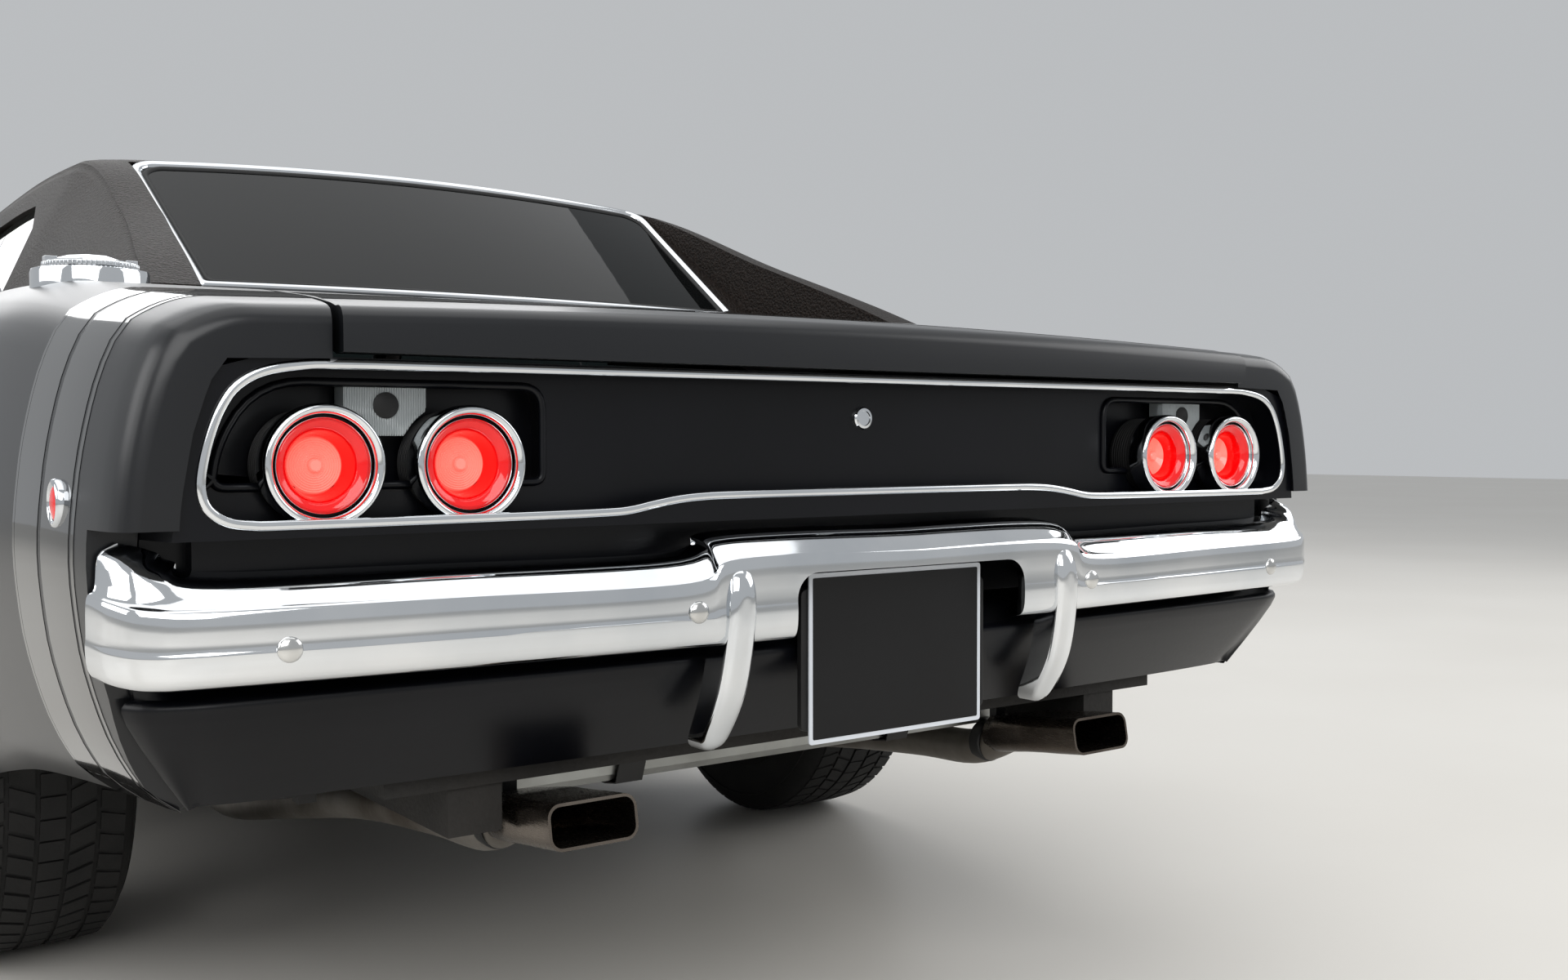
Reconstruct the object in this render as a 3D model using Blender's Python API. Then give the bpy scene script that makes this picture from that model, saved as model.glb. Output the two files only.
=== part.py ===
"""A two-door hardtop muscle car with a recessed tail and flying-buttress roof.

Metres, +Z up. The nose points along -Y and the car's left side is +X.
The origin is on the ground, in the middle of the car's length and width.
"""
import bisect
import math

import bmesh
import bpy
from mathutils import Matrix, Vector

# Platform
FLOOR_Z = 0.235
RAIL_FRONT_Y = -2.384
RAIL_TOP_Z = 0.420
PAD_X = (0.4875, 0.5375)
PAD_Y = (2.060, 2.140)
PAD_Z = 0.370

# Running gear
FRONT_AXLE_Y = -1.665
WHEELBASE = 2.960
REAR_AXLE_Y = FRONT_AXLE_Y + WHEELBASE
TYRE_RADIUS = 0.340
FRONT_TYRE_WIDTH = 0.215
REAR_TYRE_WIDTH = 0.250
FRONT_WHEEL_X = 0.765
REAR_WHEEL_X = 0.782
RIM_RADIUS = 0.200
WHEEL_SIDES = 28
RIM_WALL = 0.008
ENGINE_BOTTOM_Z = 0.300
TANK_HALF = 0.455
HUB_FACE_INSET = 0.030
BEARING_GAP = 0.0003
KINGPIN_X = 0.655
ARCH_RADIUS = 0.405
ARCH_LIFT = 0.012

# Panels
SEAT_GAP = 0.0005
SHUT_GAP = 0.0075
FENDER_WALL = 0.035
QUARTER_WALL = 0.044
DOOR_WALL = 0.090
DOOR_NOSE_WALL = 0.060
LID_WALL = 0.026
GLASS = 0.006
DOOR_FRONT_Y = -0.970
DOOR_REAR_Y = 0.470
DOOR_BOTTOM_Z = 0.275
DOOR_TAPER = 0.030
DOOR_FRONT_GAP = 0.010
BELT_Z = 0.930
HOOD_FRONT_Y = -2.490
HOOD_REAR_Y = -1.060
FENDER_STRIP = 0.123
LID_FRONT_Y = 1.672
LID_REAR_Y = 2.592
LID_FRONT_HALF = 0.548
LID_REAR_HALF = 0.702
DECK_GAP = 0.012
DECK_FRONT_Y = 1.440
TAIL_Y = 2.575
TAIL_PANEL_Y = (2.478, 2.568)
NOSE_Y = -2.600
NOSE_PANEL_Y = (-2.585, -2.550)

# Hinges
HINGE_RADIUS = 0.007
HINGE_HEIGHT = 0.024
HINGE_LENGTH = 0.030
DOOR_HINGE_X = 0.922
DOOR_HINGE_Y = -0.920
DOOR_HINGE_Z = (0.440, 0.660)
DOOR_STRAP_ANGLE = 210
DOOR_SWING = 60
HOOD_HINGE_Z = 0.966
HOOD_HINGE_X = 0.150
LID_HINGE_Z = 1.022
LID_HINGE_X = 0.440

# Body sides: y, widest half width, bottom edge, shoulder half width, shoulder height, centre-line height
BODY_LINES = [
    (-2.600, 0.868, 0.430, 0.835, 0.770, 0.790),
    (-2.540, 0.900, 0.400, 0.855, 0.786, 0.806),
    (-2.300, 0.928, 0.330, 0.868, 0.835, 0.858),
    (-1.980, 0.945, 0.270, 0.875, 0.880, 0.905),
    (-1.665, 0.955, 0.235, 0.878, 0.908, 0.938),
    (-1.300, 0.950, 0.215, 0.872, 0.925, 0.958),
    (-0.970, 0.945, 0.205, 0.866, 0.930, 0.965),
    (-0.300, 0.930, 0.205, 0.858, 0.930, 0.965),
    (0.470, 0.938, 0.205, 0.862, 0.930, 0.965),
    (0.850, 0.958, 0.220, 0.872, 0.958, 0.980),
    (1.295, 0.973, 0.275, 0.884, 1.012, 1.014),
    (1.660, 0.970, 0.350, 0.886, 1.028, 1.020),
    (2.000, 0.955, 0.415, 0.878, 1.014, 1.014),
    (2.300, 0.933, 0.441, 0.866, 0.980, 0.992),
    (2.500, 0.915, 0.452, 0.856, 0.955, 0.970),
    (2.555, 0.907, 0.458, 0.852, 0.946, 0.961),
    (2.575, 0.898, 0.462, 0.843, 0.938, 0.950),
]
LINE = ("y", "widest", "bottom", "shoulder", "top", "crown")

# Side shape: share of the height, share of the tuck-in (below and above the widest line)
SIDE_SHAPE = [
    (0.00, 1.00), (0.06, 0.62), (0.20, 0.26), (0.36, 0.06), (0.50, 0.00),
    (0.64, 0.06), (0.78, 0.20), (0.90, 0.42), (0.965, 0.68), (1.00, 1.00),
]
LOWER_TUCK = 0.095
WIDEST_SHARE = 0.50
EDGE_RADIUS = 0.030

# Stations where the body's sections are cut; panel ends are among them
STATIONS = sorted({
    NOSE_Y, *NOSE_PANEL_Y, HOOD_FRONT_Y, -2.300, FRONT_AXLE_Y - 0.405, FRONT_AXLE_Y, FRONT_AXLE_Y + 0.405,
    HOOD_REAR_Y, DOOR_FRONT_Y - DOOR_FRONT_GAP, DOOR_FRONT_Y, -0.650, -0.250, 0.100, DOOR_REAR_Y,
    DOOR_REAR_Y + SHUT_GAP, REAR_AXLE_Y - 0.405, 1.080, REAR_AXLE_Y, DECK_FRONT_Y, LID_FRONT_Y - DECK_GAP,
    LID_FRONT_Y, REAR_AXLE_Y + 0.405, 1.860, 2.040, 2.300, 2.500, *TAIL_PANEL_Y, TAIL_Y,
})

# Greenhouse: y, base half width, edge half width, edge height, crown height
ROOF_LINES = [
    (-0.995, 0.790, 0.770, 0.955, 0.985),
    (-0.930, 0.789, 0.750, 0.988, 1.022),
    (-0.400, 0.788, 0.632, 1.266, 1.330),
    (-0.200, 0.790, 0.622, 1.294, 1.356),
    (0.100, 0.792, 0.618, 1.308, 1.366),
    (0.600, 0.798, 0.620, 1.314, 1.370),
    (1.000, 0.806, 0.620, 1.300, 1.360),
    (1.075, 0.808, 0.620, 1.288, 1.348),
    (1.480, 0.812, 0.655, 1.160, 1.190),
    (1.750, 0.788, 0.690, 1.068, 1.086),
    (1.868, 0.752, 0.705, 1.026, 1.034),
]
ROOF_END_Y = ROOF_LINES[-1][0]
ROOF = ("y", "base", "edge", "edge_z", "crown")
PILLAR = 0.045
BACKLIGHT_TOP = (0.540, 1.090, 1.316)
BACKLIGHT_BOTTOM = (0.527, 1.480, 1.062)
TUNNEL_TIP_HALF = 0.625
TUNNEL_TIP_Y = 1.842

# Tail
RECESS_HALF = 0.838
RECESS_BOTTOM_Z = 0.726
RECESS_TOP_Z = 0.886
RECESS_CORNER = 0.055
RECESS_Y = 2.525
POCKET_Y = 2.492
POCKET_X = (0.488, 0.806)
POCKET_Z = (0.752, 0.874)
LAMP_X = (0.557, 0.711)
LAMP_Z = 0.793
LAMP_RADIUS = 0.0612
LAMP_FACE_Y = 2.570
LAMP_BEZEL = 0.030
LAMP_CONE = 0.012
TAIL_SIDE_TOP_Z = 0.872
TAIL_TOP_Z = 0.893
TAIL_BOTTOM_Z = 0.610
TAIL_LOW_Y = 2.520
TAIL_LOW_HALF = 0.790

FILLER_AT = (0.788, 1.948)
FILLER_RADIUS = 0.056

# Bumpers: x, face y, bottom z, face top z, crown z, depth from the face to the crown's edge
BUMPER_LINES = [
    (0.000, 2.636, 0.585, 0.688, 0.712, 0.070),
    (0.262, 2.632, 0.585, 0.688, 0.712, 0.070),
    (0.327, 2.628, 0.585, 0.664, 0.690, 0.070),
    (0.600, 2.612, 0.585, 0.664, 0.690, 0.070),
    (0.820, 2.592, 0.585, 0.664, 0.692, 0.070),
    (0.880, 2.576, 0.585, 0.667, 0.706, 0.062),
    (0.908, 2.548, 0.588, 0.674, 0.716, 0.046),
    (0.919, 2.508, 0.592, 0.680, 0.722, 0.030),
]
FRONT_BUMPER_LINES = [
    (0.000, -2.6415, 0.400, 0.505, 0.522, 0.070),
    (0.500, -2.6360, 0.400, 0.505, 0.522, 0.070),
    (0.780, -2.6150, 0.402, 0.505, 0.522, 0.070),
    (0.870, -2.5850, 0.410, 0.508, 0.524, 0.070),
    (0.908, -2.5300, 0.425, 0.512, 0.526, 0.060),
    (0.922, -2.4500, 0.440, 0.515, 0.528, 0.060),
]
BUMPER_WALL = 0.012
GUARD_X = 0.262
REAR_NOTCH = (2.4995, 0.735)
REAR_NOTCH_FOOT = (2.4555, 0.440)
REAR_NOTCH_KNEE_Z = 0.575
FRONT_NOTCH = (-2.430, 0.535)

# Nose
NOSE_OPENING_X = 0.790
NOSE_OPENING_Z = (0.548, 0.722)
COVER_X = (0.442, 0.755)
COVER_Z = (0.554, 0.716)
COVER_Y = -2.544
COVER_PIVOT = (-2.440, 0.635)

MATERIALS = {
    "paint": ((0.012, 0.013, 0.015), 0.35, 0.0),
    "chrome": ((0.78, 0.79, 0.80), 0.08, 1.0),
    "glass": ((0.10, 0.12, 0.12), 0.05, 0.0),
    "tyre": ((0.020, 0.020, 0.021), 0.85, 0.0),
    "steel": ((0.42, 0.41, 0.39), 0.30, 1.0),
    "vinyl": ((0.030, 0.027, 0.025), 0.60, 0.0),
    "underbody": ((0.025, 0.025, 0.026), 0.75, 0.0),
    "trim": ((0.018, 0.018, 0.019), 0.55, 0.0),
    "lamp": ((0.65, 0.01, 0.01), 0.15, 0.0),
    "leather": ((0.035, 0.033, 0.032), 0.55, 0.0),
    "alloy": ((0.60, 0.61, 0.62), 0.25, 1.0),
}


def clear_scene():
    for obj in list(bpy.data.objects):
        bpy.data.objects.remove(obj)


def make_material(name):
    colour, roughness, metallic = MATERIALS[name]
    material = bpy.data.materials.get(name) or bpy.data.materials.new(name)
    material.use_nodes = True
    shader = material.node_tree.nodes["Principled BSDF"]
    shader.inputs["Base Color"].default_value = (*colour, 1.0)
    shader.inputs["Roughness"].default_value = roughness
    shader.inputs["Metallic"].default_value = metallic
    return material


def add_object(name, bm, finish):
    bmesh.ops.recalc_face_normals(bm, faces=bm.faces)
    mesh = bpy.data.meshes.new(name)
    bm.to_mesh(mesh)
    bm.free()
    mesh.materials.append(make_material(finish))
    obj = bpy.data.objects.new(name, mesh)
    CAR.objects.link(obj)
    return obj


def smooth_line(rows, column, at):
    """A column of a table between its rows, as a curve that never overshoots them."""
    ys = [row[0] for row in rows]
    vs = [row[column] for row in rows]
    at = min(max(at, ys[0]), ys[-1])
    i = min(max(bisect.bisect_right(ys, at) - 1, 0), len(ys) - 2)

    def slope(k):
        return (vs[k + 1] - vs[k]) / (ys[k + 1] - ys[k])

    def tangent(k):
        if k == 0 or k == len(ys) - 1:
            return slope(min(k, len(ys) - 2))
        a, b = slope(k - 1), slope(k)
        return 0.0 if a * b <= 0 else 2 * a * b / (a + b)

    h = ys[i + 1] - ys[i]
    t = (at - ys[i]) / h
    return (
        (2 * t**3 - 3 * t**2 + 1) * vs[i] + (t**3 - 2 * t**2 + t) * h * tangent(i)
        + (-2 * t**3 + 3 * t**2) * vs[i + 1] + (t**3 - t**2) * h * tangent(i + 1)
    )


def body(y, name):
    return smooth_line(BODY_LINES, LINE.index(name), y)


def roof(y, name):
    return smooth_line(ROOF_LINES, ROOF.index(name), y)


HOOD_HALF = body(HOOD_FRONT_Y, "shoulder") - FENDER_STRIP


def between(low, high):
    """The stations from low to high, both included."""
    inside = [y for y in STATIONS if low + 1e-6 < y < high - 1e-6]
    return [low, *inside, high]


def top_z(x, y):
    """Height of the body's top surface, a shallow crown between the shoulders."""
    edge = body(y, "shoulder") - EDGE_RADIUS
    share = min(abs(x) / edge, 1.0)
    return body(y, "crown") - (body(y, "crown") - body(y, "top")) * share**2


def side_points(y, low_z=None):
    """The side's outline at a station, from its bottom edge up to the shoulder."""
    bottom, top = body(y, "bottom"), body(y, "top")
    widest, shoulder = body(y, "widest"), body(y, "shoulder")
    found = []
    for share, tuck in SIDE_SHAPE:
        depth = LOWER_TUCK if share < WIDEST_SHARE else widest - (shoulder - EDGE_RADIUS)
        found.append((widest - tuck * depth, bottom + share * (top - bottom)))
    if low_z is None:
        return found
    kept = [p for p in found if p[1] > low_z + 0.01]
    below = [p for p in found if p[1] <= low_z + 0.01][-1]
    above = kept[0]
    t = (low_z - below[1]) / (above[1] - below[1])
    return [(below[0] + t * (above[0] - below[0]), low_z), *kept]


def inset(points, wall):
    """The same outline moved inwards by a wall, towards the car's middle and down."""
    found = []
    for i, (x, z) in enumerate(points[:-1]):
        ax, az = points[max(i - 1, 0)]
        bx, bz = points[min(i + 1, len(points) - 1)]
        dx, dz = bx - ax, bz - az
        length = math.hypot(dx, dz)
        found.append((x - wall * dz / length, z + wall * dx / length))
    x, z = points[-1]
    return [*found, (x, z - wall)]


def grid_solid(outer, inner):
    """A closed wall between two like grids of points, outer and inner."""
    bm = bmesh.new()
    layers = [[[bm.verts.new(p) for p in row] for row in grid] for grid in (outer, inner)]
    rows, columns = len(outer), len(outer[0])
    for layer in layers:
        for i in range(rows - 1):
            for j in range(columns - 1):
                bm.faces.new((layer[i][j], layer[i][j + 1], layer[i + 1][j + 1], layer[i + 1][j]))
    a, b = layers
    for i in range(rows - 1):
        for j in (0, columns - 1):
            bm.faces.new((a[i][j], a[i + 1][j], b[i + 1][j], b[i][j]))
    for j in range(columns - 1):
        for i in (0, rows - 1):
            bm.faces.new((a[i][j], a[i][j + 1], b[i][j + 1], b[i][j]))
    return bm


def ring_solid(rings):
    """A closed loft through rings of as many points each, with flat ends."""
    bm = bmesh.new()
    made = [[bm.verts.new(p) for p in ring] for ring in rings]
    count = len(rings[0])
    for a, b in zip(made, made[1:]):
        for j in range(count):
            k = (j + 1) % count
            bm.faces.new((a[j], a[k], b[k], b[j]))
    bm.faces.new(made[0])
    bm.faces.new(made[-1])
    return bm


def box_solid(low, high):
    bm = bmesh.new()
    size = Vector(high) - Vector(low)
    middle = (Vector(high) + Vector(low)) / 2
    bmesh.ops.create_cube(bm, size=1.0, matrix=Matrix.Translation(middle) @ Matrix.Diagonal((*size, 1.0)))
    return bm


AXIS_TURN = {
    "X": Matrix.Rotation(math.pi / 2, 4, "Y"),
    "Y": Matrix.Rotation(-math.pi / 2, 4, "X"),
    "Z": Matrix.Identity(4),
}


def round_solid(axis, centre, radius, length, sides=16, far_radius=None):
    """A cylinder or cone along a car axis, around its centre."""
    bm = bmesh.new()
    bmesh.ops.create_cone(
        bm, cap_ends=True, segments=sides, radius1=radius,
        radius2=radius if far_radius is None else far_radius, depth=length,
        matrix=Matrix.Translation(centre) @ AXIS_TURN[axis],
    )
    return bm


def prism_solid(outline, direction, distance):
    """A flat outline of 3-D points, pushed along a direction."""
    step = Vector(direction).normalized() * distance
    return ring_solid([[Vector(p) for p in outline], [Vector(p) + step for p in outline]])


def rounded_outline(low, high, radius, steps=4):
    """A rectangle with round corners, as 2-D points."""
    found = []
    corners = ((high[0] - radius, high[1] - radius, 0), (low[0] + radius, high[1] - radius, 90),
               (low[0] + radius, low[1] + radius, 180), (high[0] - radius, low[1] + radius, 270))
    for cx, cy, start in corners:
        for i in range(steps + 1):
            angle = math.radians(start + 90 * i / steps)
            found.append((cx + radius * math.cos(angle), cy + radius * math.sin(angle)))
    return found


def tube_solid(points, radius, sides=10):
    """A round tube along a list of points, with flat ends."""
    points = [Vector(p) for p in points]
    rings = []
    for i, p in enumerate(points):
        ahead = (points[min(i + 1, len(points) - 1)] - points[max(i - 1, 0)]).normalized()
        side = ahead.cross(Vector((0, 0, 1)) if abs(ahead.z) < 0.9 else Vector((1, 0, 0))).normalized()
        up = side.cross(ahead)
        ring = []
        for k in range(sides):
            angle = 2 * math.pi * k / sides
            ring.append(p + side * radius * math.cos(angle) + up * radius * math.sin(angle))
        rings.append(ring)
    return ring_solid(rings)


def combine(obj, tools, operation):
    """Joins or cuts an object with closed bmeshes in one step, and keeps the result as its mesh."""
    whole = bmesh.new()
    for bm in tools:
        bmesh.ops.recalc_face_normals(bm, faces=bm.faces)
        piece = bpy.data.meshes.new("piece")
        bm.to_mesh(piece)
        bm.free()
        whole.from_mesh(piece)
        bpy.data.meshes.remove(piece)
    mesh = bpy.data.meshes.new("tool")
    whole.to_mesh(mesh)
    whole.free()
    tool = bpy.data.objects.new("tool", mesh)
    CAR.objects.link(tool)
    modifier = obj.modifiers.new("combine", "BOOLEAN")
    modifier.operation = operation
    modifier.solver = "EXACT"
    modifier.use_self = len(tools) > 1
    modifier.object = tool
    bpy.context.view_layer.update()
    graph = bpy.context.evaluated_depsgraph_get()
    made = bpy.data.meshes.new_from_object(obj.evaluated_get(graph))
    obj.modifiers.clear()
    old, obj.data = obj.data, made
    bpy.data.meshes.remove(old)
    bpy.data.objects.remove(tool)
    return obj


def join(obj, tools):
    return combine(obj, tools, "UNION")


def cut(obj, tools):
    return combine(obj, tools, "DIFFERENCE")


def keep(obj, tools):
    return combine(obj, tools, "INTERSECT")


def mirrored(points, side):
    return [(side * x, y, z) for x, y, z in points]


def on_side(side, grid):
    return [mirrored(row, side) for row in grid]


# Body panels

def wall_grids(ys, section, wall):
    """Outer and inner grids of a body wall, from its 2-D section at each station."""
    outer, inner = [], []
    for y in ys:
        points = section(y)
        outer.append([(x, y, z) for x, z in points])
        inner.append([(x, y, z) for x, z in inset(points, wall)])
    return outer, inner


def strip_inner_half(y):
    """Inner edge of the quarter's top strip: cabin side, then along the boot lid."""
    if y >= LID_FRONT_Y:
        return lid_half(y) + SHUT_GAP
    share = min(max((y - 1.30) / 0.14, 0.0), 1.0)
    return 0.700 + share * (LID_FRONT_HALF + SHUT_GAP - 0.700)


def lid_half(y):
    share = (y - LID_FRONT_Y) / (LID_REAR_Y - LID_FRONT_Y)
    return LID_FRONT_HALF + share * (LID_REAR_HALF - LID_FRONT_HALF)


def fender_section(y):
    inner = HOOD_HALF + SHUT_GAP
    return [*side_points(y), (inner, top_z(inner, y))]


def quarter_section(y):
    inner = strip_inner_half(y)
    middle = (inner + body(y, "shoulder") - EDGE_RADIUS) / 2
    return [*side_points(y), (middle, top_z(middle, y)), (inner, top_z(inner, y))]


def door_section(y):
    points = side_points(y, DOOR_BOTTOM_Z)
    return points[:-1] + [(body(y, "shoulder") - EDGE_RADIUS, BELT_Z)]


def arch_cutter(side, axle_y, reach=0.60):
    centre = (side * (0.52 + reach / 2), axle_y, TYRE_RADIUS + ARCH_LIFT)
    return round_solid("X", centre, ARCH_RADIUS, reach, sides=36)


def make_fender(side, name):
    ys = between(NOSE_Y, DOOR_FRONT_Y - DOOR_FRONT_GAP)
    outer, inner = wall_grids(ys, fender_section, FENDER_WALL)
    obj = add_object(name, grid_solid(on_side(side, outer), on_side(side, inner)), "paint")
    end_y, end_z = FRONT_NOTCH
    notch = box_solid(*ordered((side * 0.5, end_y - 0.5, 0.0), (side * 1.1, end_y, end_z)))
    return cut(obj, [arch_cutter(side, FRONT_AXLE_Y), notch])


def make_quarter(side, name):
    ys = between(DOOR_REAR_Y + SHUT_GAP, TAIL_Y)
    outer, inner = wall_grids(ys, quarter_section, QUARTER_WALL)
    obj = add_object(name, grid_solid(on_side(side, outer), on_side(side, inner)), "paint")
    end_y, end_z = REAR_NOTCH
    foot_y, foot_z = REAR_NOTCH_FOOT
    outline = [(end_y, end_z), (end_y + 0.5, end_z), (end_y + 0.5, 0.0), (foot_y, 0.0), (foot_y, foot_z),
               (end_y, REAR_NOTCH_KNEE_Z)]
    notch = prism_solid([(side * 0.5, y, z) for y, z in outline], (side, 0, 0), 0.6)
    return cut(obj, [arch_cutter(side, REAR_AXLE_Y), notch])


def make_door(side, name):
    """A door as thick as its whole wall, narrower inside so that its ends swing clear."""
    ys = between(DOOR_FRONT_Y, DOOR_REAR_Y)
    outer, inner = [], []
    for y in ys:
        points = door_section(y)
        inside = min(x for x, _ in points) - (DOOR_WALL if y > DOOR_HINGE_Y else DOOR_NOSE_WALL)
        inner_y = min(y, DOOR_REAR_Y - DOOR_TAPER)
        outer.append([(x, y, z) for x, z in points])
        inner.append([(inside, inner_y, z) for _, z in points])
    inner[-2] = [(x, inner[-1][0][1] - 0.060, z) for x, _, z in inner[-2]]
    obj = add_object(name, grid_solid(on_side(side, outer), on_side(side, inner)), "paint")
    return cut(obj, [hinge_pocket(side, z) for z in DOOR_HINGE_Z])


def hinge_pocket(side, z):
    """Room in the door for a fixed strap while the door swings round it."""
    tall = HINGE_HEIGHT + 2 * BEARING_GAP
    clear = HINGE_RADIUS + 0.001
    outline = []
    for k in range(9):
        angle = math.radians(DOOR_STRAP_ANGLE - 100 + 40 - 22.5 * k)
        outline.append((clear * math.cos(angle), clear * math.sin(angle)))
    for angle in (DOOR_STRAP_ANGLE + DOOR_SWING + 8, DOOR_STRAP_ANGLE - 8):
        outline.append((0.140 * math.cos(math.radians(angle)), 0.140 * math.sin(math.radians(angle))))
    points = [(side * (DOOR_HINGE_X + dx), DOOR_HINGE_Y + dy, z - tall / 2) for dx, dy in outline]
    return prism_solid(points, (0, 0, 1), tall)


def hinge_strap(side, z):
    """A fixed strap from the door post to the eye that the door turns on."""
    angle = math.radians(DOOR_STRAP_ANGLE)
    along, across = (math.cos(angle), math.sin(angle)), (-math.sin(angle) * 0.005, math.cos(angle) * 0.005)
    reach, tall = 0.150, HINGE_HEIGHT / 2
    outline = [(across[0], across[1]), (across[0] + along[0] * reach, across[1] + along[1] * reach),
               (-across[0] + along[0] * reach, -across[1] + along[1] * reach), (-across[0], -across[1])]
    points = [(side * (DOOR_HINGE_X + dx), DOOR_HINGE_Y + dy, z - tall / 2) for dx, dy in outline]
    eye = round_solid("Z", (side * DOOR_HINGE_X, DOOR_HINGE_Y, z), HINGE_RADIUS, HINGE_HEIGHT, sides=12)
    return [prism_solid(points, (0, 0, 1), tall), eye]


def make_hood():
    shares = [-1.0, -0.72, -0.40, 0.0, 0.40, 0.72, 1.0]
    outer, inner = [], []
    for y in between(HOOD_FRONT_Y, HOOD_REAR_Y):
        outer.append([(s * HOOD_HALF, y, top_z(s * HOOD_HALF, y)) for s in shares])
        inner.append([(x, y, z - LID_WALL) for x, y, z in outer[-1]])
    obj = add_object("hood", grid_solid(outer, inner), "paint")
    axis = (HOOD_HINGE_X, HOOD_REAR_Y, HOOD_HINGE_Z)
    cut(obj, [barrel(side, axis, 0.5, HINGE_RADIUS + 0.0005, 0.001) for side in (1, -1)])
    return join(obj, [barrel(side, axis, -0.5) for side in (1, -1)])


def barrel(side, axis, shift, radius=HINGE_RADIUS, grow=0.0):
    """One of two barrels side by side on a hinge's axis; shift picks the outer or the inner."""
    x, y, z = axis
    x += shift * (HINGE_LENGTH + BEARING_GAP)
    return round_solid("X", (side * x, y, z), radius, HINGE_LENGTH + grow, sides=12)


def fixed_hinge(side, axis, edge_y, panel_z):
    """A fixed barrel with the tab that carries it from a panel's edge."""
    x, y, z = axis
    low = (side * (x + BEARING_GAP / 2), min(y, edge_y), panel_z - 0.008)
    high = (side * (x + BEARING_GAP / 2 + HINGE_LENGTH), max(y, edge_y), panel_z - 0.001)
    return [barrel(side, axis, 0.5), box_solid(*ordered(low, high))]


def make_cowl():
    """The vent panel between the hood and the windscreen."""
    half = HOOD_HALF + SHUT_GAP - SEAT_GAP
    outer, inner = [], []
    for y in (HOOD_REAR_Y + SHUT_GAP, -0.995, -0.950, -0.905):
        outer.append([(s * half, y, top_z(s * half, y)) for s in (-1.0, -0.5, 0.0, 0.5, 1.0)])
        inner.append([(x, y, z - 0.020) for x, y, z in outer[-1]])
    obj = add_object("cowl_panel", grid_solid(outer, inner), "paint")
    axis = (HOOD_HINGE_X, HOOD_REAR_Y, HOOD_HINGE_Z)
    panel_z = top_z(HOOD_HINGE_X, HOOD_REAR_Y)
    edge = HOOD_REAR_Y + SHUT_GAP + 0.004
    return join(obj, [solid for side in (1, -1) for solid in fixed_hinge(side, axis, edge, panel_z)])


def make_trunk_lid():
    shares = [-1.0, -0.66, -0.33, 0.0, 0.33, 0.66, 1.0]
    ys = [y for y in between(LID_FRONT_Y, TAIL_Y)] + [LID_REAR_Y]
    outer, inner = [], []
    for y in ys:
        deep = 0.044 if y > 2.53 else LID_WALL
        half = lid_half(y)
        drop = 0.006 if y > TAIL_Y else 0.0
        outer.append([(s * half, y, top_z(s * half, min(y, 2.555)) - drop) for s in shares])
        inner.append([(x, y, body(2.555, "top") - 0.043 if y > 2.53 else z - deep) for x, y, z in outer[-1]])
    obj = add_object("trunk_lid", grid_solid(outer, inner), "paint")
    axis = (LID_HINGE_X, LID_FRONT_Y, LID_HINGE_Z)
    cut(obj, [barrel(side, axis, 0.5, HINGE_RADIUS + 0.0005, 0.001) for side in (1, -1)])
    return join(obj, [barrel(side, axis, -0.5) for side in (1, -1)])


# Greenhouse

def roof_ring(y, inward=0.0, low_z=0.86):
    """The greenhouse's outline at a station, moved inwards by a wall."""
    base, edge = roof(y, "base") - inward, roof(y, "edge") - inward * 0.9
    edge_z, crown = roof(y, "edge_z") - inward * 0.75, roof(y, "crown") - inward
    lean = (base - edge) / max(edge_z - BELT_Z, 0.02)
    foot = base + lean * (BELT_Z - low_z) if lean < 1.2 else base
    shoulder = (edge - 0.048 * min(1, (edge_z - 0.9) * 4), edge_z + (crown - edge_z) * 0.62)
    half = [
        (foot, low_z), (base, min(BELT_Z, edge_z - 0.004)), (edge, edge_z), (edge - 0.012, edge_z + (crown - edge_z) * 0.30),
        shoulder, (edge * 0.55, edge_z + (crown - edge_z) * 0.90), (0.0, crown),
    ]
    right = [(-x, z) for x, z in half[:-1]]
    return [(x, y, z) for x, z in [*half, *reversed(right)]]


def roof_volume(inward, low, high, low_z=0.86):
    ys = [y for y in sorted({*[r[0] for r in ROOF_LINES], -0.70, 0.35, 0.80, 1.25, 1.62}) if low < y < high]
    return ring_solid([roof_ring(y, inward, low_z) for y in [low, *ys, high]])


def body_volume(outset):
    """The lower body as one solid, a little larger than its panels, to trim what stands on it."""
    rings = []
    for y in between(-1.30, TAIL_Y):
        points = side_points(y)
        inner = strip_inner_half(y) if y > DOOR_REAR_Y else HOOD_HALF + SHUT_GAP
        middle = (inner + body(y, "shoulder") - EDGE_RADIUS) / 2
        top = [(x, top_z(x, y)) for x in (middle, inner, inner * 0.5)]
        half = [(x, z) for x, z in inset([*points, *top], -outset)]
        crown = (0.0, body(y, "crown") + outset)
        rings.append([(x, y, z) for x, z in [*half, crown, *reversed([(-x, z) for x, z in half])]])
    return ring_solid(rings)


TOP_RAIL = 0.038
SIDE_WINDOW = [
    (-0.962, 0.80), (-0.962, 0.940), (-0.880, 0.968),
    *[(y, roof(y, "edge_z") - TOP_RAIL) for y in (-0.405, -0.200, 0.100, 0.600, 0.800)],
    (0.905, 1.215), (0.985, 1.030), (0.995, 0.80),
]
WINDSCREEN_BOTTOM = (0.700, -0.940)
WINDSCREEN_TOP = (0.545, -0.425)


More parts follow.
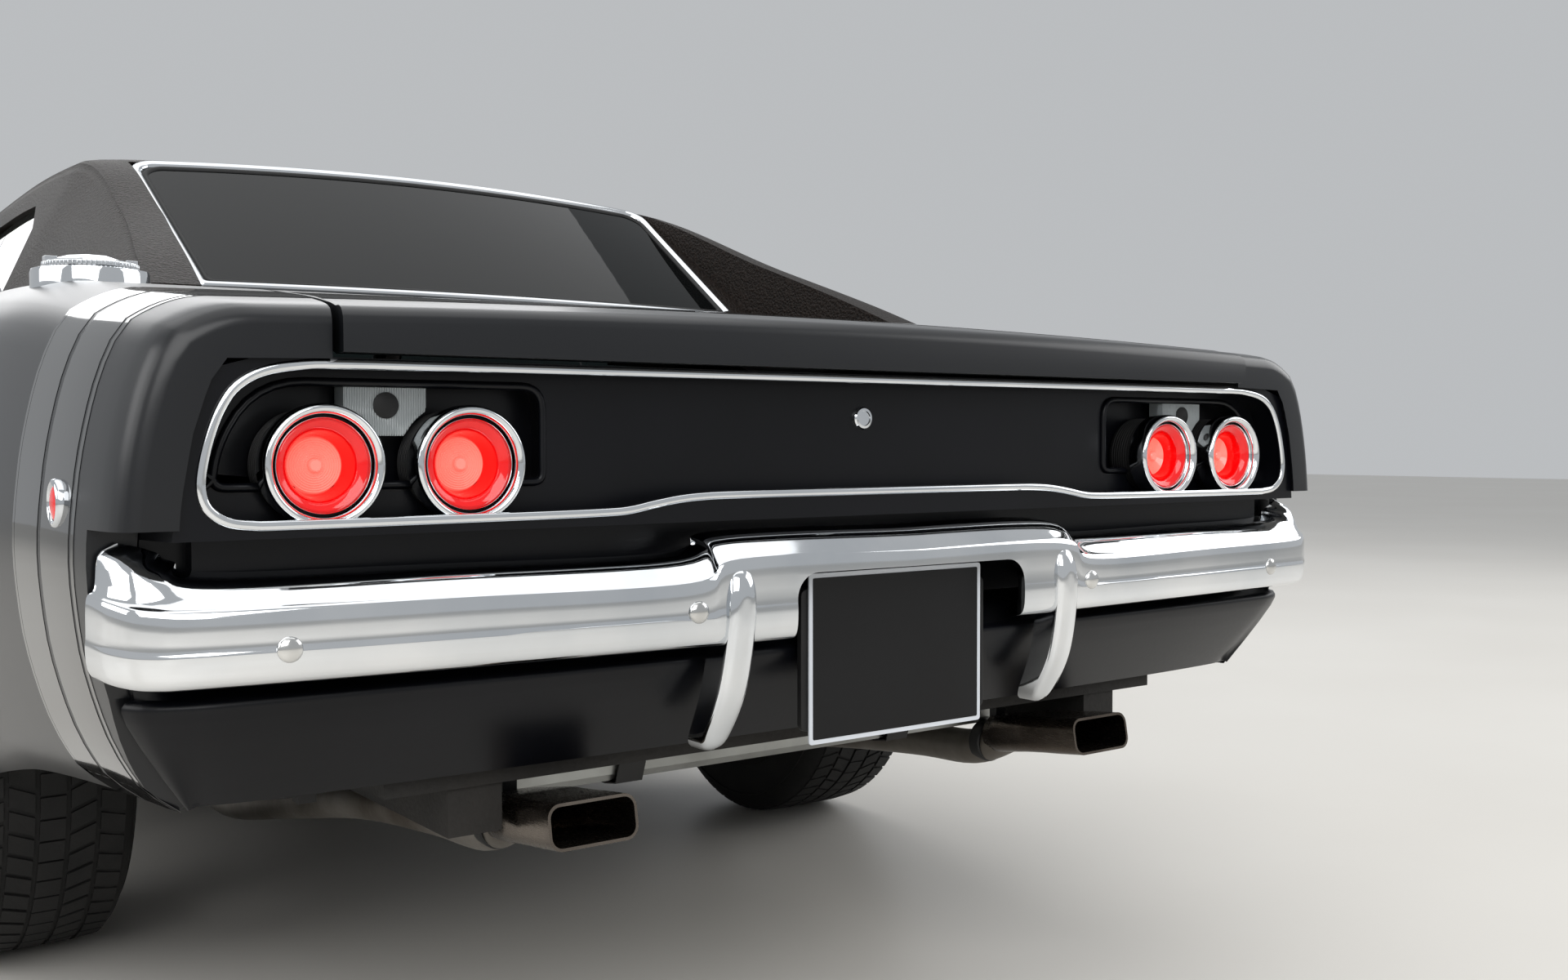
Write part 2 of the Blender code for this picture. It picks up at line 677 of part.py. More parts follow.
def side_window_cutter(grow=0.0):
    """The side windows' outline, pushed right across the car; grow makes it larger."""
    ys = [y for y, _ in SIDE_WINDOW]
    cy = (min(ys) + max(ys)) / 2
    outline = []
    for y, z in SIDE_WINDOW:
        y += grow * (1 if y > cy else -1)
        z += grow if z > BELT_Z + 0.020 else 0.0
        outline.append((y, z))
    return prism_solid([(-0.95, y, z) for y, z in outline], (1, 0, 0), 1.90)


def windscreen_cutter(shrink=0.0):
    (xb, yb), (xt, yt) = WINDSCREEN_BOTTOM, WINDSCREEN_TOP
    slope = Vector((0, yt - yb, roof(yt, "crown") - roof(yb, "crown"))).normalized()
    normal = Vector((0, -slope.z, slope.y))
    low = Vector((0, yb, roof(yb, "crown"))) + slope * shrink
    high = Vector((0, yt, roof(yt, "crown"))) - slope * shrink
    outline = [low + Vector((xb - shrink, 0, 0)), high + Vector((xt - shrink, 0, 0)),
               high - Vector((xt - shrink, 0, 0)), low - Vector((xb - shrink, 0, 0))]
    start = [p - normal * 0.22 for p in outline]
    return prism_solid(start, normal, 0.40)


def backlight_frame():
    (xt, yt, zt), (xb, yb, zb) = BACKLIGHT_TOP, BACKLIGHT_BOTTOM
    slope = Vector((0, yb - yt, zb - zt)).normalized()
    return slope, Vector((0, -slope.z, slope.y))


def backlight_slab(shrink, low, high):
    """A slab over the backlight's outline, from low to high along its normal."""
    (xt, yt, zt), (xb, yb, zb) = BACKLIGHT_TOP, BACKLIGHT_BOTTOM
    slope, normal = backlight_frame()
    top = Vector((0, yt, zt)) + slope * shrink
    bottom = Vector((0, yb, zb)) - slope * shrink
    outline = [top + Vector((xt - shrink, 0, 0)), bottom + Vector((xb - shrink, 0, 0)),
               bottom - Vector((xb - shrink, 0, 0)), top - Vector((xt - shrink, 0, 0))]
    return prism_solid([p + normal * low for p in outline], normal, high - low)


def tunnel_cutter():
    """The open channel between the flying buttresses, above the backlight and the deck."""
    (xt, yt, zt), (xb, yb, zb) = BACKLIGHT_TOP, BACKLIGHT_BOTTOM
    flare = (TUNNEL_TIP_HALF - xb) / (TUNNEL_TIP_Y - yb)
    low_z = BELT_Z - 0.030
    stations = [
        (yt, xt, zt + 0.012), (yb, xb, zb + 0.012), (yb + 0.12, xb + flare * 0.12, low_z),
        (yb + 0.62, xb + flare * 0.62, low_z),
    ]
    rings = [[(x, y, z), (x + 0.010, y, 1.60), (-x - 0.010, y, 1.60), (-x, y, z)] for y, x, z in stations]
    return ring_solid(rings)


def make_deck():
    """The fixed deck between the backlight and the boot lid."""
    outer, inner = [], []
    half = LID_FRONT_HALF + SHUT_GAP - SEAT_GAP
    for y in between(DECK_FRONT_Y, LID_FRONT_Y - DECK_GAP):
        row = [(s * half, y, top_z(s * half, y)) for s in (-1, -0.5, 0, 0.5, 1)]
        outer.append(row)
        inner.append([(x, y, z - 0.030) for x, y, z in row])
    obj = add_object("deck_panel", grid_solid(outer, inner), "paint")
    axis = (LID_HINGE_X, LID_FRONT_Y, LID_HINGE_Z)
    panel_z = top_z(LID_HINGE_X, LID_FRONT_Y)
    edge = LID_FRONT_Y - DECK_GAP - 0.004
    return join(obj, [solid for side in (1, -1) for solid in fixed_hinge(side, axis, edge, panel_z)])


def make_roof_shell():
    obj = add_object("roof_shell", roof_volume(0.0, ROOF_LINES[0][0], ROOF_END_Y), "vinyl")
    cut(obj, [body_volume(SEAT_GAP)])
    cut(obj, [roof_volume(PILLAR, -0.920, 1.020, 0.80)])
    cut(obj, [side_window_cutter()])
    cut(obj, [windscreen_cutter()])
    cut(obj, [tunnel_cutter()])
    (xt, yt, zt), (xb, yb, zb) = BACKLIGHT_TOP, BACKLIGHT_BOTTOM
    half = xb - 0.027
    ends = ((yt - 0.075, zt - 0.036), (yb - 0.060, zb - 0.018))
    cabin_end = ring_solid([[(half, y, 0.80), (half, y, z), (-half, y, z), (-half, y, 0.80)] for y, z in ends])
    cut(obj, [cabin_end])
    cut(obj, [backlight_slab(0.0, -0.060, 0.050)])
    return obj


def make_windshield():
    obj = add_object("windshield", roof_volume(0.004, -0.990, -0.300), "glass")
    cut(obj, [roof_volume(0.004 + GLASS, -1.050, -0.200, 0.80)])
    return keep(obj, [windscreen_cutter(SEAT_GAP)])


def side_glass(name, side, low_y, high_y, gap):
    """A side window cut from the greenhouse's skin between two ends, with a gap round it."""
    obj = add_object(name, roof_volume(0.010, -0.990, 1.050), "glass")
    cut(obj, [roof_volume(0.010 + GLASS, -1.050, 1.100, 0.80)])
    keep(obj, [side_window_cutter(-gap)])
    low, high = (side * 0.40, low_y, BELT_Z + BEARING_GAP), (side * 1.00, high_y, 1.40)
    keep(obj, [box_solid(*ordered(low, high))])
    return obj


# Ends of the body

def end_plate(name, low_y, high_y, wall, low_z, high_z, finish):
    """A plate that fills the body between its side walls, flat at top and bottom."""
    rings = []
    for y in (low_y, high_y):
        points = [p for p in inset(side_points(y), wall + SEAT_GAP) if low_z < p[1] < high_z]

        def half_at(z):
            line = inset(side_points(y), wall + SEAT_GAP)
            for a, b in zip(line, line[1:]):
                if a[1] <= z <= b[1]:
                    return a[0] + (b[0] - a[0]) * (z - a[1]) / (b[1] - a[1])
            return line[-1][0]

        zs = [low_z + (high_z - low_z) * k / 4 for k in range(5)]
        half = [(half_at(z), z) for z in zs]
        rings.append([(x, y, z) for x, z in [*half, *reversed([(-x, z) for x, z in half])]])
    return add_object(name, ring_solid(rings), finish)


def make_tail_panel():
    obj = end_plate("tail_panel", *TAIL_PANEL_Y, QUARTER_WALL, TAIL_BOTTOM_Z, TAIL_SIDE_TOP_Z, "trim")
    front, back = TAIL_PANEL_Y
    join(obj, [box_solid((-0.785, front, TAIL_SIDE_TOP_Z - 0.010), (0.785, back, TAIL_TOP_Z))])
    recess = rounded_outline((-RECESS_HALF + 0.012, RECESS_BOTTOM_Z), (RECESS_HALF - 0.012, RECESS_TOP_Z), RECESS_CORNER)
    cut(obj, [prism_solid([(x, RECESS_Y, z) for x, z in recess], (0, 1, 0), 0.10)])
    low_top = RECESS_BOTTOM_Z - 0.002
    low_z, far_y = TAIL_BOTTOM_Z - 0.10, TAIL_Y + 0.10
    cut(obj, [box_solid((-1.0, TAIL_LOW_Y, low_z), (1.0, far_y, low_top))])
    sides = [((side * TAIL_LOW_HALF, front - 0.05, low_z), (side * 1.0, far_y, low_top)) for side in (1, -1)]
    cut(obj, [box_solid(*ordered(low, high)) for low, high in sides])
    for side in (1, -1):
        low, high = sorted((side * POCKET_X[0], side * POCKET_X[1]))
        pocket = rounded_outline((low, POCKET_Z[0] - 0.020), (high, POCKET_Z[1]), 0.030)
        cut(obj, [prism_solid([(x, POCKET_Y, z) for x, z in pocket], (0, 1, 0), 0.10)])
    return obj


def make_tail_lamps(side, name):
    """Two round lamps on a shared base in the pocket."""
    low, high = sorted((side * (LAMP_X[0] - 0.052), side * (LAMP_X[1] + 0.052)))
    obj = add_object(name, box_solid((low, POCKET_Y + SEAT_GAP, LAMP_Z - 0.040),
                                     (high, POCKET_Y + 0.012, LAMP_Z + 0.060)), "lamp")
    for x in LAMP_X:
        at = side * x
        start, step = POCKET_Y + 0.006, LAMP_FACE_Y - LAMP_BEZEL
        join(obj, [round_solid("Y", (at, (start + step) / 2 + 0.002, LAMP_Z), LAMP_RADIUS - 0.006, step - start + 0.004, sides=24)])
        join(obj, [round_solid("Y", (at, step + LAMP_BEZEL / 2, LAMP_Z), LAMP_RADIUS, LAMP_BEZEL, sides=24)])
        cut(obj, [round_solid("Y", (at, LAMP_FACE_Y, LAMP_Z), LAMP_RADIUS - 0.012, 0.024, sides=24)])
        cone = (at, LAMP_FACE_Y - 0.014 + LAMP_CONE / 2, LAMP_Z)
        join(obj, [round_solid("Y", cone, 0.022, LAMP_CONE, sides=16, far_radius=0.008)])
    return obj


def make_nose_panel():
    """The frame round the grille and the headlamp covers."""
    obj = end_plate("nose_panel", *NOSE_PANEL_Y, FENDER_WALL, 0.530, 0.726, "paint")
    front, back = NOSE_PANEL_Y
    join(obj, [box_solid((-0.780, front, 0.700), (0.780, back, 0.7375))])
    opening = rounded_outline((-NOSE_OPENING_X, NOSE_OPENING_Z[0]), (NOSE_OPENING_X, NOSE_OPENING_Z[1]), 0.030)
    return cut(obj, [prism_solid([(x, -2.70, z) for x, z in opening], (0, 1, 0), 0.30)])


def make_header():
    """The strip between the hood's front edge and the nose."""
    shares = [-1.0, -0.5, 0.0, 0.5, 1.0]
    half = HOOD_HALF + SHUT_GAP - SEAT_GAP
    outer, inner = [], []
    for y in between(NOSE_Y + 0.004, HOOD_FRONT_Y - SHUT_GAP):
        outer.append([(s * half, y, top_z(s * half, y)) for s in shares])
        inner.append([(x, y, z - 0.018) for x, y, z in outer[-1]])
    return add_object("header_panel", grid_solid(outer, inner), "paint")


def make_grille():
    """Blades and posts in a slim frame, between the headlamp covers."""
    y0, y1 = -2.562, -2.534
    half = COVER_X[0] - 0.008
    low, high = NOSE_OPENING_Z[0] + SEAT_GAP, NOSE_OPENING_Z[1] - SEAT_GAP
    obj = add_object("grille", box_solid((-half, y0, low), (half, y1, high)), "trim")
    cut(obj, [box_solid((-half + 0.012, y0 - 0.01, low + 0.012), (half - 0.012, y1 + 0.01, high - 0.012))])
    blades, posts = 5, 5
    bars = []
    for k in range(blades):
        z = low + (high - low) * (k + 1) / (blades + 1)
        bars.append(box_solid((-half + 0.006, y0 + 0.004, z - 0.004), (half - 0.006, y1 - 0.002, z + 0.004)))
    for k in range(posts):
        x = half * (2 * (k + 1) / (posts + 1) - 1)
        bars.append(box_solid((x - 0.004, y0 + 0.008, low + 0.006), (x + 0.004, y1 - 0.006, high - 0.006)))
    join(obj, bars)
    return obj


def make_headlamps():
    """Four round lamps on a bar behind the covers."""
    obj = add_object("headlamps", box_solid((-0.780, -2.383, 0.560), (0.780, -2.363, 0.700)), "chrome")
    for side in (1, -1):
        join(obj, [box_solid(*ordered((side * 0.380, -2.383, RAIL_TOP_Z + SEAT_GAP), (side * 0.430, -2.363, 0.600)))])
        inner, outer = COVER_X[0] - 0.006 - BEARING_GAP, COVER_X[1] + 0.006 + BEARING_GAP
        y, z = COVER_PIVOT
        for a, b in ((inner - 0.010, inner), (outer, outer + 0.010)):
            join(obj, [box_solid(*ordered((side * a, y - 0.010, z - 0.010), (side * b, -2.370, z + 0.010)))])
        for x in (0.524, 0.680):
            join(obj, [round_solid("Y", (side * x, -2.408, 0.630), 0.060, 0.070, sides=20)])
    return obj


def make_cover(side, name):
    low, high = sorted((side * COVER_X[0], side * COVER_X[1]))
    obj = add_object(name, box_solid((low, COVER_Y, COVER_Z[0]), (high, COVER_Y + 0.012, COVER_Z[1])), "trim")
    for x, out in ((COVER_X[0] + 0.006, -1), (COVER_X[1] - 0.006, 1)):
        a, b = sorted((side * (x - 0.004), side * (x + 0.004)))
        boss = round_solid("X", (side * (x + out * 0.005), *COVER_PIVOT), 0.009, 0.014, sides=12)
        join(obj, [boss])
        arm = [(COVER_Y + 0.010, 0.650), (COVER_PIVOT[0] + 0.008, COVER_PIVOT[1] + 0.008),
               (COVER_PIVOT[0] + 0.008, COVER_PIVOT[1] - 0.008), (COVER_Y + 0.010, 0.600)]
        join(obj, [prism_solid([(a, y, z) for y, z in arm], (1, 0, 0), b - a)])
    return obj


# Bumpers and aprons

def plan_normals(path):
    """Outward directions, in plan, along a path that starts on the centre line."""
    outward = 1 if path[0][1] > 0 else -1
    found = [(0.0, outward)]
    for i in range(1, len(path)):
        ax, ay = path[i - 1]
        bx, by = path[min(i + 1, len(path) - 1)]
        length = math.hypot(bx - ax, by - ay)
        found.append((-outward * (by - ay) / length, outward * (bx - ax) / length))
    return [*found[:-1], (1.0, 0.0)]


def plan_rings(path, sections):
    """Rings across a path: each section point is a depth behind the path, and a height."""
    half = []
    for (x, y), (nx, ny), section in zip(path, plan_normals(path), sections):
        half.append([(x - nx * depth, y - ny * depth, z) for depth, z in section])
    return [*[[(-x, y, z) for x, y, z in ring] for ring in reversed(half[1:])], *half]


def bumper_section(low, face_top, crown, depth):
    """A bumper's section, an open-backed bow."""
    wall = BUMPER_WALL
    return [
        (0.030, low), (0.006, low + 0.008), (0.000, low + 0.022), (0.001, face_top - 0.010), (0.007, face_top),
        (depth * 0.40, face_top + (crown - face_top) * 0.72), (depth, crown), (depth, crown - wall),
        (0.022, face_top - wall), (wall, face_top - 0.024), (wall, low + 0.026), (0.032, low + 0.012),
    ]


def make_rear_bumper():
    path = [(x, y) for x, y, *_ in BUMPER_LINES]
    rings = plan_rings(path, [bumper_section(*row[2:]) for row in BUMPER_LINES])
    obj = add_object("rear_bumper", ring_solid(rings), "chrome")
    notch = rounded_outline((-0.185, 0.560), (0.185, 0.664), 0.030)
    cut(obj, [prism_solid([(x, BUMPER_LINES[0][1] - 0.14, z) for x, z in notch], (0, 1, 0), 0.30)])
    for side in (1, -1):
        bracket = box_solid(*ordered((side * 0.290, TAIL_LOW_Y + SEAT_GAP, 0.625), (side * 0.330, 2.622, 0.645)))
        join(obj, [guard_solid(side), bracket])
    return obj


def guard_solid(side):
    """A slim upright over-rider that sweeps forward at its foot."""
    # z, front face y, half width, depth
    rows = [
        (0.462, 2.580, 0.009, 0.030), (0.475, 2.594, 0.017, 0.038), (0.530, 2.625, 0.019, 0.044),
        (0.600, 2.6405, 0.019, 0.044), (0.645, 2.6415, 0.018, 0.040), (0.668, 2.634, 0.014, 0.032),
        (0.676, 2.622, 0.008, 0.014),
    ]
    rings = []
    for z, face, half, depth in rows:
        x = side * (GUARD_X + (0.676 - z) * 0.035)
        rings.append([(x - half, face - depth, z), (x - half, face - 0.010, z), (x - half * 0.5, face, z),
                      (x + half * 0.5, face, z), (x + half, face - 0.010, z), (x + half, face - depth, z)])
    return ring_solid(rings)


def make_front_bumper():
    path = [(x, y) for x, y, *_ in FRONT_BUMPER_LINES]
    rings = plan_rings(path, [bumper_section(*row[2:]) for row in FRONT_BUMPER_LINES])
    obj = add_object("front_bumper", ring_solid(rings), "chrome")
    for side in (1, -1):
        low = (side * 0.385, -2.628, FRONT_BUMPER_LINES[0][2] + 0.004)
        high = (side * 0.425, RAIL_FRONT_Y - SEAT_GAP, RAIL_TOP_Z - 0.002)
        join(obj, [box_solid(*ordered(low, high))])
    return obj


# Rear apron: top edge x and y, lower edge x, y and z, depth of the flange behind its top edge
REAR_APRON_LINES = [
    (0.000, 2.575, 0.000, 2.503, 0.455, 0.074),
    (0.300, 2.572, 0.299, 2.500, 0.455, 0.074),
    (0.600, 2.563, 0.592, 2.492, 0.455, 0.074),
    (0.780, 2.553, 0.762, 2.480, 0.455, 0.074),
    (0.838, 2.545, 0.808, 2.4705, 0.455, 0.060),
    (0.872, 2.528, 0.8180, 2.4750, 0.454, 0.022),
    (0.888, 2.5075, 0.8205, 2.4730, 0.453, 0.012),
]
FRONT_APRON = [
    (0.030, -0.0005), (0.044, -0.070), (0.110, -0.160), (0.122, -0.154), (0.058, -0.064), (0.044, -0.0005),
]


def make_rear_valance():
    path = [(x, y) for x, y, *_ in REAR_APRON_LINES]
    half = []
    for (nx, ny), (x, y, low_x, low_y, low_z, reach) in zip(plan_normals(path), REAR_APRON_LINES):
        def behind(depth, z):
            return x - nx * depth, y - ny * depth, z

        top = TAIL_BOTTOM_Z - SEAT_GAP
        half.append([
            behind(0.0, 0.562), (x + (low_x - x) * 0.1, y + (low_y - y) * 0.1, 0.545), (low_x, low_y, low_z),
            (low_x - nx * 0.012, low_y - ny * 0.012, low_z + 0.004), behind(0.012, 0.545), behind(0.012, 0.556),
            behind(reach, 0.598), behind(reach, top), behind(reach - 0.011, top), behind(0.0, 0.572),
        ])
    rings = [*[mirrored(ring, -1) for ring in reversed(half[1:])], *half]
    return add_object("rear_valance", ring_solid(rings), "paint")


def make_front_valance():
    path = [(x, y) for x, y, *_ in FRONT_BUMPER_LINES]
    sections = [[(depth, row[2] + z) for depth, z in FRONT_APRON] for row in FRONT_BUMPER_LINES]
    return add_object("front_valance", ring_solid(plan_rings(path, sections)), "paint")


# Floor and structure

def make_floor_pan():
    """Floor, tunnel, bulkhead, rails, sills and boot floor in one welded platform."""
    thick = 0.025
    seat_z, boot_z = 0.470, 0.435
    obj = add_object("floor_pan", box_solid((-0.775, -0.965, FLOOR_Z), (0.775, 0.780, FLOOR_Z + thick)), "underbody")
    pieces = [
        box_solid((-0.730, -0.990, FLOOR_Z), (0.730, -0.950, 0.900)),
        box_solid((-0.730, -1.000, 0.820), (0.730, -0.930, 0.905)),
        box_solid((-0.150, -0.960, FLOOR_Z + 0.010), (0.150, 0.700, 0.390)),
        box_solid((-0.620, 0.745, FLOOR_Z + 0.005), (0.620, 0.790, seat_z + thick)),
        box_solid((-0.480, 0.780, seat_z), (0.480, 1.640, seat_z + thick)),
        box_solid((-0.480, 1.600, boot_z), (0.480, 1.640, seat_z + thick)),
        box_solid((-0.620, 1.610, boot_z), (0.620, 2.475, boot_z + thick)),
        box_solid((-0.440, RAIL_FRONT_Y, 0.330), (0.440, RAIL_FRONT_Y + 0.040, 0.400)),
        box_solid((-0.475, -2.330, 0.400), (0.475, -2.305, 0.760)),
    ]
    for side in (1, -1):
        pieces += [
            box_solid(*ordered((side * 0.370, RAIL_FRONT_Y, 0.330), (side * 0.440, -0.940, RAIL_TOP_Z))),
            box_solid(*ordered((side * 0.480, 0.770, 0.380), (side * 0.545, 2.470, boot_z + 0.020))),
            box_solid(*ordered((side * 0.430, -2.330, 0.400), (side * 0.475, -0.945, RAIL_TOP_Z))),
            box_solid(*ordered((side * 0.455, -2.330, 0.405), (side * 0.475, -0.945, 0.800))),
        ]
    join(obj, pieces)
    gearbox = box_solid((-0.120, -1.050, 0.10), (0.120, 0.680, 0.360))
    arms = [box_solid(*ordered((side * 0.450, FRONT_AXLE_Y - 0.070, 0.450), (side * 0.480, FRONT_AXLE_Y + 0.070, 0.560)))
            for side in (1, -1)]
    cut(obj, [gearbox, *arms])
    for side in (1, -1):
        post = box_solid(*ordered((side * 0.700, -1.040, 0.400), (side * 0.845, DOOR_FRONT_Y - DOOR_FRONT_GAP, 0.850)))
        low, high = (side * PAD_X[0], PAD_Y[0], PAD_Z), (side * PAD_X[1], PAD_Y[1], PAD_Z + 0.030)
        straps = [solid for z in DOOR_HINGE_Z for solid in hinge_strap(side, z)]
        join(obj, [sill_solid(side), post, box_solid(*ordered(low, high)), *straps])
    return obj


def ordered(a, b):
    return tuple(map(min, a, b)), tuple(map(max, a, b))


def sill_solid(side):
    rings = []
    front, back = DOOR_FRONT_Y - DOOR_FRONT_GAP + SEAT_GAP, DOOR_REAR_Y + SHUT_GAP - SEAT_GAP
    for y in between(front, back):
        points = side_points(y)
        top = DOOR_BOTTOM_Z - SHUT_GAP
        low = points[0]
        line = side_points(y, top)
        rings.append([(side * x, y, z) for x, z in [
            low, points[1], line[0], (line[0][0] - 0.050, top), (0.755, top), (0.755, FLOOR_Z + 0.002),
            (low[0] - 0.030, low[1])]])
    return ring_solid(rings)


# Running gear

def wheel_profile(width):
    """Half profile of a tyre, outer side to inner side: axial offset, radius."""
    half = width / 2
    return [
        (half * 0.80, RIM_RADIUS + 0.004), (half * 0.97, RIM_RADIUS + 0.030), (half, RIM_RADIUS + 0.075),
        (half * 0.95, TYRE_RADIUS - 0.030), (half * 0.84, TYRE_RADIUS - 0.006), (half * 0.70, TYRE_RADIUS),
    ]


def turned_solid(profile, centre, side, segments):
    """A closed profile of axial offset and radius, turned about a wheel's axis."""
    bm = bmesh.new()
    verts = [bm.verts.new((0.0, r, a)) for a, r in profile]
    edges = [bm.edges.new((verts[k], verts[(k + 1) % len(verts)])) for k in range(len(verts))]
    bmesh.ops.spin(
        bm, geom=[*verts, *edges], cent=(0, 0, 0), axis=(0, 0, 1), angle=2 * math.pi,
        steps=segments, use_duplicate=False,
    )
    bmesh.ops.remove_doubles(bm, verts=bm.verts, dist=1e-6)
    bmesh.ops.transform(bm, matrix=Matrix.Translation(centre) @ Matrix.Rotation(side * math.pi / 2, 4, "Y"), verts=bm.verts)
    bmesh.ops.recalc_face_normals(bm, faces=bm.faces)
    return bm


def make_tyre(name, x, y, width):
    side = 1 if x > 0 else -1
    half = wheel_profile(width)
    profile = [*half, *[(-a, r) for a, r in reversed(half)]]
    return add_object(name, turned_solid(profile, (x, y, TYRE_RADIUS), side, WHEEL_SIDES), "tyre")


def make_rim(name, x, y, width):
    """A five-spoke steel-and-alloy road wheel with an open back."""
    side = 1 if x > 0 else -1
    half = width * 0.40
    r = RIM_RADIUS + 0.0035
    barrel = [
        (half, r), (half, r - 0.012), (half - 0.045, r - 0.030), (-half + 0.010, r - 0.026), (-half, r - 0.012), (-half, r),
        (-half + 0.020, r - RIM_WALL), (half - 0.020, r - RIM_WALL),
    ]
    obj = add_object(name, turned_solid(barrel, (x, y, TYRE_RADIUS), side, WHEEL_SIDES), "alloy")
    face = half - HUB_FACE_INSET
    centre = x + side * (face - 0.010)
    hub = round_solid("X", (centre, y, TYRE_RADIUS), 0.072, 0.020, sides=20)
    join(obj, [spoke_solid(x, y, side, face, k) for k in range(5)])
    join(obj, [hub, round_solid("X", (centre + side * 0.022, y, TYRE_RADIUS), 0.030, 0.028, sides=20)])
    return obj


def spoke_solid(x, y, side, face, k):
    """A spoke that widens towards the barrel."""
    angle = math.radians(90 + 72 * k)
    out, across = Vector((0, math.cos(angle), math.sin(angle))), Vector((0, -math.sin(angle), math.cos(angle)))
    rings = []
    for radius, half, lift, thick in ((0.030, 0.020, 0.0, 0.016), (0.075, 0.021, 0.006, 0.018), (0.182, 0.036, -0.006, 0.018)):
        centre = Vector((x + side * (face + lift), y, TYRE_RADIUS)) + out * radius
        back = Vector((-side * thick, 0, 0))
        rings.append([centre + across * half, centre - across * half, centre - across * half + back, centre + across * half + back])
    return ring_solid(rings)


def make_knuckle(side, name):
    """Upright, stub axle and brake drum, turning about the kingpin."""
    x = side * KINGPIN_X
    obj = add_object(name, box_solid(*ordered((x - 0.020, FRONT_AXLE_Y - 0.022, 0.226), (x + 0.020, FRONT_AXLE_Y + 0.022, 0.452))), "underbody")
    back = FRONT_WHEEL_X + FRONT_TYRE_WIDTH * 0.40 - HUB_FACE_INSET - 0.020
    drum_end = back - BEARING_GAP
    join(obj, [
        round_solid("X", (side * 0.707, FRONT_AXLE_Y, TYRE_RADIUS), 0.120, 0.050, sides=24),
        round_solid("X", (side * (KINGPIN_X + drum_end) / 2, FRONT_AXLE_Y, TYRE_RADIUS), 0.036, drum_end - KINGPIN_X, sides=20),
    ])
    return obj


def make_front_suspension():
    """Cross-member with upper and lower arms to the ball joints."""
    half = 0.370 - SEAT_GAP
    low, high = (-half, FRONT_AXLE_Y - 0.060, 0.215), (half, FRONT_AXLE_Y + 0.060, ENGINE_BOTTOM_Z - SEAT_GAP)
    obj = add_object("front_suspension", box_solid(low, high), "underbody")
    post = half - 0.060
    for side in (1, -1):
        lower = [(side * 0.300, FRONT_AXLE_Y, 0.245), (side * 0.500, FRONT_AXLE_Y, 0.214), (side * 0.650, FRONT_AXLE_Y, 0.206)]
        upper = [(side * 0.400, FRONT_AXLE_Y, 0.490), (side * 0.560, FRONT_AXLE_Y, 0.484), (side * 0.650, FRONT_AXLE_Y, 0.474)]
        join(obj, [
            tube_solid(lower, 0.018, 8),
            round_solid("Z", (side * KINGPIN_X, FRONT_AXLE_Y, 0.226 - BEARING_GAP - 0.014), 0.022, 0.028, sides=16),
            box_solid(*ordered((side * post, FRONT_AXLE_Y - 0.030, 0.280), (side * half, FRONT_AXLE_Y + 0.030, 0.520))),
            tube_solid([(side * 0.330, FRONT_AXLE_Y, 0.500), *upper], 0.014, 8),
            round_solid("Z", (side * KINGPIN_X, FRONT_AXLE_Y, 0.452 + BEARING_GAP + 0.014), 0.020, 0.028, sides=16),
        ])
    return obj


def make_rear_axle():
    """Live axle with its differential, drums and leaf springs."""
    end = REAR_WHEEL_X + REAR_TYRE_WIDTH * 0.40 - HUB_FACE_INSET - 0.020 - BEARING_GAP
    obj = add_object("rear_axle", round_solid("X", (0, REAR_AXLE_Y, TYRE_RADIUS), 0.036, 2 * end, sides=14), "underbody")
    bulge = bmesh.new()
    bmesh.ops.create_uvsphere(bulge, u_segments=12, v_segments=6, radius=0.125, matrix=Matrix.Translation((0, REAR_AXLE_Y + 0.010, TYRE_RADIUS - 0.006)))
    join(obj, [bulge, round_solid("Y", (0, REAR_AXLE_Y - 0.140, TYRE_RADIUS), 0.045, 0.120, sides=16)])
    for side in (1, -1):
        leaf = [(0.800, 0.300), (0.950, 0.276), (REAR_AXLE_Y, 0.270), (1.700, 0.285), (1.980, 0.345)]
        low = [(y, z - 0.012) for y, z in reversed(leaf)]
        join(obj, [
            round_solid("X", (side * 0.690, REAR_AXLE_Y, TYRE_RADIUS), 0.125, 0.060, sides=20),
            box_solid(*ordered((side * 0.515, 0.805, 0.280), (side * 0.540, 0.835, 0.380 - SEAT_GAP))),
            box_solid(*ordered((side * 0.515, 1.945, 0.320), (side * 0.540, 1.970, 0.380 - SEAT_GAP))),
            prism_solid([(side * 0.535 - 0.028, y, z) for y, z in [*leaf, *low]], (1, 0, 0), 0.056),
            box_solid(*ordered((side * 0.510, REAR_AXLE_Y - 0.050, 0.262), (side * 0.560, REAR_AXLE_Y + 0.050, TYRE_RADIUS))),
        ])
    return obj


def make_fuel_tank():
    outline = rounded_outline((1.760, 0.3725), (2.330, 0.435 - SEAT_GAP), 0.028, 3)
    return add_object("fuel_tank", prism_solid([(-TANK_HALF, y, z) for y, z in outline], (1, 0, 0), 2 * TANK_HALF), "steel")


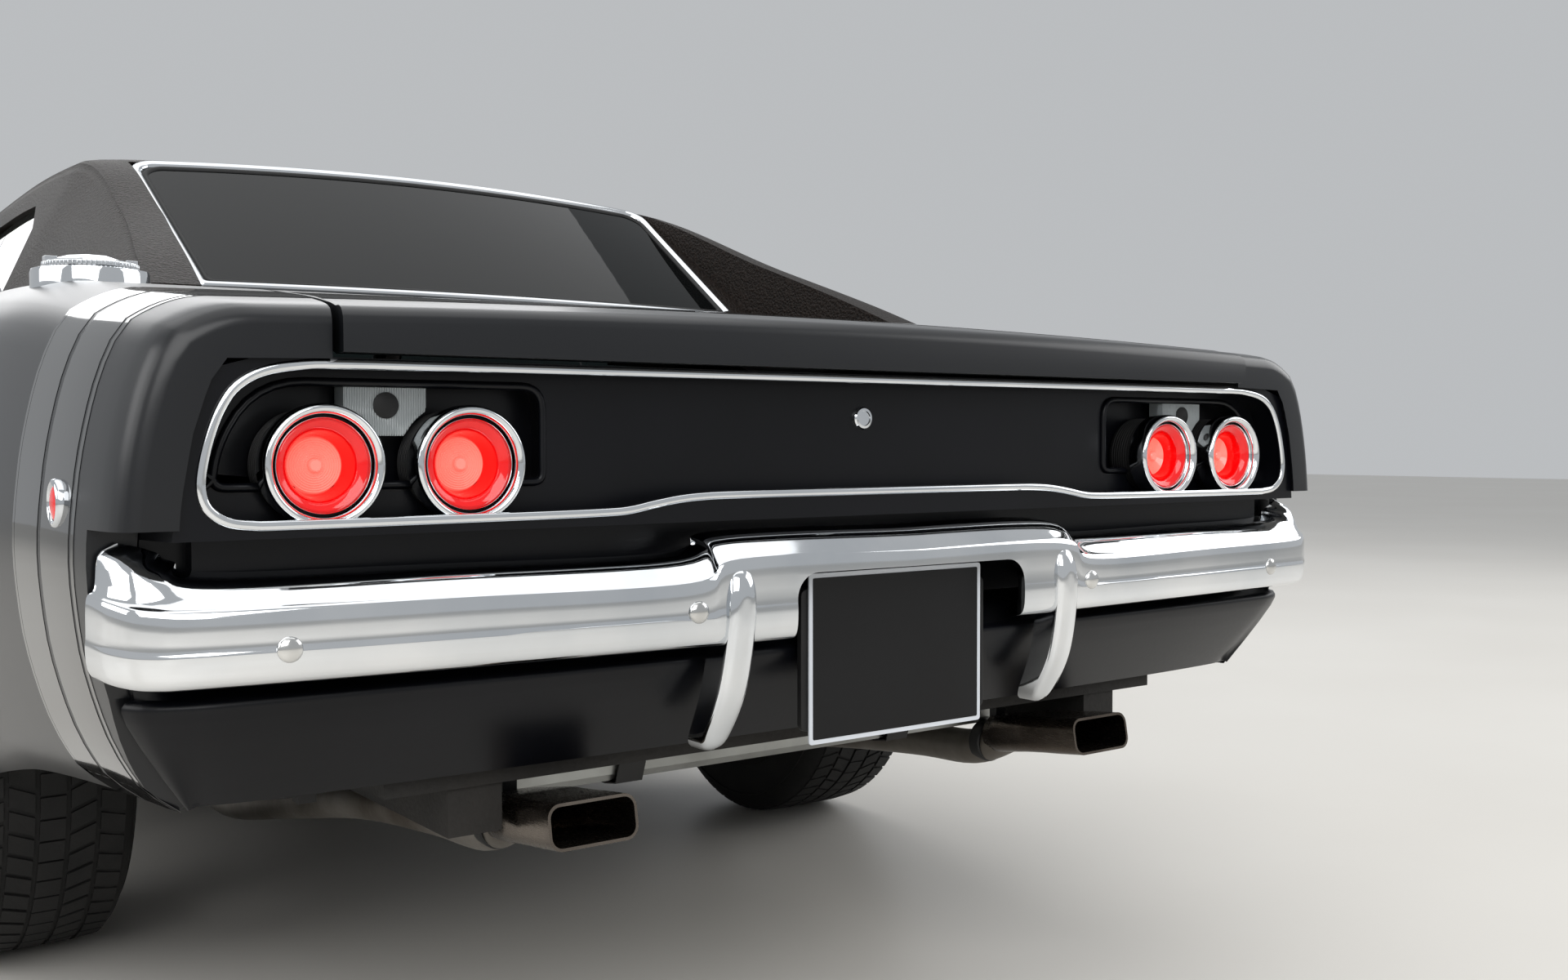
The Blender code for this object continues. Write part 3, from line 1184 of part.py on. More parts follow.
def make_exhaust(side, name):
    """Pipe, silencer and flared rectangular tip."""
    run = [(0.245, -1.100, 0.200), (0.245, 0.200, 0.200)]
    muffler_front, muffler_rear = 0.150, 0.720
    back = [(0.300, 0.660, 0.186), (0.360, 0.820, 0.190), (0.410, 0.960, 0.205), (0.428, 1.100, 0.200), (0.432, 1.300, 0.180),
            (0.430, 1.600, 0.236), (0.424, 1.900, 0.296), (0.420, 2.160, 0.326), (0.417, 2.300, 0.336), (0.416, 2.380, 0.368)]
    obj = add_object(name, tube_solid(mirrored(run, side), 0.026, 10), "steel")
    body_outline = rounded_outline((0.165, 0.145), (0.365, 0.225), 0.036, 3)
    join(obj, [
        prism_solid([(side * x, muffler_front, z) for x, z in body_outline], (0, 1, 0), muffler_rear - muffler_front),
        tube_solid(mirrored(back, side), 0.027, 10),
        tip_solid(side, 0.0),
        box_solid(*ordered((side * 0.250, 0.400, 0.215), (side * 0.280, 0.420, FLOOR_Z - SEAT_GAP))),
        box_solid(*ordered((side * 0.405, 2.345, 0.360), (side * 0.425, 2.360, 0.435 - SEAT_GAP))),
    ])
    return cut(obj, [tip_solid(side, 0.0035)])


def tip_solid(side, wall):
    """The tip's outside, or its bore when a wall is given."""
    # y, centre x, centre z, half width, half height
    rows = [(2.350, 0.416, 0.366, 0.030, 0.028), (2.440, 0.416, 0.382, 0.052, 0.027), (2.562, 0.414, 0.397, 0.056, 0.025)]
    if wall:
        rows = [rows[1], (2.580, 0.414, 0.398, 0.056, 0.025)]
    rings = []
    for y, x, z, half, tall in rows:
        outline = rounded_outline((-half + wall, -tall + wall), (half - wall, tall - wall), 0.014, 3)
        rings.append([(side * (x + dx), y, z + dz) for dx, dz in outline])
    return ring_solid(rings)


def make_engine():
    """Engine and gearbox as plain blocks."""
    obj = add_object("engine", box_solid((-0.260, -2.060, ENGINE_BOTTOM_Z), (0.260, -1.330, 0.800)), "underbody")
    join(obj, [
        box_solid((-0.110, -1.350, 0.215), (0.110, -0.750, 0.355 - 0.001)),
        box_solid((-0.110, -1.350, 0.215), (0.110, -1.100, 0.450)),
    ])
    return obj


# Cabin

FRONT_SEAT = [
    (-0.480, 0.2605), (-0.485, 0.400), (-0.440, 0.440), (-0.040, 0.415), (0.060, 0.700), (0.140, 0.900),
    (0.200, 0.915), (0.235, 0.890), (0.170, 0.560), (0.110, 0.2605),
]
REAR_SEAT = [
    (0.741, 0.4955), (0.560, 0.475), (0.540, 0.640), (0.580, 0.680), (0.980, 0.640), (1.150, 0.880),
    (1.250, 0.890), (1.180, 0.4955),
]


def make_seat(name, low_x, high_x, outline):
    """Cushion and backrest in one padded shape."""
    return add_object(name, prism_solid([(low_x, y, z) for y, z in outline], (1, 0, 0), high_x - low_x), "leather")


def make_dashboard():
    outline = [(-0.9295, 0.640), (-0.9295, 0.880), (-0.780, 0.880), (-0.690, 0.830), (-0.700, 0.700), (-0.800, 0.620)]
    obj = add_object("dashboard", prism_solid([(-0.720, y, z) for y, z in outline], (1, 0, 0), 1.440), "trim")
    column = [(0.370, -0.740, 0.745), (0.370, -0.556, 0.792)]
    return join(obj, [tube_solid(column, 0.022, 12)])


def steering_frame():
    start, end = Vector((0.370, -0.740, 0.745)), Vector((0.370, -0.556, 0.792))
    return end, (end - start).normalized()


def make_steering_wheel():
    end, axis = steering_frame()
    turn = axis.to_track_quat("Z", "Y").to_matrix().to_4x4()
    place = Matrix.Translation(end + axis * 0.018) @ turn
    hub = bmesh.new()
    bmesh.ops.create_cone(hub, cap_ends=True, segments=16, radius1=0.030, radius2=0.036, depth=0.036 - 2 * BEARING_GAP, matrix=place)
    obj = add_object("steering_wheel", hub, "trim")
    bars = []
    for angle in (0, 120, 240):
        out = Vector((math.cos(math.radians(angle)), math.sin(math.radians(angle)), 0))
        bars.append(tube_solid([place @ (out * 0.010), place @ (out * 0.100 + Vector((0, 0, 0.016))), place @ (out * 0.188 + Vector((0, 0, 0.030)))], 0.008, 6))
    join(obj, bars)
    torus_rings = []
    for k in range(24):
        angle = 2 * math.pi * k / 24
        out = Vector((math.cos(angle), math.sin(angle), 0))
        torus_rings.append([place @ (out * (0.190 + 0.012 * math.cos(a)) + Vector((0, 0, 0.030 + 0.012 * math.sin(a))))
                            for a in (math.tau * j / 6 for j in range(6))])
    bm = bmesh.new()
    made = [[bm.verts.new(p) for p in ring] for ring in torus_rings]
    for i in range(24):
        a, b = made[i], made[(i + 1) % 24]
        for j in range(6):
            bm.faces.new((a[j], a[(j + 1) % 6], b[(j + 1) % 6], b[j]))
    bmesh.ops.recalc_face_normals(bm, faces=bm.faces)
    return join(obj, [bm])


def make_filler():
    """Quick-fill cap on the left quarter's top: a fixed collar and a flip lid."""
    x, y = FILLER_AT
    z = top_z(x - FILLER_RADIUS, y - FILLER_RADIUS) + 0.002
    collar = round_solid("Z", (x, y, z + 0.006), FILLER_RADIUS + 0.014, 0.012, sides=28)
    add_object("filler_collar", collar, "chrome")
    low = z + 0.012 + SEAT_GAP
    lid = add_object("filler_lid", round_solid("Z", (x, y, low + 0.004), FILLER_RADIUS, 0.008, sides=28), "chrome")
    crown = round_solid("Z", (x, y, low + 0.015), FILLER_RADIUS - 0.004, 0.016, sides=8, far_radius=0.030)
    return join(lid, [crown])


CAR = bpy.data.collections.new("muscle_car")


def main():
    clear_scene()
    bpy.context.scene.collection.children.link(CAR)
    for side, mark in ((1, "L"), (-1, "R")):
        make_fender(side, f"fender_{mark}")
        make_quarter(side, f"quarter_{mark}")
        make_door(side, f"door_{mark}")
        side_glass(f"door_glass_{mark}", side, -0.955, DOOR_REAR_Y - 0.004, SHUT_GAP)
        glass = side_glass(f"quarter_glass_{mark}", side, DOOR_REAR_Y + 0.006, 0.990, SEAT_GAP)
        cut(glass, [body_volume(SEAT_GAP)])
        make_tail_lamps(side, f"tail_lamps_{mark}")
        make_cover(side, f"headlamp_cover_{mark}")
        make_knuckle(side, f"knuckle_{mark}")
        make_exhaust(side, f"exhaust_{mark}")
        for end, x, y, width in (("front", FRONT_WHEEL_X, FRONT_AXLE_Y, FRONT_TYRE_WIDTH),
                                 ("rear", REAR_WHEEL_X, REAR_AXLE_Y, REAR_TYRE_WIDTH)):
            make_tyre(f"tyre_{end}_{mark}", side * x, y, width)
            make_rim(f"rim_{end}_{mark}", side * x, y, width)
        make_seat(f"seat_{mark}", *sorted((side * 0.190, side * 0.640)), FRONT_SEAT)
    make_hood()
    make_cowl()
    make_deck()
    make_trunk_lid()
    make_roof_shell()
    make_windshield()
    add_object("backlight", backlight_slab(SEAT_GAP, 0.0, GLASS), "glass")
    make_tail_panel()
    make_nose_panel()
    make_header()
    make_grille()
    make_headlamps()
    make_rear_bumper()
    make_front_bumper()
    make_rear_valance()
    make_front_valance()
    make_floor_pan()
    make_front_suspension()
    make_rear_axle()
    make_fuel_tank()
    make_engine()
    make_dashboard()
    make_steering_wheel()
    make_seat("rear_seat", -0.560, 0.560, REAR_SEAT)
    make_filler()


main()
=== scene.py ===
import bisect
from math import cos, hypot, pi, radians, sin, sqrt, tau

import bmesh
import bpy
from mathutils import Matrix, Vector


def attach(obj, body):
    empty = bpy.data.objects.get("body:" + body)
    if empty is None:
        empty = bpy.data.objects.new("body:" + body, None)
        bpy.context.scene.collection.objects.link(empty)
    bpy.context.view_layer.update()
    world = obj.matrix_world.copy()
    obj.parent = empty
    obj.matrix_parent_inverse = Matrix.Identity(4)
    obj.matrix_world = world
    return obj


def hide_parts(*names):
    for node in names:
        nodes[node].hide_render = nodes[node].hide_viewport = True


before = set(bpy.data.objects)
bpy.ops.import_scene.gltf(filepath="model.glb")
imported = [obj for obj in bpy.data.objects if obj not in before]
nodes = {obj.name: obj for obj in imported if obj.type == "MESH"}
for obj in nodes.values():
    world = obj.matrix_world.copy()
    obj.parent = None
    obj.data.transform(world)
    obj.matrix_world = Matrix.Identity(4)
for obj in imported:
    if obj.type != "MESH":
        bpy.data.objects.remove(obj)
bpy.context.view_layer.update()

# Two-door muscle car, seen from behind its left rear corner.
# Metres, +Z up, the nose along -Y, the car's left side at +X.

carSides = ((1, "L"), (-1, "R"))      # sign of x, mark in the names

# Colour and node helpers

# sRGB hex to linear
def tone(code):
    found = []
    for k in (0, 2, 4):
        v = int(code[k:k + 2], 16) / 255
        found.append(v / 12.92 if v <= 0.04045 else ((v + 0.055) / 1.055) ** 2.4)
    return (*found, 1.0)

# one node, its settings by attribute or socket name, and what feeds it
def add(tree, kind, settings=(), links=()):
    node = tree.nodes.new(kind)
    for key, value in dict(settings).items():
        if key == "stops":      # the two ends of a colour ramp
            for element, (place, colour) in zip(node.color_ramp.elements, value):
                element.position, element.color = place, colour
        elif isinstance(key, int) or key in node.inputs:
            node.inputs[key].default_value = value
        else:
            setattr(node, key, value)
    for key, source in dict(links).items():
        tree.links.new(source, node.inputs[key])
    return node

# a Principled material with its sockets set; returns it, its tree and shader
def finish(name, settings):
    made = bpy.data.materials.new(name)
    made.use_nodes = True
    tree = made.node_tree
    shader = tree.nodes["Principled BSDF"]
    for key, value in settings.items():
        shader.inputs[key].default_value = value
    return made, tree, shader

# Finishes

# object coordinates times a scale, so a pattern keeps its real size
def metreCoords(tree, scale):
    coords = add(tree, "ShaderNodeTexCoord")
    return add(tree, "ShaderNodeMapping", {"Scale": (scale, scale, scale)},
        {"Vector": coords.outputs["Object"]}).outputs["Vector"]

paintLook = {"colour": "0d0f13", "dust": "282725", "peelMm": 9.0, "rough": (0.28, 0.38), "coat": 0.26,
    "coatRough": 0.22, "shine": 0.34}

# acrylic enamel, sprayed and cut back: soft black depth under a glossy coat, faint orange peel
def makePaint(name, look):
    made, tree, shader = finish(name, {"Coat Weight": look["coat"], "Coat Roughness": look["coatRough"],
        "Coat IOR": 1.5, "Specular IOR Level": look["shine"]})
    coords = metreCoords(tree, 1000 / look["peelMm"])
    peel = add(tree, "ShaderNodeTexNoise", {"Scale": 1.0, "Detail": 2.0}, {"Vector": coords})
    broad = add(tree, "ShaderNodeTexNoise", {"Scale": 0.012, "Detail": 4.0}, {"Vector": coords})
    low, high = look["rough"]
    rough = add(tree, "ShaderNodeMapRange", {"To Min": low, "To Max": high}, {"Value": broad.outputs["Fac"]})
    tint = add(tree, "ShaderNodeValToRGB", {"stops": [(0.35, tone(look["colour"])),
        (0.85, tone(look["dust"]))]}, {"Fac": broad.outputs["Fac"]})
    mixed = add(tree, "ShaderNodeMix", {"data_type": "RGBA", "Factor": 0.10, 6: tone(look["colour"])},
        {7: tint.outputs["Color"]})
    bump = add(tree, "ShaderNodeBump", {"Strength": 0.03, "Distance": 0.0004}, {"Height": peel.outputs["Fac"]})
    tree.links.new(mixed.outputs[2], shader.inputs["Base Color"])
    tree.links.new(rough.outputs["Result"], shader.inputs["Roughness"])
    tree.links.new(bump.outputs["Normal"], shader.inputs["Coat Normal"])
    tree.links.new(bump.outputs["Normal"], shader.inputs["Normal"])
    return made

# embossed vinyl or leather: cell-like grain that scatters the light along each ridge
def makeGrained(name, colours, grainMm, depth, rough, sheen=0.0, shine=0.45):
    made, tree, shader = finish(name, {"Sheen Weight": sheen, "Sheen Roughness": 0.5,
        "Specular IOR Level": shine})
    coords = metreCoords(tree, 1000 / grainMm)
    cells = add(tree, "ShaderNodeTexVoronoi", {"Scale": 1.0, "feature": "F1"}, {"Vector": coords})
    fine = add(tree, "ShaderNodeTexNoise", {"Scale": 2.3, "Detail": 3.0}, {"Vector": coords})
    broad = add(tree, "ShaderNodeTexNoise", {"Scale": 0.02, "Detail": 3.0}, {"Vector": coords})
    height = add(tree, "ShaderNodeMath", {"operation": "ADD"}, {0: cells.outputs["Distance"],
        1: fine.outputs["Fac"]})
    tint = add(tree, "ShaderNodeValToRGB", {"stops": [(0.1, tone(colours[0])), (0.7, tone(colours[1]))]},
        {"Fac": cells.outputs["Distance"]})
    worn = add(tree, "ShaderNodeValToRGB", {"stops": [(0.4, (0, 0, 0, 1)), (0.75, (0.35, 0.35, 0.35, 1))]},
        {"Fac": broad.outputs["Fac"]})
    mixed = add(tree, "ShaderNodeMix", {"data_type": "RGBA", 7: tone(colours[2])},
        {"Factor": worn.outputs["Color"], 6: tint.outputs["Color"]})
    roughness = add(tree, "ShaderNodeMapRange", {"To Min": rough[0], "To Max": rough[1]},
        {"Value": fine.outputs["Fac"]})
    bump = add(tree, "ShaderNodeBump", {"Strength": 0.6, "Distance": depth},
        {"Height": height.outputs["Value"]})
    tree.links.new(mixed.outputs[2], shader.inputs["Base Color"])
    tree.links.new(roughness.outputs["Result"], shader.inputs["Roughness"])
    tree.links.new(bump.outputs["Normal"], shader.inputs["Normal"])
    return made

# plated, polished or bare metal: roughness drifts with the finish, stretch draws brush lines
def makeMetal(name, colours, rough, grainMm, stretch=(1, 1, 1), bumpDepth=0.0, spots=0.5):
    made, tree, shader = finish(name, {"Metallic": 1.0})
    coords = add(tree, "ShaderNodeTexCoord")
    scale = 1000 / grainMm
    placed = add(tree, "ShaderNodeMapping", {"Scale": tuple(scale * k for k in stretch)},
        {"Vector": coords.outputs["Object"]})
    fine = add(tree, "ShaderNodeTexNoise", {"Scale": 1.0, "Detail": 3.0}, {"Vector": placed.outputs["Vector"]})
    broad = add(tree, "ShaderNodeTexNoise", {"Scale": 6.0, "Detail": 5.0}, {"Vector": coords.outputs["Object"]})
    tint = add(tree, "ShaderNodeValToRGB", {"stops": [(spots - 0.15, tone(colours[0])),
        (spots + 0.2, tone(colours[1]))]}, {"Fac": broad.outputs["Fac"]})
    roughness = add(tree, "ShaderNodeMapRange", {"To Min": rough[0], "To Max": rough[1]},
        {"Value": fine.outputs["Fac"]})
    tree.links.new(tint.outputs["Color"], shader.inputs["Base Color"])
    tree.links.new(roughness.outputs["Result"], shader.inputs["Roughness"])
    if bumpDepth:
        bump = add(tree, "ShaderNodeBump", {"Strength": 0.4, "Distance": bumpDepth},
            {"Height": fine.outputs["Fac"]})
        tree.links.new(bump.outputs["Normal"], shader.inputs["Normal"])
    return made

# moulded plastic, rubber or brushed-on coating: fine tooth, a little dust in the hollows
def makeDull(name, colours, rough, grainMm, depth, coat=0.0, shine=0.4):
    made, tree, shader = finish(name, {"Coat Weight": coat, "Coat Roughness": 0.2, "Specular IOR Level": shine})
    coords = metreCoords(tree, 1000 / grainMm)
    fine = add(tree, "ShaderNodeTexNoise", {"Scale": 1.0, "Detail": 4.0}, {"Vector": coords})
    broad = add(tree, "ShaderNodeTexNoise", {"Scale": 0.03, "Detail": 5.0}, {"Vector": coords})
    tint = add(tree, "ShaderNodeValToRGB", {"stops": [(0.35, tone(colours[0])), (0.75, tone(colours[1]))]},
        {"Fac": broad.outputs["Fac"]})
    roughness = add(tree, "ShaderNodeMapRange", {"To Min": rough[0], "To Max": rough[1]},
        {"Value": fine.outputs["Fac"]})
    bump = add(tree, "ShaderNodeBump", {"Strength": 0.5, "Distance": depth}, {"Height": fine.outputs["Fac"]})
    tree.links.new(tint.outputs["Color"], shader.inputs["Base Color"])
    tree.links.new(roughness.outputs["Result"], shader.inputs["Roughness"])
    tree.links.new(bump.outputs["Normal"], shader.inputs["Normal"])
    return made

# glass or acrylic: light passes through a tinted body, long faint waves bend its reflections
def makeClear(name, colour, through, rough, waveMm=60.0, coat=0.0, lit=("000000", 0.0), shine=0.5, ior=1.49):
    made, tree, shader = finish(name, {"Base Color": tone(colour), "Transmission Weight": through, "IOR": ior,
        "Coat Weight": coat, "Coat Roughness": 0.03, "Emission Color": tone(lit[0]),
        "Emission Strength": lit[1], "Specular IOR Level": shine})
    coords = metreCoords(tree, 1000 / waveMm)
    wave = add(tree, "ShaderNodeTexNoise", {"Scale": 1.0, "Detail": 1.0}, {"Vector": coords})
    roughness = add(tree, "ShaderNodeMapRange", {"To Min": rough, "To Max": rough + 0.03},
        {"Value": wave.outputs["Fac"]})
    bump = add(tree, "ShaderNodeBump", {"Strength": 0.05, "Distance": 0.001}, {"Height": wave.outputs["Fac"]})
    tree.links.new(roughness.outputs["Result"], shader.inputs["Roughness"])
    tree.links.new(bump.outputs["Normal"], shader.inputs["Normal"])
    return made

# body enamel: near black, wide soft highlights along the shoulders
darkPaint = makePaint("enamelSatinCharcoal", paintLook)
# stripes: wet-looking black whose reflections stay sharp beside the satin body
bandPaint = makePaint("enamelGlossBlack", {**paintLook, "colour": "050506", "dust": "101010",
    "rough": (0.06, 0.10), "coat": 0.9, "coatRough": 0.02})
# nose panel: a darker copy of the body's black with less gloss; the darker colour is painted shade for a panel
# that sits in the shade
nosePaintedShade = makePaint("enamelNoseBlackPaintedShade", {**paintLook, "colour": "090a0d", "rough": (0.34, 0.44), "coat": 0.04,
    "shine": 0.20})
# roof: brown-black, dull sparkle; its 1.5 mm grain is drawn at 5.5 mm, or it wouldn't show in the render
roofVinyl = makeGrained("embossedVinylBrownBlack", ("060504", "1f1814", "271f1a"), 5.5, 0.004, (0.38, 0.60),
    0.0, 0.17)
# seats and dash: finer grain, a soft sheen on the swelled pads
seatVinyl = makeGrained("embossedVinylBlack", ("101010", "1d1c1b", "272523"), 2.0, 0.0005, (0.38, 0.55))
# bumpers and bezels: a mirror with a faint haze
chrome = makeMetal("chromePlate", ("e4e6e8", "d2d6da"), (0.03, 0.09), 25.0)
# mouldings: bright, softer than chrome, drawn along their length
brightTrim = makeMetal("polishedStainless", ("d8d8d6", "bcbcba"), (0.10, 0.22), 8.0, (1, 1, 6))
# pipe tips: brushed round the mouth and browned by heat
tipSteel = makeMetal("heatedStainless", ("7c736a", "453c36"), (0.18, 0.34), 6.0, (4, 0.4, 4), 0.0003)
# tank: dull tin with broad spangle
tankSteel = makeMetal("terneSheet", ("b4b6b4", "8c8d8a"), (0.30, 0.50), 12.0, (1, 1, 1), 0.0004)
# pipes and silencers: chalky grey, no clear reflection
pipeSteel = makeMetal("aluminisedPipe", ("8e8a84", "5c554d"), (0.38, 0.60), 9.0, (1, 1, 1), 0.0004)
# wheels: fine turned lines that streak the highlight
wheelAlloy = makeMetal("castAluminiumMachined", ("c2c4c6", "a2a4a6"), (0.20, 0.36), 3.0, (6, 1, 1), 0.0001)
# axle, arms and engine: rough matt grey
castIron = makeDull("castIronPaintedGrey", ("2a2b2c", "3a3938"), (0.5, 0.7), 4.0, 0.0008)
# tyres: near black, dusty in the hollows
tyreRubber = makeDull("tyreRubber", ("0d0d0d", "1b1a19"), (0.62, 0.82), 2.0, 0.0003)
# grille and small trim: black with a grey bloom
blackTrim = makeDull("absBlackGrained", ("0c0c0d", "161616"), (0.42, 0.58), 1.5, 0.0003)
# tail panel and apron: a darker copy of the body's black, painted shade for the rear-facing panels; smoother
# than the body
tailPaintedShade = makeDull("enamelBlackPaintedShade", ("05060a", "0a0b10"), (0.28, 0.36), 6.0, 0.0001, 0.05, 0.22)
# underside and wheel houses: coarse sprayed rubber, no shine
underCoat = makeDull("rubberisedUndercoat", ("121211", "262320"), (0.65, 0.85), 6.0, 0.0015)
# floor: loops that swallow the light
carpet = makeDull("loopPileCarpet", ("0e0d0d", "1c1a19"), (0.85, 0.97), 3.0, 0.003)
# glass seal: dull black line inside the chrome
weatherStrip = makeDull("extrudedRubber", ("090909", "121212"), (0.5, 0.65), 2.0, 0.0002)
# screen and side glass: smoke tint, the cabin shows dimly
windowGlass = makeClear("temperedGlassSmoke", "262d2d", 0.86, 0.0, shine=0.40)
# rear window: glass darker and less clear than the side glass, painted shade on the rear window; a thin
# reflection
rearGlassPaintedShade = makeClear("temperedGlassPaintedShade", "080b0c", 0.42, 0.0, shine=0.20, ior=1.26)
# tail lenses: deep red with a faint painted glow, an emission that stands in for daylight passing through the
# lens
lampRed = makeClear("acrylicRed", "e0060a", 0.05, 0.08, 8.0, 0.35, ("e80404", 0.16))
# their middle: pinker and glowing more strongly, a painted reflection of the bulb's reflector
lampRedPaintedGlow = makeClear("acrylicRedCentrePaintedGlow", "ff8c80", 0.05, 0.10, 6.0, 0.4, ("ff6a5c", 0.62))
# reversing and head lamps: milky ribbed plastic
lampClear = makeClear("acrylicClearRibbed", "ccd2d3", 0.50, 0.05, 5.0, 0.4)
# front markers: amber plastic
lampAmber = makeClear("acrylicAmber", "e08018", 0.45, 0.08, 6.0, 0.8)
# dials: printed black under a thin gloss
gaugeFace = makeDull("printedDialBlack", ("0a0a0a", "101010"), (0.3, 0.4), 3.0, 0.0001, 0.3)
# plate field: blank pressed metal, nearly matt
plateBlack = makeDull("pressedPlateBlack", ("08080a", "0e0f11"), (0.30, 0.42), 5.0, 0.0002, 0.05, 0.25)
print("finishes made")

# The body's shape, finer than the frame's facets but through the same lines

bodyLines = [
    # y, widest half width, bottom edge, shoulder half width, shoulder height, centre-line height
    (-2.600, 0.868, 0.430, 0.835, 0.770, 0.790), (-2.540, 0.900, 0.400, 0.855, 0.786, 0.806),
    (-2.300, 0.928, 0.330, 0.868, 0.835, 0.858), (-1.980, 0.945, 0.270, 0.875, 0.880, 0.905),
    (-1.665, 0.955, 0.235, 0.878, 0.908, 0.938), (-1.300, 0.950, 0.215, 0.872, 0.925, 0.958),
    (-0.970, 0.945, 0.205, 0.866, 0.930, 0.965), (-0.300, 0.930, 0.205, 0.858, 0.930, 0.965),
    (0.470, 0.938, 0.205, 0.862, 0.930, 0.965), (0.850, 0.958, 0.220, 0.872, 0.958, 0.980),
    (1.295, 0.973, 0.275, 0.884, 1.012, 1.014), (1.660, 0.970, 0.350, 0.886, 1.028, 1.020),
    (2.000, 0.955, 0.415, 0.878, 1.014, 1.014), (2.300, 0.933, 0.441, 0.866, 0.980, 0.992),
    (2.500, 0.915, 0.452, 0.856, 0.955, 0.970), (2.555, 0.907, 0.458, 0.852, 0.946, 0.961),
    (2.575, 0.898, 0.462, 0.843, 0.938, 0.950),
]
bodyColumns = ("y", "widest", "bottom", "shoulder", "top", "crown")
roofLines = [
    # y, base half width, edge half width, edge height, crown height
    (-0.995, 0.790, 0.770, 0.955, 0.985), (-0.930, 0.789, 0.750, 0.988, 1.022),
    (-0.400, 0.788, 0.632, 1.266, 1.330), (-0.200, 0.790, 0.622, 1.294, 1.356),
    (0.100, 0.792, 0.618, 1.308, 1.366), (0.600, 0.798, 0.620, 1.314, 1.370),
    (1.000, 0.806, 0.620, 1.300, 1.360), (1.075, 0.808, 0.620, 1.288, 1.348),
    (1.480, 0.812, 0.655, 1.160, 1.190), (1.750, 0.788, 0.690, 1.068, 1.086),
    (1.868, 0.752, 0.705, 1.026, 1.034),
]
roofColumns = ("y", "base", "edge", "edgeZ", "crown")
sideShape = [
    # share of the side's height, share of its tuck-in
    (0.00, 1.00), (0.06, 0.62), (0.20, 0.26), (0.36, 0.06), (0.50, 0.00),
    (0.64, 0.06), (0.78, 0.20), (0.90, 0.42), (0.965, 0.68), (1.00, 1.00),
]
size = {"lowerTuck": 0.095, "widestShare": 0.50, "edgeRadius": 0.030, "frontAxleY": -1.665, "rearAxleY": 1.295,
    "axleZ": 0.340, "archRadius": 0.405, "archLift": 0.012, "shutGap": 0.0075, "fenderWall": 0.035,
    "quarterWall": 0.044, "doorWall": 0.090, "doorNoseWall": 0.060, "lidWall": 0.026, "doorFrontY": -0.970,
    "doorRearY": 0.470, "doorBottomZ": 0.275, "doorTaper": 0.030, "doorFrontGap": 0.010, "doorHingeY": -0.920,
    "beltZ": 0.930, "hoodFrontY": -2.490, "hoodRearY": -1.060, "fenderStrip": 0.123, "lidFrontY": 1.672,
    "lidRearY": 2.592, "lidFrontHalf": 0.548, "lidRearHalf": 0.702, "deckGap": 0.012, "deckFrontY": 1.440,
    "tailY": 2.575, "noseY": -2.600, "glass": 0.006, "pillar": 0.045}

# a column of a table between its rows, as a curve that never overshoots them
def smoothLine(rows, column, where):
    ys = [row[0] for row in rows]
    vs = [row[column] for row in rows]
    where = min(max(where, ys[0]), ys[-1])
    i = min(max(bisect.bisect_right(ys, where) - 1, 0), len(ys) - 2)

    def slope(k):
        return (vs[k + 1] - vs[k]) / (ys[k + 1] - ys[k])

    def tangent(k):
        if k == 0 or k == len(ys) - 1:
            return slope(min(k, len(ys) - 2))
        a, b = slope(k - 1), slope(k)
        return 0.0 if a * b <= 0 else 2 * a * b / (a + b)

    h = ys[i + 1] - ys[i]
    t = (where - ys[i]) / h
    return ((2 * t**3 - 3 * t**2 + 1) * vs[i] + (t**3 - 2 * t**2 + t) * h * tangent(i)
        + (-2 * t**3 + 3 * t**2) * vs[i + 1] + (t**3 - t**2) * h * tangent(i + 1))

def bodyAt(y, name):
    return smoothLine(bodyLines, bodyColumns.index(name), y)

def roofAt(y, name):
    return smoothLine(roofLines, roofColumns.index(name), y)

hoodHalf = bodyAt(size["hoodFrontY"], "shoulder") - size["fenderStrip"]

# evenly spaced values from low to high, about the spacing apart
def steps(low, high, spacing):
    count = max(int(round((high - low) / spacing)), 1)
    return [low + (high - low) * k / count for k in range(count + 1)]

def topZ(x, y):
    edge = bodyAt(y, "shoulder") - size["edgeRadius"]
    share = min(abs(x) / edge, 1.0)
    return bodyAt(y, "crown") - (bodyAt(y, "crown") - bodyAt(y, "top")) * share**2

sideShares = sorted({*steps(0.0, 0.12, 0.02), *steps(0.12, 0.84, 0.045), *steps(0.84, 1.0, 0.016)})

# a point of the side's outline, by its share of the way from the bottom edge to the shoulder
def sidePoint(y, share):
    bottom, top, widest = bodyAt(y, "bottom"), bodyAt(y, "top"), bodyAt(y, "widest")
    inner = bodyAt(y, "shoulder") - size["edgeRadius"]
    depth = size["lowerTuck"] if share < size["widestShare"] else widest - inner
    return widest - smoothLine(sideShape, 1, share) * depth, bottom + share * (top - bottom)

# half width of the body's side at a height
def sideX(y, z):
    line = [sidePoint(y, share) for share in sideShares]
    for (ax, az), (bx, bz) in zip(line, line[1:]):
        if az <= z <= bz:
            return ax + (bx - ax) * (z - az) / max(bz - az, 1e-9)
    return line[0][0] if z < line[0][1] else line[-1][0]

# the same outline moved inwards by a wall
def inset(points, wall):
    found = []
    for i, (x, z) in enumerate(points[:-1]):
        ax, az = points[max(i - 1, 0)]
        bx, bz = points[min(i + 1, len(points) - 1)]
        dx, dz = bx - ax, bz - az
        length = hypot(dx, dz) or 1e-9
        found.append((x - wall * dz / length, z + wall * dx / length))
    x, z = points[-1]
    return [*found, (x, z - wall)]

def lidHalf(y):
    share = (y - size["lidFrontY"]) / (size["lidRearY"] - size["lidFrontY"])
    return size["lidFrontHalf"] + share * (size["lidRearHalf"] - size["lidFrontHalf"])

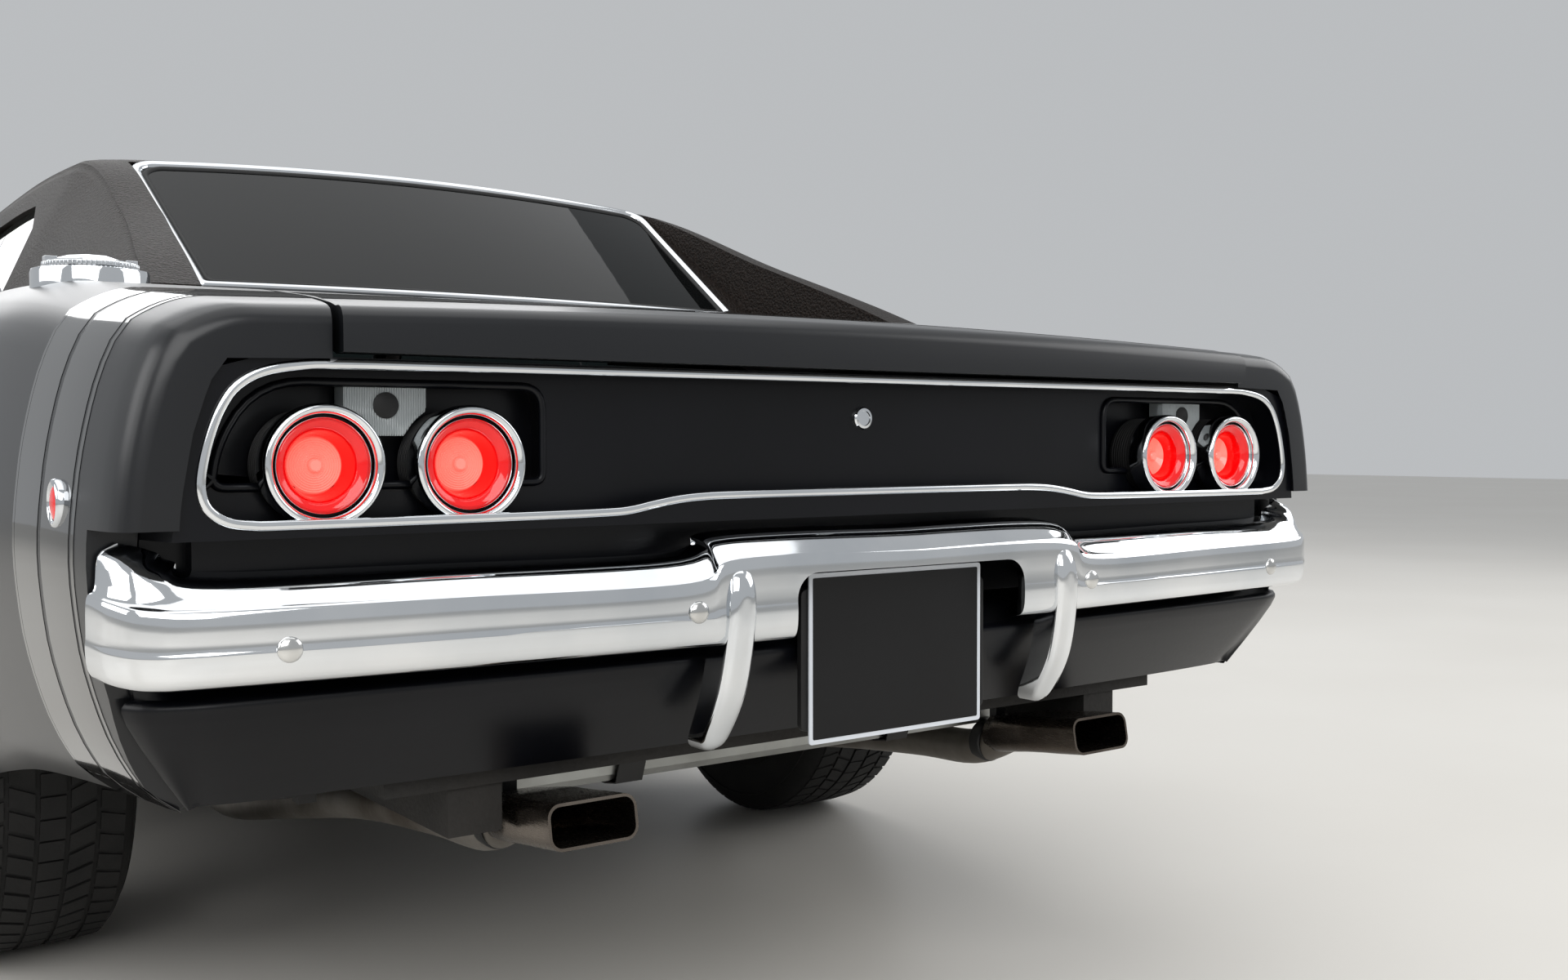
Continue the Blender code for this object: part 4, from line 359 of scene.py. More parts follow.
# inner edge of the quarter's top strip: cabin side, then along the boot lid
def stripInner(y):
    if y >= size["lidFrontY"]:
        return lidHalf(y) + size["shutGap"]
    share = min(max((y - 1.30) / 0.14, 0.0), 1.0)
    return 0.700 + share * (size["lidFrontHalf"] + size["shutGap"] - 0.700)

# a smooth curve through points of any width, with parts steps between two of them
def catmull(points, parts):
    found = []
    for i in range(len(points) - 1):
        a, b = points[max(i - 1, 0)], points[i]
        c, d = points[i + 1], points[min(i + 2, len(points) - 1)]
        for k in range(parts):
            t = k / parts
            found.append(tuple(0.5 * (2 * q + (r - p) * t + (2 * p - 5 * q + 4 * r - s) * t**2
                + (3 * q - p - 3 * r + s) * t**3) for p, q, r, s in zip(a, b, c, d)))
    found.append(tuple(points[-1]))
    return found

# Making meshes

# a closed wall between two like grids of points
def gridShell(outer, inner):
    made = bmesh.new()
    layers = [[[made.verts.new(p) for p in row] for row in grid] for grid in (outer, inner)]
    rows, columns = len(outer), len(outer[0])
    for layer in layers:
        for i in range(rows - 1):
            for j in range(columns - 1):
                made.faces.new((layer[i][j], layer[i][j + 1], layer[i + 1][j + 1], layer[i + 1][j]))
    a, b = layers
    for i in range(rows - 1):
        for j in (0, columns - 1):
            made.faces.new((a[i][j], a[i + 1][j], b[i + 1][j], b[i][j]))
    for j in range(columns - 1):
        for i in (0, rows - 1):
            made.faces.new((a[i][j], a[i][j + 1], b[i][j + 1], b[i][j]))
    bmesh.ops.recalc_face_normals(made, faces=made.faces)
    return made

# a closed loft through rings of as many points each; looped joins the last ring to the first
def ringLoft(rings, looped=False):
    made = bmesh.new()
    verts = [[made.verts.new(p) for p in ring] for ring in rings]
    count = len(rings[0])
    pairs = list(zip(verts, verts[1:])) + ([(verts[-1], verts[0])] if looped else [])
    for a, b in pairs:
        for j in range(count):
            k = (j + 1) % count
            made.faces.new((a[j], a[k], b[k], b[j]))
    if not looped:
        made.faces.new(verts[0])
        made.faces.new(verts[-1])
    bmesh.ops.recalc_face_normals(made, faces=made.faces)
    return made

def block(low, high):
    made = bmesh.new()
    low, high = Vector(map(min, low, high)), Vector(map(max, low, high))
    bmesh.ops.create_cube(made, size=1.0, matrix=Matrix.Translation((low + high) / 2)
        @ Matrix.Diagonal((*(high - low), 1.0)))
    return made

axisTurn = {"X": Matrix.Rotation(pi / 2, 4, "Y"), "Y": Matrix.Rotation(-pi / 2, 4, "X"),
    "Z": Matrix.Identity(4)}

# a profile of radius and distance along, turned about the place's Z axis
def turned(profile, place, sides=72, looped=False):
    rings = [[place @ Vector((max(r, 1e-5) * cos(tau * k / sides), max(r, 1e-5) * sin(tau * k / sides), along))
        for k in range(sides)] for r, along in profile]
    made = ringLoft(rings, looped)
    bmesh.ops.remove_doubles(made, verts=made.verts, dist=2e-5)
    return made

# a place whose Z axis points along an axis of the car
def at(x, y, z, axis="Z"):
    return Matrix.Translation((x, y, z)) @ axisTurn[axis]

def rod(axis, centre, radius, length, sides=64):
    return turned([(radius, -length / 2), (radius, length / 2)], at(*centre, axis), sides)

# an object of its own in the scene
def standing(name, data):
    made = bpy.data.objects.new(name, data)
    bpy.context.scene.collection.objects.link(made)
    return made

def prism(outline, direction, distance):
    push = Vector(direction).normalized() * distance
    return ringLoft([[Vector(p) for p in outline], [Vector(p) + push for p in outline]])

# a rectangle with round corners, as 2-D points
def roundedOutline(low, high, radius, parts=8):
    found = []
    corners = ((high[0] - radius, high[1] - radius, 0), (low[0] + radius, high[1] - radius, 90),
        (low[0] + radius, low[1] + radius, 180), (high[0] - radius, low[1] + radius, 270))
    for cx, cy, start in corners:
        for k in range(parts + 1):
            angle = radians(start + 90 * k / parts)
            found.append((cx + radius * cos(angle), cy + radius * sin(angle)))
    return found

# a section of (across, up) points carried along a path, upright to the given direction
def sweep(path, section, looped=False, up=Vector((0, 0, 1))):
    path = [Vector(p) for p in path]
    rings = []
    for i, p in enumerate(path):
        if looped:
            ahead = (path[(i + 1) % len(path)] - path[i - 1]).normalized()
        else:
            ahead = (path[min(i + 1, len(path) - 1)] - path[max(i - 1, 0)]).normalized()
        across = ahead.cross(up).normalized()
        lift = across.cross(ahead)
        rings.append([p + across * a + lift * b for a, b in section])
    return ringLoft(rings, looped)

def oval(wide, tall, corners=16):
    return [(wide * cos(tau * k / corners), tall * sin(tau * k / corners)) for k in range(corners)]

def circleOf(radius, corners=16):
    return oval(radius, radius, corners)

# several shapes as one mesh, left as separate closed bodies
def merged(shapes):
    whole = bmesh.new()
    for shape in shapes:
        mesh = bpy.data.meshes.new("part")
        shape.to_mesh(mesh)
        shape.free()
        whole.from_mesh(mesh)
        bpy.data.meshes.remove(mesh)
    return whole

# a closed shape cut by, joined with or limited to closed tools, one after another
def combined(shape, tools, operation="DIFFERENCE"):
    found = []
    for part in (shape, *tools):
        mesh = bpy.data.meshes.new("part")
        part.to_mesh(mesh)
        part.free()
        found.append(standing("part", mesh))
    for tool in found[1:]:
        change = found[0].modifiers.new("combine", "BOOLEAN")
        change.operation = operation
        change.solver = "MANIFOLD"
        change.object = tool
    bpy.context.view_layer.update()
    result = bmesh.new()
    evaluated = found[0].evaluated_get(bpy.context.evaluated_depsgraph_get())
    result.from_mesh(evaluated.to_mesh())
    evaluated.to_mesh_clear()
    for made in found:
        mesh = made.data
        bpy.data.objects.remove(made)
        bpy.data.meshes.remove(mesh)
    return result

# puts a shape in the scene as a finished piece that rides on a body of the frame
def piece(name, shape, material, replaces=(), body="body_shell", smooth=32, bevel=0.0, segments=2):
    mesh = bpy.data.meshes.new(name)
    shape.to_mesh(mesh)
    shape.free()
    mesh.materials.append(material)
    mesh.shade_smooth()
    mesh.set_sharp_from_angle(angle=radians(smooth))
    made = standing(name, mesh)
    if bevel:
        edge = made.modifiers.new("edges", "BEVEL")
        edge.width = bevel
        edge.segments = segments
        edge.limit_method = "ANGLE"
        edge.angle_limit = radians(38)
        edge.harden_normals = True
    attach(made, body)
    if replaces:
        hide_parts(*replaces)
    return made

# Body panels: a wall between the outer outline and the frame's own inner one

coarseShares = [share for share, tuck in sideShape]
rimShares = [*steps(0.0, 0.12, 0.03), *steps(0.12, 0.95, 0.042)[1:]]
shoulderReach = 0.034

# the point at a key on a line whose own points have rising keys
def between(keys, points, key):
    k = min(max(bisect.bisect_right(keys, key) - 1, 0), len(keys) - 2)
    t = (key - keys[k]) / (keys[k + 1] - keys[k])
    return tuple(a + (b - a) * t for a, b in zip(points[k], points[k + 1]))

# the point at a share of a curve that one control corner bends
def curvePoint(start, corner, far, t):
    return tuple((1 - t) ** 2 * a + 2 * t * (1 - t) * b + t * t * c for a, b, c in zip(start, corner, far))

# outer and inner outlines at a station, up the side, over the shoulder and in to an edge
def panelRow(y, edgeX, wall, lowShare=0.0, fall=0.0):
    corner = sidePoint(y, 1.0)
    keys, outer = [], []
    for share in rimShares:
        if share > lowShare + 0.012 or not keys:
            keys.append(max(share, lowShare))
            outer.append(sidePoint(y, max(share, lowShare)))
    start = outer[-1]
    farX = corner[0] - shoulderReach
    far = (farX, topZ(farX, y))
    span = corner[0] - edgeX
    for k in range(1, 8):
        t = k / 7
        keys.append(rimShares[-1] + (1 - rimShares[-1] + shoulderReach / span) * t)
        outer.append(curvePoint(start, corner, far, t))
    for k in range(1, 7):
        x = farX + (edgeX - farX) * k / 6
        keys.append(1 + (corner[0] - x) / span)
        outer.append((x, topZ(x, y)))
    coarse = [*[sidePoint(y, share) for share in coarseShares], (edgeX, topZ(edgeX, y))]
    innerLine = inset(coarse, wall)
    innerKeys = [*coarseShares, 2.0]
    inner = [between(innerKeys, innerLine, key) for key in keys]
    if fall:
        outer = inset(outer, fall)
    return outer, inner

def panelWall(side, stations, edgeAt, wall, roundEnd=0.0):
    outer, inner = [], []
    rows = [(y, 0.0) for y in stations]
    if roundEnd:
        end = stations[-1]
        rows = [row for row in rows if row[0] < end - roundEnd * 1.5]
        for k in range(7):
            angle = pi / 2 * k / 6
            rows.append((end - roundEnd * (1 - sin(angle)), roundEnd * (1 - cos(angle))))
    for y, fall in rows:
        for grid, line in zip((outer, inner), panelRow(y, edgeAt(y), wall, fall=fall)):
            grid.append([(side * x, y, z) for x, z in line])
    return gridShell(outer, inner)

def archTool(side, axleY):
    centre = (side * 0.82, axleY, size["axleZ"] + size["archLift"])
    return rod("X", centre, size["archRadius"], 0.60, sides=120)

# room in the door for the fixed strap while the door swings round it
def hingeStrapPocket(side, z):
    tall, clear, strapAngle, swing = 0.0246, 0.008, 210, 60
    outline = []
    for k in range(9):
        angle = radians(strapAngle - 60 - 22.5 * k)
        outline.append((clear * cos(angle), clear * sin(angle)))
    for angle in (strapAngle + swing + 8, strapAngle - 8):
        outline.append((0.140 * cos(radians(angle)), 0.140 * sin(radians(angle))))
    points = [(side * (0.922 + dx), size["doorHingeY"] + dy, z - tall / 2) for dx, dy in outline]
    return prism(points, (0, 0, 1), tall)

def makeDoor(side):
    stations = steps(size["doorFrontY"], size["doorRearY"], 0.035)
    outer, inner = [], []
    for y in stations:
        bottom, top = bodyAt(y, "bottom"), bodyAt(y, "top")
        lowShare = (size["doorBottomZ"] - bottom) / (top - bottom)
        shares = [share for share in rimShares if share > lowShare + 0.02]
        line = [sidePoint(y, share) for share in [lowShare, *shares]]
        corner = (bodyAt(y, "shoulder") - size["edgeRadius"], size["beltZ"])
        far = (corner[0] - shoulderReach, size["beltZ"])
        start = line[-1]
        for k in range(1, 8):
            t = k / 7
            line.append(curvePoint(start, corner, far, t))
        wall = size["doorWall"] if y > size["doorHingeY"] else size["doorNoseWall"]
        inside = line[0][0] - wall
        innerY = min(y, size["doorRearY"] - size["doorTaper"] - (0.06 if y < stations[-1] - 0.001 else 0.0))
        outer.append([(side * x, y, z) for x, z in line])
        inner.append([(side * inside, innerY, z) for _, z in line])
    for row, y in zip(inner[::-1], steps(0.0, 0.12, 0.03)):
        row[:] = [(x, size["doorRearY"] - size["doorTaper"] - y, z) for x, _, z in row]
    return combined(gridShell(outer, inner), [hingeStrapPocket(side, z) for z in (0.440, 0.660)])

# a crowned panel between its two edges, as thick as its wall
def flatPanel(stations, halfAt, wall, columns=41, bulge=None):
    outer, inner = [], []
    for y in stations:
        half = halfAt(y)
        row = []
        for k in range(columns):
            x = half * (2 * k / (columns - 1) - 1)
            z = topZ(x, y) + (bulge(x, y) if bulge else 0.0)
            row.append((x, y, z))
        outer.append(row)
        inner.append([(x, y, topZ(x, y) - wall) for x, y, z in row])
    return gridShell(outer, inner)

# 0 below low, 1 above high, with soft ends
def soft(value, low, high):
    t = min(max((value - low) / (high - low), 0.0), 1.0)
    return t * t * (3 - 2 * t)

hoodDish = {"x": 0.300, "half": 0.150, "front": -2.050, "rear": -1.300, "depth": 0.009, "soft": 0.035}

# two long shallow scoops pressed in the hood
def hoodBulge(x, y):
    look = hoodDish
    across = soft(look["half"] - abs(abs(x) - look["x"]), 0.0, look["soft"])
    along = soft(y - look["front"], 0.0, 0.30) * soft(look["rear"] - y, 0.0, look["soft"])
    return -look["depth"] * across * along

for side, mark in carSides:
    fenderEnd = size["doorFrontY"] - size["doorFrontGap"]
    fender = panelWall(side, steps(size["noseY"], fenderEnd, 0.030), lambda y: hoodHalf + size["shutGap"],
        size["fenderWall"])
    notch = block((side * 0.5, -2.930, 0.0), (side * 1.1, -2.430, 0.535))
    fender = combined(fender, [archTool(side, size["frontAxleY"]), notch])
    piece(f"fenderSkin_{mark}", fender, darkPaint, [f"fender_{mark}"], bevel=0.0016)

    quarter = panelWall(side, steps(size["doorRearY"] + size["shutGap"], size["tailY"], 0.026), stripInner,
        size["quarterWall"], roundEnd=0.012)
    outline = [(2.4995, 0.735), (2.9995, 0.735), (2.9995, 0.0), (2.4555, 0.0), (2.4555, 0.440), (2.4995, 0.575)]
    notch = prism([(side * 0.5, y, z) for y, z in outline], (side, 0, 0), 0.6)
    quarter = combined(quarter, [archTool(side, size["rearAxleY"]), notch])
    piece(f"quarterSkin_{mark}", quarter, darkPaint, [f"quarter_{mark}"], bevel=0.0016)

    piece(f"doorSkin_{mark}", makeDoor(side), darkPaint, [f"door_{mark}"], bevel=0.0016,
        body=f"door_{mark}")

hingeAxis = {"hood": (0.150, -1.060, 0.966), "lid": (0.440, 1.672, 1.022)}

# one of two barrels side by side on a hinge's axis
def hingeBarrel(side, axis, shift, radius=0.007, grow=0.0):
    x, y, z = axis
    return rod("X", (side * (x + shift * 0.0303), y, z), radius, 0.030 + grow, sides=32)

def hingeTab(side, axis, edgeY, panelZ):
    x, y, z = axis
    low = (side * (x + 0.00015), min(y, edgeY), panelZ - 0.008)
    high = (side * (x + 0.03015), max(y, edgeY), panelZ - 0.001)
    return [hingeBarrel(side, axis, 0.5), block(low, high)]

# room for the fixed barrels in a lid's edge, and the lid's own barrels
def movingHinge(shape, axis):
    shape = combined(shape, [hingeBarrel(side, axis, 0.5, 0.0075, 0.001) for side in (1, -1)])
    return combined(shape, [hingeBarrel(side, axis, -0.5) for side in (1, -1)], "UNION")

hood = flatPanel(steps(size["hoodFrontY"], size["hoodRearY"], 0.030), lambda y: hoodHalf, size["lidWall"],
    columns=61, bulge=hoodBulge)
piece("hoodSkin", movingHinge(hood, hingeAxis["hood"]), darkPaint, ["hood"], bevel=0.0016, body="hood")

panelHalf = hoodHalf + size["shutGap"] - 0.0005
header = flatPanel(steps(size["noseY"] + 0.004, size["hoodFrontY"] - size["shutGap"], 0.02),
    lambda y: panelHalf, 0.018)
piece("headerSkin", header, darkPaint, ["header_panel"], bevel=0.003)

cowl = flatPanel(steps(size["hoodRearY"] + size["shutGap"], -0.905, 0.02), lambda y: panelHalf, 0.020)
cowlEdge = size["hoodRearY"] + size["shutGap"] + 0.004
cowlTabs = [part for side in (1, -1) for part in hingeTab(side, hingeAxis["hood"], cowlEdge,
    topZ(0.150, size["hoodRearY"]))]
cowlSlots = [block((x - 0.005, -1.022, 0.90), (x + 0.005, -0.962, 1.0)) for x in steps(-0.56, 0.56, 0.020)]
cowl = combined(combined(cowl, cowlTabs, "UNION"), cowlSlots)
piece("cowlSkin", cowl, darkPaint, ["cowl_panel"], bevel=0.0012)

deckHalf = size["lidFrontHalf"] + size["shutGap"] - 0.0005
deck = flatPanel(steps(size["deckFrontY"], size["lidFrontY"] - size["deckGap"], 0.025), lambda y: deckHalf,
    0.030)
deckTabs = [part for side in (1, -1) for part in hingeTab(side, hingeAxis["lid"],
    size["lidFrontY"] - size["deckGap"] - 0.004, topZ(0.440, size["lidFrontY"]))]
piece("deckSkin", combined(deck, deckTabs, "UNION"), darkPaint, ["deck_panel"], bevel=0.0014)

lidEdge = [
    # y, drop of the top surface
    (2.566, 0.0002), (2.574, 0.0014), (2.581, 0.004), (2.586, 0.0078), (2.590, 0.013), (2.592, 0.020),
]

# the boot lid: a crowned skin that turns down over the tail as a deep lip
def makeLid():
    shares = steps(-1.0, 1.0, 0.05)
    lipZ = bodyAt(2.555, "top") - 0.043
    outer, inner = [], []
    for y, drop in [*[(y, 0.0) for y in steps(size["lidFrontY"], 2.555, 0.026)], *lidEdge]:
        half = lidHalf(y)
        outer.append([(s * half, y, topZ(s * half, min(y, 2.555)) - drop) for s in shares])
        deep = soft(y, 2.515, 2.535)
        inner.append([(x, y, (z + drop - size["lidWall"]) * (1 - deep) + lipZ * deep) for x, y, z in outer[-1]])
    return movingHinge(gridShell(outer, inner), hingeAxis["lid"])

piece("lidSkin", makeLid(), darkPaint, ["trunk_lid"], bevel=0.0016, body="trunk_lid")
print("body panels made")

# Greenhouse

backTop = (0.540, 1.090, 1.316)      # backlight corners: half width, y, z
backLow = (0.527, 1.480, 1.062)
tunnelTip = (0.625, 1.842)
tunnelLedge = 0.050      # between the backlight's lower corner and the buttress
topRail = 0.038
sideWindow = [
    # y, z of the side windows' outline, from the windscreen's foot over the top to the rear
    (-0.962, 0.80), (-0.962, 0.940), (-0.880, 0.968), *[(y, roofAt(y, "edgeZ") - topRail)
    for y in (-0.405, -0.300, -0.200, -0.05, 0.100, 0.35, 0.600, 0.700, 0.800)],
    (0.905, 1.215), (0.985, 1.030), (0.995, 0.80),
]

# the greenhouse's outline at a station, moved inwards by a wall
def roofRing(y, inward=0.0, lowZ=0.86):
    base, edge = roofAt(y, "base") - inward, roofAt(y, "edge") - inward * 0.9
    edgeZ, crown = roofAt(y, "edgeZ") - inward * 0.75, roofAt(y, "crown") - inward
    lean = (base - edge) / max(edgeZ - size["beltZ"], 0.02)
    foot = base + lean * (size["beltZ"] - lowZ) if lean < 1.2 else base
    rise = crown - edgeZ
    beltAt = min(size["beltZ"], edgeZ - 0.004)
    side = [(foot, lowZ), (base, beltAt)]
    side += [(base + (edge - base) * k / 6, beltAt + (edgeZ - beltAt) * k / 6) for k in range(1, 6)]
    bow = [(edge, edgeZ), (edge - 0.012, edgeZ + rise * 0.30), (edge - 0.048 * min(1, (edgeZ - 0.9) * 4),
        edgeZ + rise * 0.62), (edge * 0.55, edgeZ + rise * 0.90), (0.0, crown)]
    lead = [(edge + (base - edge) * 0.06, edgeZ + (beltAt - edgeZ) * 0.06), *bow, (-bow[-2][0], bow[-2][1])]
    arc = catmull(lead, 4)[4:-4]
    half = [*side, *arc]
    return [(x, y, z) for x, z in [*half, *[(-x, z) for x, z in reversed(half[:-1])]]]

def roofVolume(inward, low, high, lowZ=0.86, spacing=0.030):
    ys = sorted({low, high, *[y for y in steps(roofLines[0][0], roofLines[-1][0], spacing) if low < y < high]})
    return ringLoft([roofRing(y, inward, lowZ) for y in ys])

# the lower body as one solid, a little larger than its panels, to trim what stands on it
def bodyVolume(outset):
    rings = []
    for y in steps(-1.30, size["tailY"], 0.040):
        inner = stripInner(y) if y > size["doorRearY"] else hoodHalf + size["shutGap"]
        outer, _ = panelRow(y, inner, 0.03)
        top = [(x, topZ(x, y)) for x in (inner * 0.75, inner * 0.5, inner * 0.25)]
        half = [(x, z) for x, z in inset([*outer, *top], -outset)]
        crown = (0.0, bodyAt(y, "crown") + outset)
        rings.append([(x, y, z) for x, z in [*half, crown, *reversed([(-x, z) for x, z in half])]])
    return ringLoft(rings)

# the side windows' outline, pushed right across the car; grow makes it larger
def windowTool(grow=0.0):
    middle = (sideWindow[0][0] + sideWindow[-1][0]) / 2
    outline = [(y + grow * (1 if y > middle else -1), z + (grow if z > size["beltZ"] + 0.02 else 0.0))
        for y, z in sideWindow]
    return prism([(-0.95, y, z) for y, z in outline], (1, 0, 0), 1.90)

# corners of a sloping pane with round corners: bottom and top are (half width, y, z)
def slopedOutline(bottom, top, shrink, corner, parts=8):
    (xb, yb, zb), (xt, yt, zt) = bottom, top
    along = Vector((0, yt - yb, zt - zb))
    length = along.length
    slope = along.normalized()
    normal = Vector((0, -slope.z, slope.y)) * (1 if slope.y > 0 else -1)
    flat = []
    for x, v, start in ((xt, length, 0), (-xt, length, 90), (-xb, 0.0, 180), (xb, 0.0, 270)):
        sx, sv = (1 if x > 0 else -1), (1 if v > 0 else -1)
        cx, cv = x - sx * (shrink + corner), v - sv * (shrink + corner)
        for k in range(parts + 1):
            angle = radians(start + 90 * k / parts)
            flat.append((cx + corner * cos(angle), cv + corner * sin(angle)))
    return [Vector((u, yb, zb)) + slope * v for u, v in flat], normal

screenBottom = (0.700, -0.940, roofAt(-0.940, "crown"))
screenTop = (0.545, -0.425, roofAt(-0.425, "crown"))

def screenTool(shrink=0.0, corner=0.035):
    points, normal = slopedOutline(screenBottom, screenTop, shrink, corner)
    return prism([p - normal * 0.22 for p in points], normal, 0.40)

# the open channel between the flying buttresses, above the backlight and the deck
def tunnelTool():
    (xt, yt, zt), (xb, yb, zb) = backTop, backLow
    xb += tunnelLedge
    flare = (tunnelTip[0] - xb) / (tunnelTip[1] - yb)
    lowZ = size["beltZ"] - 0.030
    stations = [(yt, xt, zt + 0.012), (yb, xb, zb + 0.012), (yb + 0.12, xb + flare * 0.12, lowZ),
        (yb + 0.62, xb + flare * 0.62, lowZ)]
    return ringLoft([[(x, y, z), (x + 0.010, y, 1.60), (-x - 0.010, y, 1.60), (-x, y, z)]
        for y, x, z in stations])

def backSlab(shrink, low, high):
    points, normal = slopedOutline(backLow, backTop, shrink, 0.004, parts=2)
    normal = normal if normal.z > 0 else -normal
    return prism([p + normal * low for p in points], normal, high - low)

roofShell = roofVolume(0.0, roofLines[0][0], roofLines[-1][0])
roofShell = combined(roofShell, [bodyVolume(0.0005)])
roofShell = combined(roofShell, [roofVolume(size["pillar"], -0.920, 1.020, 0.80, spacing=0.06)])
roofShell = combined(roofShell, [windowTool()])
roofShell = combined(roofShell, [screenTool()])
roofShell = combined(roofShell, [tunnelTool()])
cabinHalf = backLow[0] - 0.027
cabinEnds = ((backTop[1] - 0.075, backTop[2] - 0.036), (backLow[1] - 0.060, backLow[2] - 0.018))
cabinEnd = ringLoft([[(cabinHalf, y, 0.80), (cabinHalf, y, z), (-cabinHalf, y, z), (-cabinHalf, y, 0.80)]
    for y, z in cabinEnds])
roofShell = combined(roofShell, [cabinEnd])
roofShell = combined(roofShell, [backSlab(0.0, -0.060, 0.050)])
piece("roofSkin", roofShell, roofVinyl, ["roof_shell"], bevel=0.003, segments=3)
print("roof made")

screenGlass = roofVolume(0.004, -0.990, -0.300)
screenGlass = combined(screenGlass, [roofVolume(0.004 + size["glass"], -1.050, -0.200, 0.80)])
screenGlass = combined(screenGlass, [screenTool(0.0006)], "INTERSECT")
piece("windscreenPane", screenGlass, windowGlass, ["windshield"])

def sideGlass(side, lowY, highY, gap):
    shape = roofVolume(0.010, -0.990, 1.050, spacing=0.05)
    shape = combined(shape, [roofVolume(0.010 + size["glass"], -1.050, 1.100, 0.80, spacing=0.05)])
    shape = combined(shape, [windowTool(-gap)], "INTERSECT")
    return combined(shape, [block((side * 0.40, lowY, size["beltZ"] + 0.0003), (side * 1.00, highY, 1.40))],
        "INTERSECT")

for side, mark in carSides:
    doorPane = sideGlass(side, -0.955, size["doorRearY"] - 0.004, size["shutGap"])
    piece(f"doorPane_{mark}", doorPane, windowGlass, [f"door_glass_{mark}"], body=f"door_{mark}")
    quarterPane = combined(sideGlass(side, size["doorRearY"] + 0.006, 0.990, 0.0005), [bodyVolume(0.0005)])
    piece(f"quarterPane_{mark}", quarterPane, windowGlass, [f"quarter_glass_{mark}"])

backlightLook = {"rimWide": 0.018, "rimCorner": 0.045, "bow": 0.024, "seat": 0.002, "rubber": 0.006}

# a point on the backlight: u across from -1 to 1, v up from 0 to 1
def backPoint(u, v, lift=0.0):
    (xt, yt, zt), (xb, yb, zb) = backTop, backLow
    slope = Vector((0, yt - yb, zt - zb)).normalized()
    normal = Vector((0, -slope.z, slope.y)) * -1
    half = xb + (xt - xb) * v
    bow = backlightLook["bow"] * (1 - u * u) * (0.25 + 0.75 * v)
    return Vector((u * half, yb + (yt - yb) * v, zb + (zt - zb) * v)) + normal * (lift + bow)

# the rear window's own outline in (u, v), with round top corners
def backOutline(shrink, corner, parts=8):
    (xt, yt, zt), (xb, yb, zb) = backTop, backLow
    length = hypot(yt - yb, zt - zb)
    flat = []
    for x, v, start in ((xt, length, 0), (-xt, length, 90), (-xb, 0.0, 180), (xb, 0.0, 270)):
        sx, sv = (1 if x > 0 else -1), (1 if v > 0 else -1)
        turn = corner if v > 0 else 0.010
        cx, cv = x - sx * (shrink + turn), v - sv * (shrink + turn)
        for k in range(parts + 1):
            angle = radians(start + 90 * k / parts)
            flat.append((cx + turn * cos(angle), cv + turn * sin(angle)))
        if v > 0 and x > 0:
            flat += [(cx - 2 * cx * k / 24, v - shrink) for k in range(1, 24)]
        if v == 0 and x < 0:
            flat += [(cx - 2 * cx * k / 24, shrink) for k in range(1, 24)]
    found = []
    for x, along in flat:
        v = along / length
        found.append((x / (xb + (xt - xb) * v), v))
    return found

def backGlass():
    outer = [[backPoint(u, v, 0.006) for u in steps(-0.998, 0.998, 0.05)] for v in steps(0.002, 0.998, 0.06)]
    inner = [[backPoint(u, v, 0.001) for u in steps(-0.998, 0.998, 0.05)] for v in steps(0.002, 0.998, 0.06)]
    return gridShell(outer, inner)

piece("backlightPane", backGlass(), rearGlassPaintedShade, ["backlight"])

# a bright frame that follows the bowed rear glass
def backFrame(shrink, wide, lift, tall):
    rim = backOutline(shrink, backlightLook["rimCorner"])
    inside = backOutline(shrink + wide, max(backlightLook["rimCorner"] - wide, 0.012))
    rings = []
    for (u, v), (a, b) in zip(rim, inside):
        far, near = backPoint(u, v, lift), backPoint(a, b, lift)
        up = (backPoint(u, v, lift + 1.0) - far).normalized()
        rings.append([far, far.lerp(near, 0.06) + up * tall * 0.7, far.lerp(near, 0.25) + up * tall,
            far.lerp(near, 0.55) + up * tall * 0.95, far.lerp(near, 0.9) + up * tall * 0.55, near])
    return ringLoft(rings, looped=True)

look = backlightLook
piece("backlightTrim", backFrame(-0.003, look["rimWide"], look["seat"] + 0.004, 0.008), chrome,
    smooth=50)
piece("backlightRubber", backFrame(look["rimWide"] - 0.004, look["rubber"] + 0.004, look["seat"] + 0.004,
    0.004), weatherStrip, smooth=50)
print("glass made")

# Tail panel, its bright bead, lamps

beadHalf = [
    # x, z along the bead's centre line, from the middle of its top round to the middle of its foot
    (0.000, 0.8925), (0.250, 0.8925), (0.500, 0.8925), (0.690, 0.892), (0.735, 0.890), (0.772, 0.883),
    (0.796, 0.869), (0.810, 0.850), (0.820, 0.826), (0.828, 0.795), (0.830, 0.772), (0.824, 0.754),
    (0.808, 0.742), (0.785, 0.7375), (0.740, 0.7365), (0.500, 0.7375), (0.400, 0.7385), (0.368, 0.7405),
    (0.340, 0.7455), (0.307, 0.7505), (0.275, 0.753), (0.220, 0.754), (0.000, 0.754),
]
tailLook = {"faceY": 2.568, "recessY": 2.525, "pocketY": 2.492, "lowY": 2.520, "lipZ": 0.724, "beadOut": 0.0035}

# a closed outline, symmetric about the middle, from half of it
def outlineFrom(half, parts=4):
    fine = catmull(half, parts)
    return [*fine, *[(-x, z) for x, z in reversed(fine[1:-1])]]

# an outline moved outwards
def grown(outline, by):
    found = []
    for i, (x, z) in enumerate(outline):
        ax, az = outline[i - 1]
        bx, bz = outline[(i + 1) % len(outline)]
        length = hypot(bx - ax, bz - az) or 1e-9
        found.append((x - by * (bz - az) / length, z + by * (bx - ax) / length))
    return found

bead = outlineFrom(beadHalf)
lampLook = {"x": (0.557, 0.711), "z": 0.793, "faceY": 2.570}

